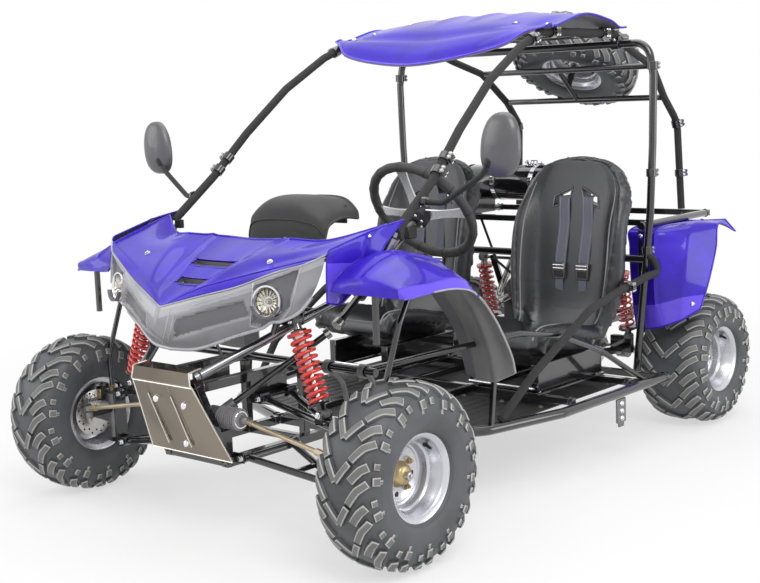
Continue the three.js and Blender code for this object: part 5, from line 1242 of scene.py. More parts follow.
def seam(kit, top, path, r, mat, both=True, lift=0.0):
    pts = [p + Z * lift for p in traced(top, path)]
    shape = sweep(pts, r, 8)
    kit.twice(shape, mat) if both else kit.put(shape, mat)


def straight_net(rows, high, wide):
    """A fine grid that keeps its rows' corners, for folded sheet."""
    rows = [[Vector(p) for p in r] for r in rows]
    lines = []
    for a, b in zip(rows, rows[1:]):
        n = high if (b[0] - a[0]).length > 60 else 3
        lines += [[p.lerp(q, t / n) for p, q in zip(a, b)] for t in range(n)]
    lines.append(rows[-1])
    out = []
    for r in lines:
        line = []
        for p, q in zip(r, r[1:]):
            line += [p.lerp(q, t / wide) for t in range(wide)]
        out.append(line + [r[-1]])
    return out


PLATE_RIDGES = (-72, 22)


def plate_lift(i, j, p):
    """Pressed ridges up the skid plate."""
    if p[2] > 425 or p[2] < 245:
        return 0
    return 2.6 * sum(ease(1 - abs(p[0] - c) / 7) for c in PLATE_RIDGES)


PLATE_BEAD = 2.2
# The plate's colour holds a painted reflection of its surroundings.
k = Kit("skid_plate_sheet")
grid = straight_net(ROWS["skid_plate"], 12, 40)
sets, edge, top = shell(grid, 3, PLATE, lift=plate_lift)
k.all(sets)
# Painted highlight lines along the plate's sides, fold and edges.
for side in (0, -1):
    k.put(sweep([row[side] for row in top], PLATE_BEAD, 8), PLATE_FOLD_HIGHLIGHT)
k.put(sweep([top[12][j] - Y * 1 for j in range(len(top[0]))], 2, 8), PLATE_FOLD_HIGHLIGHT)
k.put(sweep([top[0][j] for j in range(len(top[0]))], 1.8, 8), PLATE_FOLD_HIGHLIGHT)
for x, z in ((-46, 392), (64, 384), (6, 262)):
    k.put(domed((x, -128 - (z - 215) * 0.412, z), (0, -0.92, 0.4), 18, 7), CHROME)
for x in (-72, 40):
    k.put(domed((x, -206, 446), (0, -0.6, 0.8), 10, 4), CHROME)
# Painted highlight lines along the pressed ridges.
for x in PLATE_RIDGES:
    k.put(sweep([(x, -128 - (z - 215) * 0.412, z) for z in (252, 300, 350, 405)], 1.6, 8), PLATE_FOLD_HIGHLIGHT)
k.done("chassis", "skid_plate", slot="stainless")

# Front cowl
cowl = net(ROWS["front_cowl"], 10, 8, (2, 6))


def cowl_lift(i, j, p):
    x = abs(p[0])
    return 5 * ease(1 - abs(x - (20 + 0.62 * (p[1] + 196) * 0.5 + 30)) / 16) * ease((p[1] + 170) / 60)


sets, edge, top = shell(cowl, 3, PURPLE, under=MATBLACK, lift=cowl_lift)
vents = [block((-82, -22, 560), (82, 8, 900), 0.5), block((-58, -104, 560), (58, -72, 900), 0.5)]
k = Kit("cowl_skin")
k.all(sets)
k.done("chassis", "front_cowl", slot="purple", cuts=vents)
k = Kit("cowl_trim")
last = len(top) - 1
k.put(sweep(top[last], 3.2, 8), PURPLE)
# A pale line along the cowl's rear edge: painted highlight.
k.put(sweep([p - Y * 0.5 for p in top[last]], 1.4, 6), PALE_TRIM_AND_HIGHLIGHT)
k.put(sweep(top[0], 2.4, 8), PURPLE)
for c in (0, len(top[0]) - 1):
    k.put(sweep([r[c] for r in top], 2.6, 8), PURPLE)
bolts(k, top, ((381, 232), (270, 262)), 12)
k.done("chassis", slot="purple")
cowl_top = top


def across_line(line, x):
    """The point of a line of points at a place across the kart."""
    for a, b in zip(line, line[1:]):
        if a.x <= x <= b.x:
            return a.lerp(b, (x - a.x) / max(b.x - a.x, 0.001))
    return line[0].copy() if x < line[0].x else line[-1].copy()


# The cowl's front face, from its edge down to the fascia
FACE_HALF, FACE_STEPS = 426, 60
fascia_edge = net(ROWS["front_fascia"], 4, 7, (5,))[-1]
face = []
for share in (0.0, 0.33, 0.67, 1.0):
    line = []
    for n in range(FACE_STEPS + 1):
        x = FACE_HALF * (2 * n / FACE_STEPS - 1)
        low, high = across_line(fascia_edge, x), across_line(cowl_top[0], x)
        line.append(low.lerp(high, share) - Y * 5 * math.sin(math.pi * share))
    face.append(line)
sets, edge, top = shell(face, 3, PURPLE, under=MATBLACK)
k = Kit("cowl_face")
k.all(sets)
# A pale line along the fascia's upper edge: painted highlight.
k.put(sweep([p - Y * 2 for p in top[0]], 1.8, 8), PALE_TRIM_AND_HIGHLIGHT)
k.done("chassis", slot="purple")
top = cowl_top
k = Kit("cowl_vent_lips")
for half, s0, s1 in ((82, -22, 8), (58, -104, -72)):
    path = [(-half, s0), (half, s0), (half, s1), (-half, s1)]
    loop = []
    for (x0, y0), (x1, y1) in zip(path, path[1:] + path[:1]):
        n = 10
        for t in range(n):
            x, y = x0 + (x1 - x0) * t / n, y0 + (y1 - y0) * t / n
            near = min((p for r in top for p in r), key=lambda p: (p.x - x) ** 2 + (p.y - y) ** 2)
            loop.append(Vector((x, y, near.z)))
    k.put(sweep(loop, 2.4, 8, closed=True), PURPLE)
    k.put(([p for q in loop for p in (q, q - Z * 16)],
           [(2 * i, 2 * i + 1, (2 * i + 3) % (2 * len(loop)), (2 * i + 2) % (2 * len(loop)))
           for i in range(len(loop))]), POD)
    for t in (0.33, 0.66):
        y = s0 + (s1 - s0) * t
        near = min((p for r in top for p in r), key=lambda p: p.x ** 2 + (p.y - y) ** 2)
        k.put(block((-half, y - 1.5, near.z - 16), (half, y + 1.5, near.z - 9), 0.5), POD)
k.done("chassis", slot="purple")

# Front fascia
RECESS = [(173, 317), (243, 299), (251, 318), (172, 341)]
PODS = [(253, 284), (300, 267), (290, 309), (273, 329), (250, 325)]
UPPER = [(160, 306), (253, 280), (300, 264), (330, 252), (330, 262), (301, 273), (254, 291), (175, 314),
    (158, 318)]
fascia = net(ROWS["front_fascia"], 22, 12, (5,))


def fascia_lift(i, j, p):
    x, y = sight(near_side(p))
    return -9 * ease(inside(RECESS, x, y) / 3) - 10 * ease(inside(PODS, x, y) / 4)


def fascia_paint(i, j, p):
    x, y = sight(near_side(p))
    if inside(PODS, x, y) > 1.5 or inside(RECESS, x, y) > 2:
        return POD
    if inside(UPPER, x, y) > 0:
        return SILVERGREY
    return None


SILVERGREY = material("charcoal_light", rgb(172, 172, 176), 0.36, 0.45, grain=0.12, grain_scale=1400,
    dark=0.9)
sets, edge, top = shell(fascia, 3, CHARCOAL, under=MATBLACK, lift=fascia_lift, paint=fascia_paint)
lamp_at, lamp_way = Vector((300, -92, 667)), Vector((0.28, -0.95, 0.14)).normalized()
holes = []
for s in (1, -1):
    a, w = Vector((s * 300, -92, 667)), Vector((s * 0.28, -0.95, 0.14)).normalized()
    holes.append(lathe([(-60, 0), (-60, 41.5), (60, 41.5), (60, 0)], a, w, 64))
k = Kit("fascia_skin")
k.all(sets)
k.done("chassis", "front_fascia", slot="charcoal", cuts=holes)
k = Kit("fascia_trim")
# Pale lines along the recess and lamp pod outlines: painted highlights.
seam(k, top, [(170, 309), (162.5, 343)], 1.8, PALE_TRIM_AND_HIGHLIGHT, both=False)
seam(k, top, [(253, 283), (279, 274), (301, 266)], 2.2, PALE_TRIM_AND_HIGHLIGHT)
seam(k, top, [(301, 266), (290, 310), (273, 330), (250, 326)], 2.2, PALE_TRIM_AND_HIGHLIGHT)
seam(k, top, [(253, 283), (250, 326)], 1.6, PALE_TRIM_AND_HIGHLIGHT)
seam(k, top, [(193, 305), (253, 287)], 1.6, PALE_TRIM_AND_HIGHLIGHT)
seam(k, top, [(301, 266), (326, 254)], 1.8, PALE_TRIM_AND_HIGHLIGHT)
seam(k, top, [(174, 313), (168, 342)], 1.4, PALE_TRIM_AND_HIGHLIGHT)
low = top[0]
# The pale lip along the fascia's lower edge is a painted reflection of the white floor.
k.put(sweep([p - Z * 2 for p in low], [5.5] * len(low), 10), PALE_TRIM_AND_HIGHLIGHT)
k.put(sweep(top[-1], 2.2, 8), CHARCOAL)
k.done("chassis", slot="charcoal")

# Headlamps
k = Kit("headlamp_bezel")
k.put(lathe([(-44, 0), (-44, 30), (-30, 37), (-6, 40.5), (8, 41), (14, 43), (17, 42), (17, 37), (12, 34.5),
    (4, 33.5), (-4, 33), (-6, 0)],
            lamp_at, lamp_way, 72), CHROME)
k.put(lathe([(-4, 33), (-4, 12), (-12, 6), (-14, 0)], lamp_at, lamp_way, 48), REFLECTOR)
for i in range(16):
    t = 2 * math.pi * i / 16
    a = lamp_way.cross(Z).normalized()
    b = lamp_way.cross(a)
    way = a * math.cos(t) + b * math.sin(t)
    k.put(rod(lamp_at + lamp_way * -3 + way * 12, lamp_at + lamp_way * 1 + way * 32, 1.3, n=6), CHROME)
k.put(lathe([(-10, 0), (-10, 6), (0, 7), (5, 5), (8, 0)], lamp_at, lamp_way, 24), LUGBULB)
hood = lathe([(10, 41), (30, 43), (30, 40), (12, 38), (10, 41)], lamp_at, lamp_way, 40, math.pi * 0.1,
    math.pi * 0.9)
k.put(hood, POD)
k.pair("chassis", "headlamp", slot="glass")
k = Kit("headlamp_lens")
k.put(lathe([(6, 34), (12, 30), (17, 20), (19.5, 8), (20, 0)], lamp_at, lamp_way, 64), LENS)
k.put(lathe([(5, 34), (10.5, 29.5), (15, 20), (17.5, 8), (18, 0)], lamp_at, lamp_way, 64), LENS)
k.pair("chassis", slot="glass")

# Front fenders: dome, side band, flap and the blade on the inside
fender = net(ROWS["front_fender"], 9, 9, (3,))
# The flap widens inward behind the wheel
FLAP_INWARD = 95
for i, row in enumerate(fender):
    for j, p in enumerate(row):
        p.x -= FLAP_INWARD * ease((i / 9 - 3.4) / 1.0) * (1 - j / (len(row) - 1))


# The fender's outer band takes the lighter purple as a painted highlight.
def fender_paint(i, j, p):
    x, y = sight(p)
    t = i / 9
    if t > 4.05:
        return FLAP
    if j >= 27:
        return PURPLE_HIGHLIGHT
    return None


def fender_lift(i, j, p):
    x = j / 9
    t = i / 9
    rise = 5 * ease(1 - abs(x - 1.55) / 0.14) * ease((t - 0.6) / 0.5) * ease((4.0 - t) / 0.5)
    groove = -5 * ease(1 - abs(t - 4.05) / 0.07)
    strip = -6 * ease(1 - abs(x - 2.35) / 0.42) * ease((t - 4.3) / 0.3) if t > 4.2 else 0
    return rise + groove + strip


# A lighter copy of the purple paint, used for painted highlights.
PURPLE_HIGHLIGHT = material("purple_painted_highlight", rgb(104, 78, 230), 0.34, 0.0, coat=0.5, dirt=0.05, dark=0.92, ior=1.3)
def fender_under(i, j):
    """The flap's front face shows below the fender, with a darker strip along its inner edge."""
    if i / 9 < 4.05:
        return MATBLACK
    return POD if j < 8 else FLAP


sets, edge, top = shell(fender, 3.4, PURPLE, under=fender_under, lift=fender_lift, paint=fender_paint)
k = Kit("front_fender_skin")
k.all(sets)
last, wide = len(top) - 1, len(top[0]) - 1
# Lighter purple lines along the outer edge and crease: painted highlights.
k.put(sweep([r[wide] for r in top[: 2 * 9 + 1]], 2.4, 8), PURPLE_HIGHLIGHT)
# A pale line along the fender's outer edge: painted highlight.
k.put(sweep([r[wide] for r in top[2 * 9: 4 * 9 + 1]], 2.2, 8), PALE_TRIM_AND_HIGHLIGHT)
# The flap's pale edge lines, here and below, are painted highlights.
k.put(sweep([r[wide] for r in top[4 * 9 + 1:]], 3.4, 8), FLAP_EDGE_HIGHLIGHT)
k.put(sweep([r[27] for r in top[9: 4 * 9]], 1.3, 6), PURPLE_HIGHLIGHT)
k.put(sweep([r[0] for r in top[: 4 * 9 + 1]], 2.6, 8), PURPLE)
k.put(sweep([r[0] for r in top[4 * 9 + 1:]], 3.0, 8), FLAP_EDGE_HIGHLIGHT)
k.put(sweep(top[last], 3.2, 8), FLAP_EDGE_HIGHLIGHT)
k.put(sweep([r[10] for r in top[4 * 9 + 3:]], 1.6, 6), FLAP_EDGE_HIGHLIGHT)
k.put(sweep(top[37][2:wide - 1], 1.7, 6), POD)
for i, j in ((52, 14), (60, 20), (44, 22)):
    a, b, c = top[i][j], top[i + 1][j], top[i][j + 1]
    way = (c - a).cross(b - a).normalized()
    if way.y < 0:
        way = -way
    k.put(domed(a + way * 1.5, way, 13, 6), CHROME)
k.put(square((566, 20, 560), (566, 20, 716), 7), GLOSSBLACK)
k.put(pipe([(500, 0, 330), (560, 40, 420), (566, 110, 600), (566, 200, 742)], 8, 40, 14), GLOSSBLACK)
k.pair("chassis", "front_fender", slot="purple")

blade = net(ROWS["front_fender_blade"], 10, 14)


def blade_lift(i, j, p):
    return 4 * ease(1 - abs(j / 14 - 1.0) / 0.12)




# The blade's lower rows take the lighter purple as a painted highlight.
def blade_paint(i, j, p):
    return PURPLE_HIGHLIGHT if i < 12 else None


sets, edge, top = shell(blade, 3.4, PURPLE, under=MATBLACK, lift=blade_lift, paint=blade_paint)
k = Kit("fender_blade_skin")
k.all(sets)
k.put(sweep([r[-1] for r in top], 2.6, 8), PURPLE)
k.put(sweep([r[0] for r in top], 2.2, 8), PURPLE)
k.put(sweep(top[-1], 2.6, 8), PURPLE)
k.put(sweep(top[0], 2.4, 8), PURPLE)
for i, j in ((8, 12), (22, 14)):
    a, b, c = top[i][j], top[i + 1][j], top[i][j + 1]
    way = (c - a).cross(b - a).normalized()
    if way.x < 0:
        way = -way
    k.put(domed(a + way, way, 11, 5), CHROME)
k.pair("chassis", slot="purple")

# Roof
roof = net(ROWS["roof_panel"], 8, 8)


def roof_lift(i, j, p):
    x = abs(p[0])
    t = i / 8
    ribs = sum(ease(1 - abs(x - c) / 16)
        for c in (70, 210)) * 6 * ease((t - 2.0) / 0.5) * ease((5.2 - t) / 0.6)
    return ribs - 7 * ease(1 - abs(t - 1.5) / 0.25)


sets, edge, top = shell(roof, 3, PURPLE, under=ROOFUNDER, lift=roof_lift)
k = Kit("roof_skin")
k.all(sets)
last = len(top) - 1
# The roof's front edge line in lighter purple is a painted highlight.
k.put(sweep(top[0], 3.4, 8), PURPLE_HIGHLIGHT)
k.put(sweep(top[-1], 3.2, 8), PURPLE)
for c in (0, len(top[0]) - 1):
    k.put(sweep([r[c] for r in top], 3.6, 8), PURPLE)
k.put(sweep([p - Z * 5 for p in top[0][4:-4]], 2.4, 8), ROOFUNDER)
for s in (-1, 1):
    for y in (1060, 1429):
        near = min((p for r in top for p in r), key=lambda p: (p.x - s * 404) ** 2 + (p.y - y) ** 2)
        k.put(hexed(near + Z * 0.5, Z, 16, 9), CHROME)
        k.put(block((s * 404 - 16, y - 12, 1374), (s * 404 + 16, y + 12, near.z - 2)), GLOSSBLACK)
    for y in (1040, 1240, 1460):
        near = min((p for r in top for p in r), key=lambda p: (p.x - s * 300) ** 2 + (p.y - y) ** 2)
        k.put(domed(near, Z, 12, 5), CHROME)
k.done("chassis", "roof_panel", slot="purple")
k = Kit("roof_cross_bars")
for y, z in ((1060, 1361), (1250, 1361), (1430, 1361)):
    k.put(rod((-404, y, z), (404, y, z), 10.5, n=20), GLOSSBLACK)
    for s in (-1, 1):
        collar(k, (s * 385, y, z), X, 10.5, GLOSSBLACK, -Y, 22)
k.done("chassis", slot="frameBlack")

# Rear fenders
guard = net(ROWS["rear_fender"], 12, 12, (2,))


def guard_lift(i, j, p):
    t = i / 12
    return 4 * ease(1 - abs(j / 12 - 1.0) / 0.1) * ease((t - 0.3) / 0.4) - 3 * ease(1 - abs(t - 0.55) / 0.05)


# The rear fender's lower rows take the lighter purple as a painted highlight.
def guard_paint(i, j, p):
    return PURPLE_HIGHLIGHT if i < 7 else None


sets, edge, top = shell(guard, 3.4, PURPLE, under=MATBLACK, lift=guard_lift, paint=guard_paint)
k = Kit("rear_fender_skin")
k.all(sets)
for line in ([r[0] for r in top], [r[-1] for r in top], top[0], top[-1]):
    k.put(sweep(line, 2.8, 8), PURPLE)
for i, j in ((4, 5), (4, 30), (30, 6), (42, 6)):
    a, b, c = top[i][j], top[i + 1][j], top[i][j + 1]
    way = (c - a).cross(b - a).normalized()
    if way.dot(Vector((0.6, -1, 0.8))) < 0:
        way = -way
    k.put(domed(a + way, way, 13, 5), CHROME)
k.put(square((470, 1500, 355), (470, 1500, 700), 8), GLOSSBLACK)
k.put(square((470, 1500, 520), (592, 1545, 520), 7), GLOSSBLACK)
k.pair("chassis", "rear_fender", slot="purple")

# Dash hood with its switches and wiring
dash = net(ROWS["dash_hood"], 8, 8)
sets, edge, top = shell(dash, 3, BLACKPLASTIC, under=MATBLACK)
k = Kit("dash_hood_skin")
k.all(sets)
for line in (top[-1], [r[0] for r in top], [r[-1] for r in top]):
    k.put(sweep(line, 4.2, 10), BLACKPLASTIC)
k.put(sweep([p - Y * 1.5 for p in top[8]], 2.0, 8), BLACKPLASTIC)
k.done("chassis", "dash_hood", slot="plasticBlack")
k = Kit("dash_switches")
k.put(block((-128, 268, 742), (128, 274, 828), 4), MATBLACK)
k.put(ring((60, 415, 846), (0, 0.9, 0.35), 15, 10, 16, 32), STEEL)
k.put(rod((60, 400, 842), (60, 424, 850), 10), STEEL)
k.put(block((58, 424, 846), (62, 442, 862), 1), BRASS)
for x, mat in ((-50, SWITCHRED), (0, POD), (-95, POD)):
    k.put(block((x - 12, 404, 832), (x + 12, 414, 862), 2), MATBLACK)
    k.put(block((x - 7, 410, 838), (x + 7, 418, 856), 2), mat)
k.put(block((-130, 398, 818), (130, 406, 872), 3), BLACKPLASTIC)
k.done("chassis", slot="plasticBlack")
k = Kit("dash_wiring")
wires = (
    ([(60, 400, 842), (66, 370, 812), (96, 330, 776), (150, 290, 742), (176, 270, 734)], 4.5, HOSE),
    ([(0, 402, 840), (16, 360, 800), (70, 312, 760), (140, 276, 738), (180, 266, 732)], 3.2, HOSE),
    ([(-50, 402, 840), (-20, 350, 790), (40, 306, 756), (110, 280, 742), (170, 268, 735)], 2.6, SWITCHRED),
    ([(-95, 402, 836), (-80, 340, 780), (-30, 296, 744), (40, 274, 736), (120, 266, 734)], 2.6, HOSE),
)
for pts, r, mat in wires:
    line = [Vector(p) for p in pts]
    k.put(sweep([spline(line, t / 8) for t in range(8 * (len(line) - 1) + 1)], r, 10), mat)
for x in (120, 165):
    k.put(ring((x, 271, 736), X, 8, 5.5, 8, 20), PALE_TRIM_AND_HIGHLIGHT)
k.done("chassis", slot="plasticBlack")

# Front suspension
k = Kit("upper_arm_tubes")
put_prims(k, MEMBERS["upper_arm"], GLOSSBLACK)
k.put(bead((440, 0, 324), (1, 0, -0.17), 13, 2.2), GLOSSBLACK)
k.put(hexed((388, -20.5, 362), -Y, 12, 8), CHROME)
k.put(hexed((388, 20.5, 362), Y, 12, 8), CHROME)
k.pair("upper_arm_*", "upper_arm", slot="frameBlack")
k = Kit("lower_arm_tubes")
put_prims(k, MEMBERS["lower_arm"], GLOSSBLACK)
k.put(square((300, -30, 199), (300, 62, 199), 6), GLOSSBLACK)
k.pair("lower_arm_*", "lower_arm", slot="frameBlack")
k = Kit("upright_bracket")
put_prims(k, MEMBERS["upright"], GLOSSBLACK)
for z in (322.5, 172.5):
    k.put(hexed((448, -20.5, z), -Y, 13, 9), CHROME)
    k.put(hexed((448, 20.5, z), Y, 13, 8), BRASS)
k.put(hexed((500, 0, 328.5), Z, 16, 10), BRASS)
k.pair("upright_*", "upright", slot="frameBlack")
k = Kit("spindle_forging")
put_prims(k, MEMBERS["spindle"], CAST, mats={6: DARKCAST, 3: DARKCAST})
k.put(hexed((490, -100, 257), -Z, 14, 9), BRASS)
k.put(block((586, 16, 282), (608, 22, 312), 2), BRASS)
k.put(pipe([(597, 46, 315), (590, 64, 330), (556, 66, 326), (524, 44, 312), (508, 26, 296)], 4, 16, 10), HOSE)
k.put(hexed((597, 40, 318), Z, 9, 8), BRASS)
k.pair("spindle_*", "spindle", slot="alloy")

# Front shocks
top_eye, low_eye = Vector((300, 0, 606)), Vector((388, 0, 362))
way = (low_eye - top_eye).normalized()
span = (low_eye - top_eye).length
on_shock = lambda share: top_eye.lerp(low_eye, share)
k = Kit("shock_tube")
k.put(ring(top_eye, Y, 15, 6.4, 30, 32), CAST)
k.put(ring(top_eye, Y, 10, 6.2, 32, 24), HOSE)
k.put(lathe([(10, 0), (10, 10), (26, 12), (30, 17), (span * 0.2, 17.2), (span * 0.2 + 2, 12.2),
    (span * 0.55, 12.2), (span * 0.56, 10), (span * 0.56, 0)],
            top_eye, way, 40), STEEL)
k.put(lathe([(span * 0.17 - 10, 16), (span * 0.17 - 9, 33), (span * 0.17 - 3, 34), (span * 0.17, 31),
    (span * 0.17, 16)], top_eye, way, 40), RED)
k.put(ring(on_shock(0.125), way, 22, 16, 8, 36), GLOSSBLACK)
k.put(ring(on_shock(0.15), way, 25, 16, 4, 36), ZINC)
k.pair("shock_body_*", "front_shock_body", slot="alloy")
k = Kit("shock_piston")
k.put(rod(on_shock(0.4), on_shock(0.93), 6.5), CHROME)
k.put(lathe([(span * 0.87, 6), (span * 0.87, 31), (span * 0.87 + 3, 34), (span * 0.87 + 8, 33),
    (span * 0.87 + 10, 14), (span - 12, 11), (span - 12, 6)],
            top_eye, way, 40), GLOSSBLACK)
k.put(ring(low_eye, Y, 14, 6.4, 28, 32), CAST)
k.put(ring(low_eye, Y, 9, 6.2, 30, 24), HOSE)
k.pair("shock_rod_*", "front_shock_rod", slot="steel")
k = Kit("front_coil")
k.put(coil(on_shock(0.175), on_shock(0.865), 26, 10.4, 10, 14, 32), RED)
k.pair("shock_body_*", "front_spring", slot="springRed",
       blend=("shock_body_*", "shock_rod_*", on_shock(0.175), on_shock(0.865)))

# Steering rack, boots and tie rods
k = Kit("rack_case")
k.put(rod((-105, -100, 340), (105, -100, 340), 20), BOOT)
k.put(lathe([(-30, 0), (-30, 25), (-26, 27), (26, 27), (30, 25), (30, 0)], (92, -100, 340), X, 40), CAST)
k.put(rod((85, -100, 340), (117.5, -62.2, 373.3), 16), CAST)
k.put(block((50, -122, 305.3), (80, -78, 340)), GLOSSBLACK)
k.put(block((-80, -122, 305.3), (-50, -78, 340)), GLOSSBLACK)
for s in (-1, 1):
    prof = [(103, 0), (103, 20)]
    ribs = 9
    for i in range(ribs):
        a = 106 + 74 * i / ribs
        prof += [(a, 23), (a + 2.2, 30), (a + 5, 30.4), (a + 7, 23.5)]
    prof += [(181, 20), (183, 12), (183, 0)]
    k.put(lathe(prof, (0, -100, 340), X * s, 40), BOOT)
    for a in (105, 179):
        k.put(ring(Vector((s * a, -100, 340)), X, 24, 20, 4, 36), CHROME)
    k.put(hexed((s * 65, -122, 330), -Y, 11, 7), CHROME)
k.done("chassis", "rack_housing", slot="bootGrey")
k = Kit("tie_rod_link")
k.put(rod((196, -100, 339), (470, -100, 290.5), 6.5), ZINC)
k.put(rod((452, -100, 293.8), (486, -100, 287.8), 10, n=6), ZINC)
k.put(lathe([(-12, 0), (-12, 7), (-8, 11), (0, 13), (8, 11), (12, 7), (12, 0)], (192, -100, 340), X, 32),
    CAST)
k.put(lathe([(-8, 0), (-8, 10), (-5, 13), (4, 13), (8, 9), (8, 0)], (490, -100, 287), Z, 32), CAST)
k.put(lathe([(7, 5), (9, 9), (13, 7), (14, 4)], (490, -100, 287), Z, 24), HOSE)
k.put(hexed((215, -100, 335.6), Vector((298, 0, -53)), 12, 8), ZINC)
k.pair("tie_rod_*", "tie_rod", slot="zinc")

# Rear end
k = Kit("swing_arm_tubes")
put_prims(k, MEMBERS["swing_arm"], GLOSSBLACK)
for s in (-1, 1):
    k.put(hexed((s * 255, 1400, 262), X * s, 18, 11), CHROME)
    k.put(bead((s * 235, 1420, 260.3), (0, 1, -0.09), 15), GLOSSBLACK)
k.done("swing_arm", "swing_arm", slot="frameBlack")
top_r, low_r = Vector((300, 1640, 560)), Vector((300, 1700, 292))
span_r = (low_r - top_r).length
way_r = (low_r - top_r).normalized()
k = Kit("rear_shock_tube")
k.put(ring(top_r, X, 16, 6.5, 26, 32), CAST)
k.put(lathe([(12, 0), (12, 11), (30, 17), (span_r * 0.3, 17), (span_r * 0.31, 12), (span_r * 0.55, 12),
    (span_r * 0.56, 0)], top_r, way_r, 40), STEEL)
k.put(lathe([(span_r * 0.142 - 9, 16), (span_r * 0.142 - 8, 33), (span_r * 0.142, 33), (span_r * 0.142, 16)],
    top_r, way_r, 40), RED)
k.pair("chassis", "rear_shock", slot="alloy")
k = Kit("rear_shock_piston")
k.put(rod(top_r.lerp(low_r, 0.4), top_r.lerp(low_r, 0.93), 6.5), CHROME)
k.put(lathe([(span_r * 0.858, 6), (span_r * 0.858, 33), (span_r * 0.858 + 8, 33), (span_r * 0.858 + 10, 13),
    (span_r - 10, 11), (span_r - 10, 6)], top_r, way_r, 40), GLOSSBLACK)
k.put(ring(low_r, X, 14, 6.4, 26, 32), CAST)
k.pair("swing_arm", slot="steel")
k = Kit("rear_coil")
k.put(coil(top_r.lerp(low_r, 0.15), top_r.lerp(low_r, 0.85), 24.5, 8.2, 9, 12, 28), RED)
k.pair("chassis", slot="springRed", blend=("chassis", "swing_arm", top_r.lerp(low_r, 0.15),
    top_r.lerp(low_r, 0.85)))
k = Kit("rear_axle_shaft")
k.put(rod((-520, 1774, 228.5), (520, 1774, 228.5), 15), STEEL)
teeth = 34
prof = []
for i in range(teeth * 4):
    t = 2 * math.pi * i / (teeth * 4)
    prof.append((78 if i % 4 in (1, 2) else 72, t))
v = [Vector((x, 1774 + r * math.cos(t), 228.5 + r * math.sin(t))) for x in (-73, -67) for r, t in prof]
n = len(prof)
f = [(i, (i + 1) % n, n + (i + 1) % n, n + i) for i in range(n)] + [tuple(range(n)), tuple(range(n, 2 * n))]
k.put((v, f), STEEL)
k.put(rod((-90, 1774, 228.5), (-50, 1774, 228.5), 32), CAST)
k.put(ring((120, 1774, 228.5), X, 72, 36, 4, 72), STEEL)
k.put(rod((105, 1774, 228.5), (150, 1774, 228.5), 34), CAST)
for i in range(6):
    t = math.pi * i / 3
    k.put(hexed((-66.5, 1774 + 50 * math.cos(t), 228.5 + 50 * math.sin(t)), X, 11, 6), ZINC)
    k.put(hexed((122.5, 1774 + 44 * math.cos(t), 228.5 + 44 * math.sin(t)), X, 11, 6), ZINC)
for s in (-1, 1):
    k.put(rod((s * 440, 1774, 228.5), (s * 522, 1774, 228.5), 24), CAST)
k.done("rear_wheels", "rear_axle", slot="alloy")
k = Kit("drive_chain")
line = []
for t in range(25):
    a = math.pi * (0.5 - t / 24)
    line.append(Vector((-70, 1774 + 75 * math.cos(a), 228.5 + 75 * math.sin(a))))
for t in range(13):
    a = math.pi * (-0.5 - t / 12)
    line.append(Vector((-70, 1600 + 30 * math.cos(a), 262 + 30 * math.sin(a))))
fine = []
for a, b in zip(line, line[1:] + line[:1]):
    m = max(1, round((b - a).length / 12))
    fine += [a.lerp(b, q / m) for q in range(m)]
for i, (a, b) in enumerate(zip(fine, fine[1:] + fine[:1])):
    if (b - a).length > 2:
        x = 3.5 if i % 2 else 5
        for s in (-x, x):
            k.put(square(a + X * s, b + X * s, 1.6, 0.4), DARKCAST)
        k.put(rod(a - X * 5, a + X * 5, 3, n=8), STEEL)
k.done("swing_arm", slot="steel")

# Power unit
k = Kit("engine_unit")
k.put(block((-130, 1520, 343), (60, 1690, 473), 10), CAST)
k.put(block((-178, 1545, 342), (178, 1610, 352)), GLOSSBLACK)
k.put(rod((60, 1570, 418), (104, 1570, 418), 68, n=64, chamfer=5), CAST)
k.put(rod((60, 1790, 428), (104, 1790, 428), 62, n=64, chamfer=5), CAST)
k.put(block((60, 1570, 363), (104, 1790, 483), 6), CAST)
for i in range(7):
    k.put(block((104, 1600 + i * 24, 395), (109, 1608 + i * 24, 455), 2), CAST)
for i in range(12):
    t = 2 * math.pi * i / 12
    k.put(hexed((104, 1570 + 58 * math.cos(t), 418 + 58 * math.sin(t)), X, 8, 5), ZINC)
a, b = Vector((-35, 1560, 443)), Vector((-35, 1480, 483))
d = (b - a).normalized()
k.put(rod(a, b, 30), CAST)
for i in range(9):
    k.put(lathe([(i * 9.5 + 2, 20), (i * 9.5 + 2, 47), (i * 9.5 + 5, 47), (i * 9.5 + 5, 20)], a, d, 48), CAST)
k.put(rod(b, b + d * 22, 36, n=6, chamfer=4), CAST)
k.put(pipe([(-35, 1500, 463), (-160, 1520, 403), (-200, 1700, 560), (-200, 1830, 590)], 14, 60), STEEL)
k.put(rod((-230, 1830, 600), (150, 1830, 600), 55, n=64, chamfer=6), STEEL)
for x in (-150, 70):
    k.put(ring((x, 1830, 600), X, 58, 54.5, 18, 64), GLOSSBLACK)
k.put(rod((150, 1830, 600), (190, 1842, 596), 14), DARKCAST)
k.put(pipe([(-35, 1560, 500), (-30, 1610, 545), (-20, 1680, 560)], 16, 40), HOSE)
k.put(rod((-20, 1660, 555), (-20, 1760, 565), 42, n=48, chamfer=8), BLACKPLASTIC)
k.done("chassis", "engine", slot="alloy")

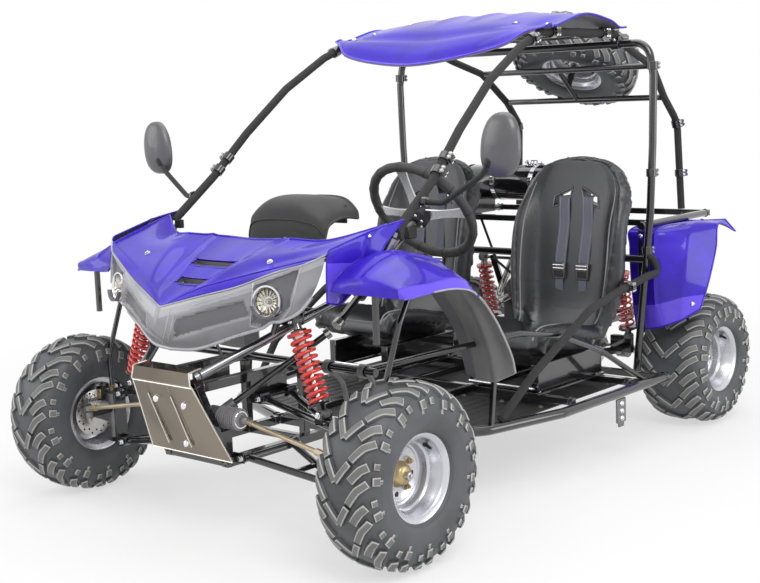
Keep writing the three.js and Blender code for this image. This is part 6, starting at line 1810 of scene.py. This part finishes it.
# Fuel drum on its saddles, with straps, filler cap and line
k = Kit("fuel_drum")
a, drum_r = Vector((-360, 1650, 847)), 66
k.put(lathe([(0, 0), (0, 54), (5, 61), (14, drum_r), (370, drum_r), (379, 61), (384, 54), (384, 0)], a, X,
    80), GLOSSBLACK)
for x in (12, 372):
    k.put(lathe([(x - 3, drum_r - 6), (x - 3, drum_r + 1.6), (x + 3, drum_r + 1.6), (x + 3, drum_r - 6)], a,
        X, 80), GLOSSBLACK)
for x in (-300, -40):
    d = x - a.x
    k.put(block((x - 16, 1570, 731), (x + 16, 1705, 793), 2), GLOSSBLACK)
    for y in (1582, 1694):
        k.put(hexed((x, y, 740 if y > 1600 else 793), Z, 11, 8), CHROME)
for x in (150, 320):
    k.put(lathe([(x - 9, drum_r - 2), (x - 9, drum_r + 2.2), (x + 9, drum_r + 2.2), (x + 9, drum_r - 2)], a,
        X, 80), CHROME)
    k.put(block((a.x + x - 10, 1578, 846), (a.x + x + 10, 1586, 872), 2), STEEL)
    k.put(rod((a.x + x, 1570, 860), (a.x + x, 1590, 860), 3), STEEL)
cap = Vector((-73, 1650, 847))
k.put(lathe([(60, 0), (60, 20), (70, 20), (71, 26), (80, 26), (83, 22), (84, 0)], cap, Z, 48), CHROME)
for i in range(14):
    t = 2 * math.pi * i / 14
    k.put(rod(cap + Vector((25.5 * math.cos(t), 25.5 * math.sin(t), 71.5)),
        cap + Vector((25.5 * math.cos(t), 25.5 * math.sin(t), 80)), 2.2, n=8), CHROME)
k.put(block((cap.x + 30, 1644, 912), (cap.x + 52, 1656, 920), 2), STEEL)
k.put(rod((cap.x + 46, 1650, 905), (cap.x + 46, 1650, 926), 5), CHROME)
k.put(pipe([(-310, 1650, 782), (-312, 1640, 720), (-180, 1560, 560), (-80, 1550, 500)], 5, 40, 10), HOSE)
k.done("chassis", "fuel_tank", slot="plasticBlack")

# Bucket seats, swelled by a cloth run and then sewn, slotted and harnessed
SEAT_SKIN = 30
SEAT_AT, SEAT_HALF, SEAT_BOLSTER = 310, 222, 78
SLOT = ((16, 858), (84, 826), (90, 790), (30, 808))
SEAT_FRONT, SEAT_LONG, SEAT_LOW, SEAT_RISE = 880, 500, 300, 670
SEAT_SPINE = ((0, 0.13), (0.05, 0.17), (0.3, 0.13), (0.6, 0.07), (0.76, 0.1), (0.85, 0.22), (0.89, 0.42),
    (0.93, 0.64),
              (0.96, 0.8), (0.975, 0.89), (0.983, 0.95), (0.988, 0.985), (0.99, 1))
SEAT_WIDE = (0.8, 0.84, 0.85, 0.85, 0.87, 0.94, 1, 1, 0.96, 0.83, 0.65, 0.42, 0.16)
SEAT_FULL = (0.3, 0.6, 0.9, 1, 1, 1, 1, 0.9, 0.4, 0.2, 0.1, 0.05, 0)
SEAT_ACROSS = ((-1, 0.8), (-0.8, 1), (-0.55, 0.2), (0, 0), (0.55, 0.2), (0.8, 1), (1, 0.8))


def seat_net():
    """The bucket's face from its front edge to the head, across in seven places."""
    spine = [Vector((0, SEAT_FRONT + s * SEAT_LONG, SEAT_LOW + z * SEAT_RISE)) for s, z in SEAT_SPINE]
    rows = []
    for i, p in enumerate(spine):
        way = (spine[min(i + 1, len(spine) - 1)] - spine[max(i - 1, 0)]).normalized()
        facing = Vector((0, -way.z, way.y))
        rows.append([p + facing * SEAT_BOLSTER * SEAT_FULL[i] * lift + X * (SEAT_AT + share * SEAT_HALF * SEAT_WIDE[i])
                     for share, lift in SEAT_ACROSS])
    return rows


seat_grid = net(seat_net(), 6, 7)
seat_rows, seat_cols = len(seat_grid), len(seat_grid[0])


def seat_lift(i, j, p):
    u = abs(j / (seat_cols - 1) - 0.5) * 2
    groove = -5 * ease(1 - abs(u - 0.60) / 0.06)
    return groove - 6


def padded_skin():
    sets, edge, top = shell(seat_grid, SEAT_SKIN, LEATHER, lift=seat_lift, stiff=True)
    k = Kit("seat_pad")
    k.all(sets)
    return k, top


def even(o, voxel=0.007):
    """Gives a closed skin an even mesh."""
    shrink = o.modifiers.new("remesh", "REMESH")
    shrink.mode = "VOXEL"
    shrink.voxel_size = voxel
    made = bpy.data.meshes.new_from_object(o.evaluated_get(bpy.context.evaluated_depsgraph_get()))
    o.modifiers.clear()
    o.data = made


def swell(o, cap, pressure=4.0):
    """A short cloth run that puffs a closed skin out, at most cap metres from where it was."""
    before = [v.co.copy() for v in o.data.vertices]
    cloth = o.modifiers.new("cloth", "CLOTH")
    cloth.settings.use_pressure = True
    cloth.settings.uniform_pressure_force = pressure
    cloth.settings.quality = 4
    cloth.settings.effector_weights.gravity = 0
    cloth.collision_settings.use_self_collision = False
    cloth.point_cache.frame_start, cloth.point_cache.frame_end = 1, 14
    for f in range(1, 15):
        bpy.context.scene.frame_set(f)
    made = bpy.data.meshes.new_from_object(o.evaluated_get(bpy.context.evaluated_depsgraph_get()))
    o.modifiers.clear()
    for v, a in zip(made.vertices, before):
        d = v.co - a
        if d.length > cap:
            v.co = a + d * (cap / d.length)
    o.data = made
    bpy.context.scene.frame_set(1)


k, seat_top = padded_skin()
me = bpy.data.meshes.new("seat_pad")
me.from_pydata([place(p) for p in k.v], [], k.f)
bm = bmesh.new()
bm.from_mesh(me)
bmesh.ops.remove_doubles(bm, verts=bm.verts, dist=1e-6)
bmesh.ops.recalc_face_normals(bm, faces=bm.faces)
bm.to_mesh(me)
bm.free()
pad = bpy.data.objects.new("seat_pad", me)
bpy.context.scene.collection.objects.link(pad)
even(pad)
swell(pad, 0.010)
for sign in (-1, 1):
    corners = [(SEAT_AT + sign * across, high) for across, high in SLOT]
    v = [Vector((x, y, z)) for y in (1200, 1500) for x, z in corners]
    f = [(0, 1, 2, 3), (4, 5, 6, 7)] + [(i, (i + 1) % 4, 4 + (i + 1) % 4, 4 + i) for i in range(4)]
    carve(pad, v, f)


def seat_share(p):
    """How far a point lies from the seat's middle line, 1 at its side."""
    row = min(seat_top, key=lambda r: (r[seat_cols // 2] - p).length_squared)
    return abs(p.x - row[seat_cols // 2].x) / max(1.0, abs(row[-1].x - row[seat_cols // 2].x))


skin = pad.data
skin.materials.clear()
skin.materials.append(LEATHER)
skin.materials.append(LEATHER_SIDE)
for poly in skin.polygons:
    c = poly.center
    p = Vector((c.x / MM, c.y / MM - FRONT_AXLE, c.z / MM))
    poly.material_index = 1 if seat_share(p) > 0.62 else 0
for side, sign in SIDES:
    m = skin.copy()
    m.name = "seat_cushion_" + side
    if sign < 0:
        m.transform(Matrix.Scale(-1, 4, (1, 0, 0)))
        m.flip_normals()
    m.polygons.foreach_set("use_smooth", [True] * len(m.polygons))
    m.set_sharp_from_angle(angle=math.radians(50))
    o = bpy.data.objects.new("seat_cushion_" + side, m)
    bpy.context.scene.collection.objects.link(o)
    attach(o, "seat_" + side)
    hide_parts("seat_" + side)
bpy.data.objects.remove(pad)

k = Kit("seat_runner")
for side in (-1, 1):
    x = SEAT_AT + side * 120
    k.put(block((x - 14, 910, 252), (x + 14, 1280, 338), 2), GLOSSBLACK)
for x in (SEAT_AT - 120, SEAT_AT + 120):
    k.put(block((x - 20, 900, 243), (x + 20, 1290, 250), 1), GLOSSBLACK)
    for y in (930, 1260):
        k.put(hexed((x, y, 250), Z, 12, 6), CHROME)
k.put(pipe([(SEAT_AT - 120, 905, 262), (SEAT_AT - 120, 882, 268), (SEAT_AT + 120, 882, 268),
    (SEAT_AT + 120, 905, 262)], 5, 12, 12), CHROME)
k.pair("seat_*", slot="frameBlack")


def pad_way(i, j):
    a, b, c = seat_top[i][j], seat_top[i + 1][j], seat_top[i][j + 1]
    way = (c - a).cross(b - a).normalized()
    return way if way.y < 0 or way.z > 0.7 else -way


def pad_line(u, rows, out):
    """Points up the seat at a place across it from 0 to 1, standing out from the pad."""
    pts = []
    for i in rows:
        t = u * (seat_cols - 1)
        j = min(int(t), seat_cols - 2)
        pts.append(seat_top[i][j].lerp(seat_top[i][j + 1], t - j) + pad_way(min(i, seat_rows - 2), j) * out)
    return pts


k = Kit("seat_piping")
for u in (0.20, 0.80):
    k.put(sweep(pad_line(u, range(2, seat_rows - 17), 8.5), 2.6, 8), PIPING)
for u in (0.185, 0.815):
    pts = pad_line(u, range(2, seat_rows - 17), 8.2)
    for a, b in zip(pts[::1], pts[1::1]):
        m = 3
        for q in range(m):
            c, d = a.lerp(b, (q + 0.15) / m), a.lerp(b, (q + 0.75) / m)
            k.put(sweep([c, d], 0.9, 5), PIPING)
for i in (26, 34):
    cross = [seat_top[i][j] + pad_way(i, j) * 7.5 for j in range(9, seat_cols - 9)]
    k.put(sweep(cross, 1.6, 6), MATBLACK)
for sign in (-1, 1):
    path = [Vector((SEAT_AT + sign * across, 0, high)) for across, high in SLOT]
    loop = []
    for a, b in zip(path, path[1:] + path[:1]):
        for t in range(5):
            p = a.lerp(b, t / 5)
            near = min((q for r in seat_top[38:56] for q in r),
                key=lambda q: (q.x - p.x) ** 2 + (q.z - p.z) ** 2)
            loop.append(Vector((p.x, near.y - 9, p.z)))
    k.put(sweep(loop, 3.6, 10, closed=True), LEATHER_SIDE)
    k.put(sweep([p - Y * 3 for p in loop], 1.2, 6, closed=True), PIPING)
k.pair("seat_*", slot="leather")

STRAP_TOP, STRAP_LOW = 816, 560
STRAP_OUT, STRAP_HALF, STRAP_THICK = 46, 21, 2.4
STRAP_SAG, STRAP_BACK, STRAP_BEND = 12, 60, 6
k = Kit("harness_web")
top_row = min(range(seat_rows), key=lambda i: abs(seat_top[i][seat_cols // 2].z - STRAP_TOP))
low_row = min(range(24, seat_rows), key=lambda i: abs(seat_top[i][seat_cols // 2].z - STRAP_LOW))
for sign in (-1, 1):
    mid, half = SEAT_AT + sign * STRAP_OUT, STRAP_HALF
    rows = range(top_row, low_row, -1)
    one, two = [], []
    for n, i in enumerate(rows):
        c = seat_cols // 2
        base = seat_top[i][c]
        sag = STRAP_SAG + 2.0 * math.sin(n * 0.9)
        way = pad_way(i, c)
        lean = 4 * math.sin(n * 0.35)
        one.append(Vector((mid - half + lean, base.y, base.z)) + way * sag)
        two.append(Vector((mid + half + lean, base.y, base.z)) + way * sag)
    head = [Vector((mid - half, one[0].y + STRAP_BACK, one[0].z + 3)),
        Vector((mid - half, one[0].y + STRAP_BEND, one[0].z + 3))]
    head2 = [Vector((mid + half, one[0].y + STRAP_BACK, one[0].z + 3)),
        Vector((mid + half, one[0].y + STRAP_BEND, one[0].z + 3))]
    k.put(ribbon(head + one, head2 + two, STRAP_THICK, (0, -1, 0.2)), WEB)
    for s in (0.12, 0.88):
        pts = [a.lerp(b, s) - Y * 2.6 for a, b in zip(one, two)]
        k.put(sweep(pts, 0.8, 5), PIPING)
    end = (one[-1] + two[-1]) / 2
    k.put(block((end.x - 24, end.y - 12, end.z - 34), (end.x + 24, end.y - 2, end.z + 22), 3), BUCKLE)
    k.put(block((end.x - 17, end.y - 15, end.z - 26), (end.x + 17, end.y - 11, end.z - 4), 2), DARKCAST)
    k.put(rod((end.x - 22, end.y - 12, end.z + 14), (end.x + 22, end.y - 12, end.z + 14), 3, n=12), CHROME)
    k.put(rod((end.x - 22, end.y - 12, end.z + 3), (end.x + 22, end.y - 12, end.z + 3), 3, n=12), CHROME)
    tail = [end - Z * 34 - Y * 6, end - Z * 62 - Y * 8, end - Z * 90 - Y * 4]
    k.put(ribbon([p - X * 15 for p in tail], [p + X * 15 for p in tail], 2.2, (0, -1, 0.1)), WEB)
k.pair("seat_*", slot="leather")

# Steering wheel and column
hub = Vector((300, 545, 846))
column = Vector((0, 395, 286)).normalized()
k = Kit("wheel_rim")
a = column.cross(X).normalized()
pts = [hub + (X * math.cos(2 * math.pi * t / 96) + a * math.sin(2 * math.pi * t / 96)) * 165
    for t in range(96)]
k.put(sweep(pts, [14 + 0.5 * math.cos(24 * 2 * math.pi * t / 96) for t in range(96)], 20, closed=True),
    BLACKPLASTIC)
for t in range(0, 96, 8):
    way = (pts[(t + 1) % 96] - pts[t]).normalized()
    k.put(ring(pts[t], way, 14.9, 13.5, 3, 24), HOSE)
for s, turn_at in ((0, 0.0), (1, math.pi), (2, -math.pi / 2)):
    way = X * math.cos(turn_at) + a * math.sin(turn_at)
    over = column.cross(way).normalized()
    rows = []
    for t in range(9):
        r = 30 + (158 - 30) * t / 8
        half = 19 - 6 * math.sin(math.pi * t / 8)
        dip = -14 * (1 - t / 8) - 4
        rows.append([hub + way * r + over * half * q + column * dip for q in (-1, -0.6, 0, 0.6, 1)])
    sets, edge, top = shell(rows, 5, SPOKE)
    k.all(sets)
k.put(lathe([(-44, 0), (-44, 26), (-36, 34), (-2, 34), (6, 30), (8, 24), (8, 0)], hub, column, 64), DARKCAST)
k.put(lathe([(-48, 0), (-48, 20), (-44, 24), (-44, 0)], hub, column, 48), BLACKPLASTIC)
for i in range(6):
    t = 2 * math.pi * i / 6
    k.put(domed(hub - column * 44 + (X * math.cos(t) + a * math.sin(t)) * 24, -column, 8, 4), CHROME)
k.put(rod((300, 163, 569.4), (300, 545, 846), 10), GLOSSBLACK)
k.put(rod((300, 156.5, 564.7), (300, 174.3, 577.6), 15), STEEL)
k.put(block((322, 430, 776), (340, 470, 812), 3), HOSE)
k.done("steering_wheel", "steering_wheel", slot="plasticBlack")
k = Kit("shaft_tube")
put_prims(k, MEMBERS["steering_shaft"], GLOSSBLACK, mats={1: STEEL})
k.done("steering_shaft", "steering_shaft", slot="frameBlack")

# Pedals
for name, x, half in (("throttle_pedal", 225, 22), ("brake_pedal", 355, 34)):
    k = Kit(name + "_arm")
    put_prims(k, MEMBERS[name], CAST, skip=(2,))
    lo, hi = MEMBERS[name][2][1]
    k.put(block(lo, hi, 3), HOSE)
    for i in range(5):
        z = lo[2] + 6 + i * (hi[2] - lo[2] - 12) / 4
        k.put(block((lo[0] + 4, lo[1] - 2.5, z - 2), (hi[0] - 4, lo[1] + 1, z + 2), 1), HOSE)
    k.done(name, name, slot="alloy")

# Mirrors
head = Vector((694, 382, 1042))
k = Kit("mirror_arm")
put_prims(k, MEMBERS["mirror"], MATBLACK)
k.put(ring((472, 344.7, 891.9), (57, 17, -3), 15, 7.5, 14, 28), GLOSSBLACK)
k.put(lathe([(-14, 0), (-14, 11), (-6, 14), (8, 15), (14, 10), (16, 0)], (668, 380, 998), (0.4, 0.03, 0.9),
    28), HOSE)
high, wide = 24, 40
rows = []
for t in range(high + 1):
    q = t / high
    d = 34 * q
    scale = math.sqrt(max(0.0, 1 - (1 - q) ** 2.6)) if q < 1 else 1
    row = []
    for i in range(wide + 1):
        u = 2 * math.pi * i / wide
        c, s = math.cos(u), math.sin(u)
        half_w = 62 * (1 - 0.10 * s)
        x = half_w * math.copysign(abs(c) ** 0.8, c)
        z = 86 * math.copysign(abs(s) ** 0.86, s)
        row.append(head + Vector((x * scale + 6 * s, -17 + d, z * scale)))
    rows.append(row)
v = [p for r in rows for p in r]
w = wide + 1
f = [(i * w + j, i * w + j + 1, (i + 1) * w + j + 1, (i + 1) * w + j) for i in range(high)
    for j in range(wide)]
k.put((v, f), GREYPLASTIC)
back = [p + Y * 1 for p in rows[-1]]
inner = [head + (p - head) * 0.93 + Y * 0 for p in back]
glass = [Vector((p.x, back[0].y - 3, p.z)) for p in inner]
ringv = back[:-1] + inner[:-1] + glass[:-1]
n = wide
k.put((ringv, [(i, (i + 1) % n, n + (i + 1) % n, n + i)
    for i in range(n)] + [(n + i, n + (i + 1) % n, 2 * n + (i + 1) % n, 2 * n + i) for i in range(n)]),
    GREYPLASTIC)
k.put((glass[:-1], [tuple(range(n))]), MIRROR)
k.pair("mirror_*", "mirror", slot="plasticGrey")

# Caster bracket hanging under the seat rail
k = Kit("hook_bracket")
HOOK_X, HOOK_Y = 575, 1180
k.put(block((HOOK_X - 4, HOOK_Y - 26, 118), (HOOK_X + 4, HOOK_Y + 26, 196), 2), CAST)
k.put(block((HOOK_X - 3, HOOK_Y - 15, 104), (HOOK_X + 3, HOOK_Y + 15, 122), 2), CAST)
for z in (132, 156, 180):
    k.put(hexed((HOOK_X + 4, HOOK_Y, z), X, 12, 6), CHROME)
k.done("chassis", slot="frameBlack")

# Camera, light and ground
cam_data = bpy.data.cameras.new("camera")
cam = bpy.data.objects.new("camera", cam_data)
bpy.context.scene.collection.objects.link(cam)
bpy.context.scene.camera = cam
cam_data.lens = 62.82
cam_data.sensor_width = 36
cam_data.clip_end = 100
eye_right, eye_up, eye_ahead = RIGHT, UP, AHEAD
turned_to = Matrix((eye_right, eye_up, -eye_ahead)).transposed()
cam.matrix_world = Matrix.Translation((2.74434, -3.37645, 1.16742)) @ turned_to.to_4x4()

scene = bpy.context.scene
scene.view_settings.view_transform = "Standard"
scene.world = scene.world or bpy.data.worlds.new("world")
world = scene.world
world.use_nodes = True
wn, wl = world.node_tree.nodes, world.node_tree.links.new
wn.clear()
out = wn.new("ShaderNodeOutputWorld")
seen, lit = wn.new("ShaderNodeBackground"), wn.new("ShaderNodeBackground")
mix = wn.new("ShaderNodeMixShader")
path = wn.new("ShaderNodeLightPath")
either = wn.new("ShaderNodeMath")
either.operation = "MAXIMUM"
wl(path.outputs["Is Camera Ray"], either.inputs[0])
wl(path.outputs["Is Transmission Ray"], either.inputs[1])
any_of = wn.new("ShaderNodeMath")
any_of.operation = "MAXIMUM"
wl(either.outputs[0], any_of.inputs[0])
wl(path.outputs["Is Glossy Ray"], any_of.inputs[1])
seen.inputs["Color"].default_value = (1, 1, 1, 1)
seen.inputs["Strength"].default_value = 1.0
lit.inputs["Color"].default_value = (1, 1, 1, 1)
lit.inputs["Strength"].default_value = 0.5
wl(any_of.outputs[0], mix.inputs[0])
wl(lit.outputs[0], mix.inputs[1])
wl(seen.outputs[0], mix.inputs[2])
wl(mix.outputs[0], out.inputs["Surface"])


def lamp(name, at, aim, size, watts, size_y=None):
    data = bpy.data.lights.new(name, "AREA")
    data.shape = "RECTANGLE"
    data.size, data.size_y = size, size_y or size
    data.energy = watts
    o = bpy.data.objects.new(name, data)
    o.location = at
    o.rotation_euler = (Vector(aim) - Vector(at)).to_track_quat("-Z", "Y").to_euler()
    scene.collection.objects.link(o)
    return o


lamp("key", (3.5, -2.5, 4.5), (0, 0, 0.5), 3.0, 150)
lamp("fill", (-3.5, -3.5, 2.5), (0, -0.3, 0.5), 3.0, 60)
lamp("top", (0, 0.5, 4.5), (0, 0, 0.5), 4.0, 80)
lamp("side", (5.0, 1.5, 1.4), (0, 0.2, 0.6), 2.2, 50)

ground = bpy.data.meshes.new("floor")
ground.from_pydata([(-30, -30, -0.0005), (30, -30, -0.0005), (30, 30, -0.0005), (-30, 30, -0.0005)], [],
    [(0, 1, 2, 3)])
floor = bpy.data.objects.new("floor", ground)
scene.collection.objects.link(floor)
fm = bpy.data.materials.new("floor_white")
fm.use_nodes = True
nt = fm.node_tree
fn, fl = nt.nodes, nt.links.new
b = fn["Principled BSDF"]
# Seen directly, in metal or through glass, the floor fades to white; its light on the kart stays the same.
FADE_FROM, FADE_TO, WHITE_NEAR = 1.2, 3.4, 0.6
glow = fn.new("ShaderNodeEmission")
blend = fn.new("ShaderNodeMixShader")
at = fn.new("ShaderNodeTexCoord")
gap = fn.new("ShaderNodeVectorMath")
gap.operation = "LENGTH"
fade = fn.new("ShaderNodeMapRange")
fade.interpolation_type = "SMOOTHSTEP"
for socket, value in (("From Min", FADE_FROM), ("From Max", FADE_TO), ("To Min", WHITE_NEAR),
        ("To Max", 1.0)):
    fade.inputs[socket].default_value = value
fl(at.outputs["Object"], gap.inputs[0])
fl(gap.outputs["Value"], fade.inputs["Value"])
rays = fn.new("ShaderNodeLightPath")
total = rays.outputs["Is Camera Ray"]
for ray in ("Is Glossy Ray", "Is Transmission Ray"):
    more = fn.new("ShaderNodeMath")
    more.operation = "MAXIMUM"
    fl(total, more.inputs[0])
    fl(rays.outputs[ray], more.inputs[1])
    total = more.outputs[0]
part = fn.new("ShaderNodeMath")
part.operation = "MULTIPLY"
fl(total, part.inputs[0])
fl(fade.outputs["Result"], part.inputs[1])
fl(part.outputs[0], blend.inputs[0])
fl(b.outputs[0], blend.inputs[1])
fl(glow.outputs[0], blend.inputs[2])
fl(blend.outputs[0], fn["Material Output"].inputs["Surface"])
b.inputs["Base Color"].default_value = (0.9, 0.9, 0.9, 1)
b.inputs["Roughness"].default_value = 0.9
b.inputs["Specular IOR Level"].default_value = 0.1
ground.materials.append(fm)
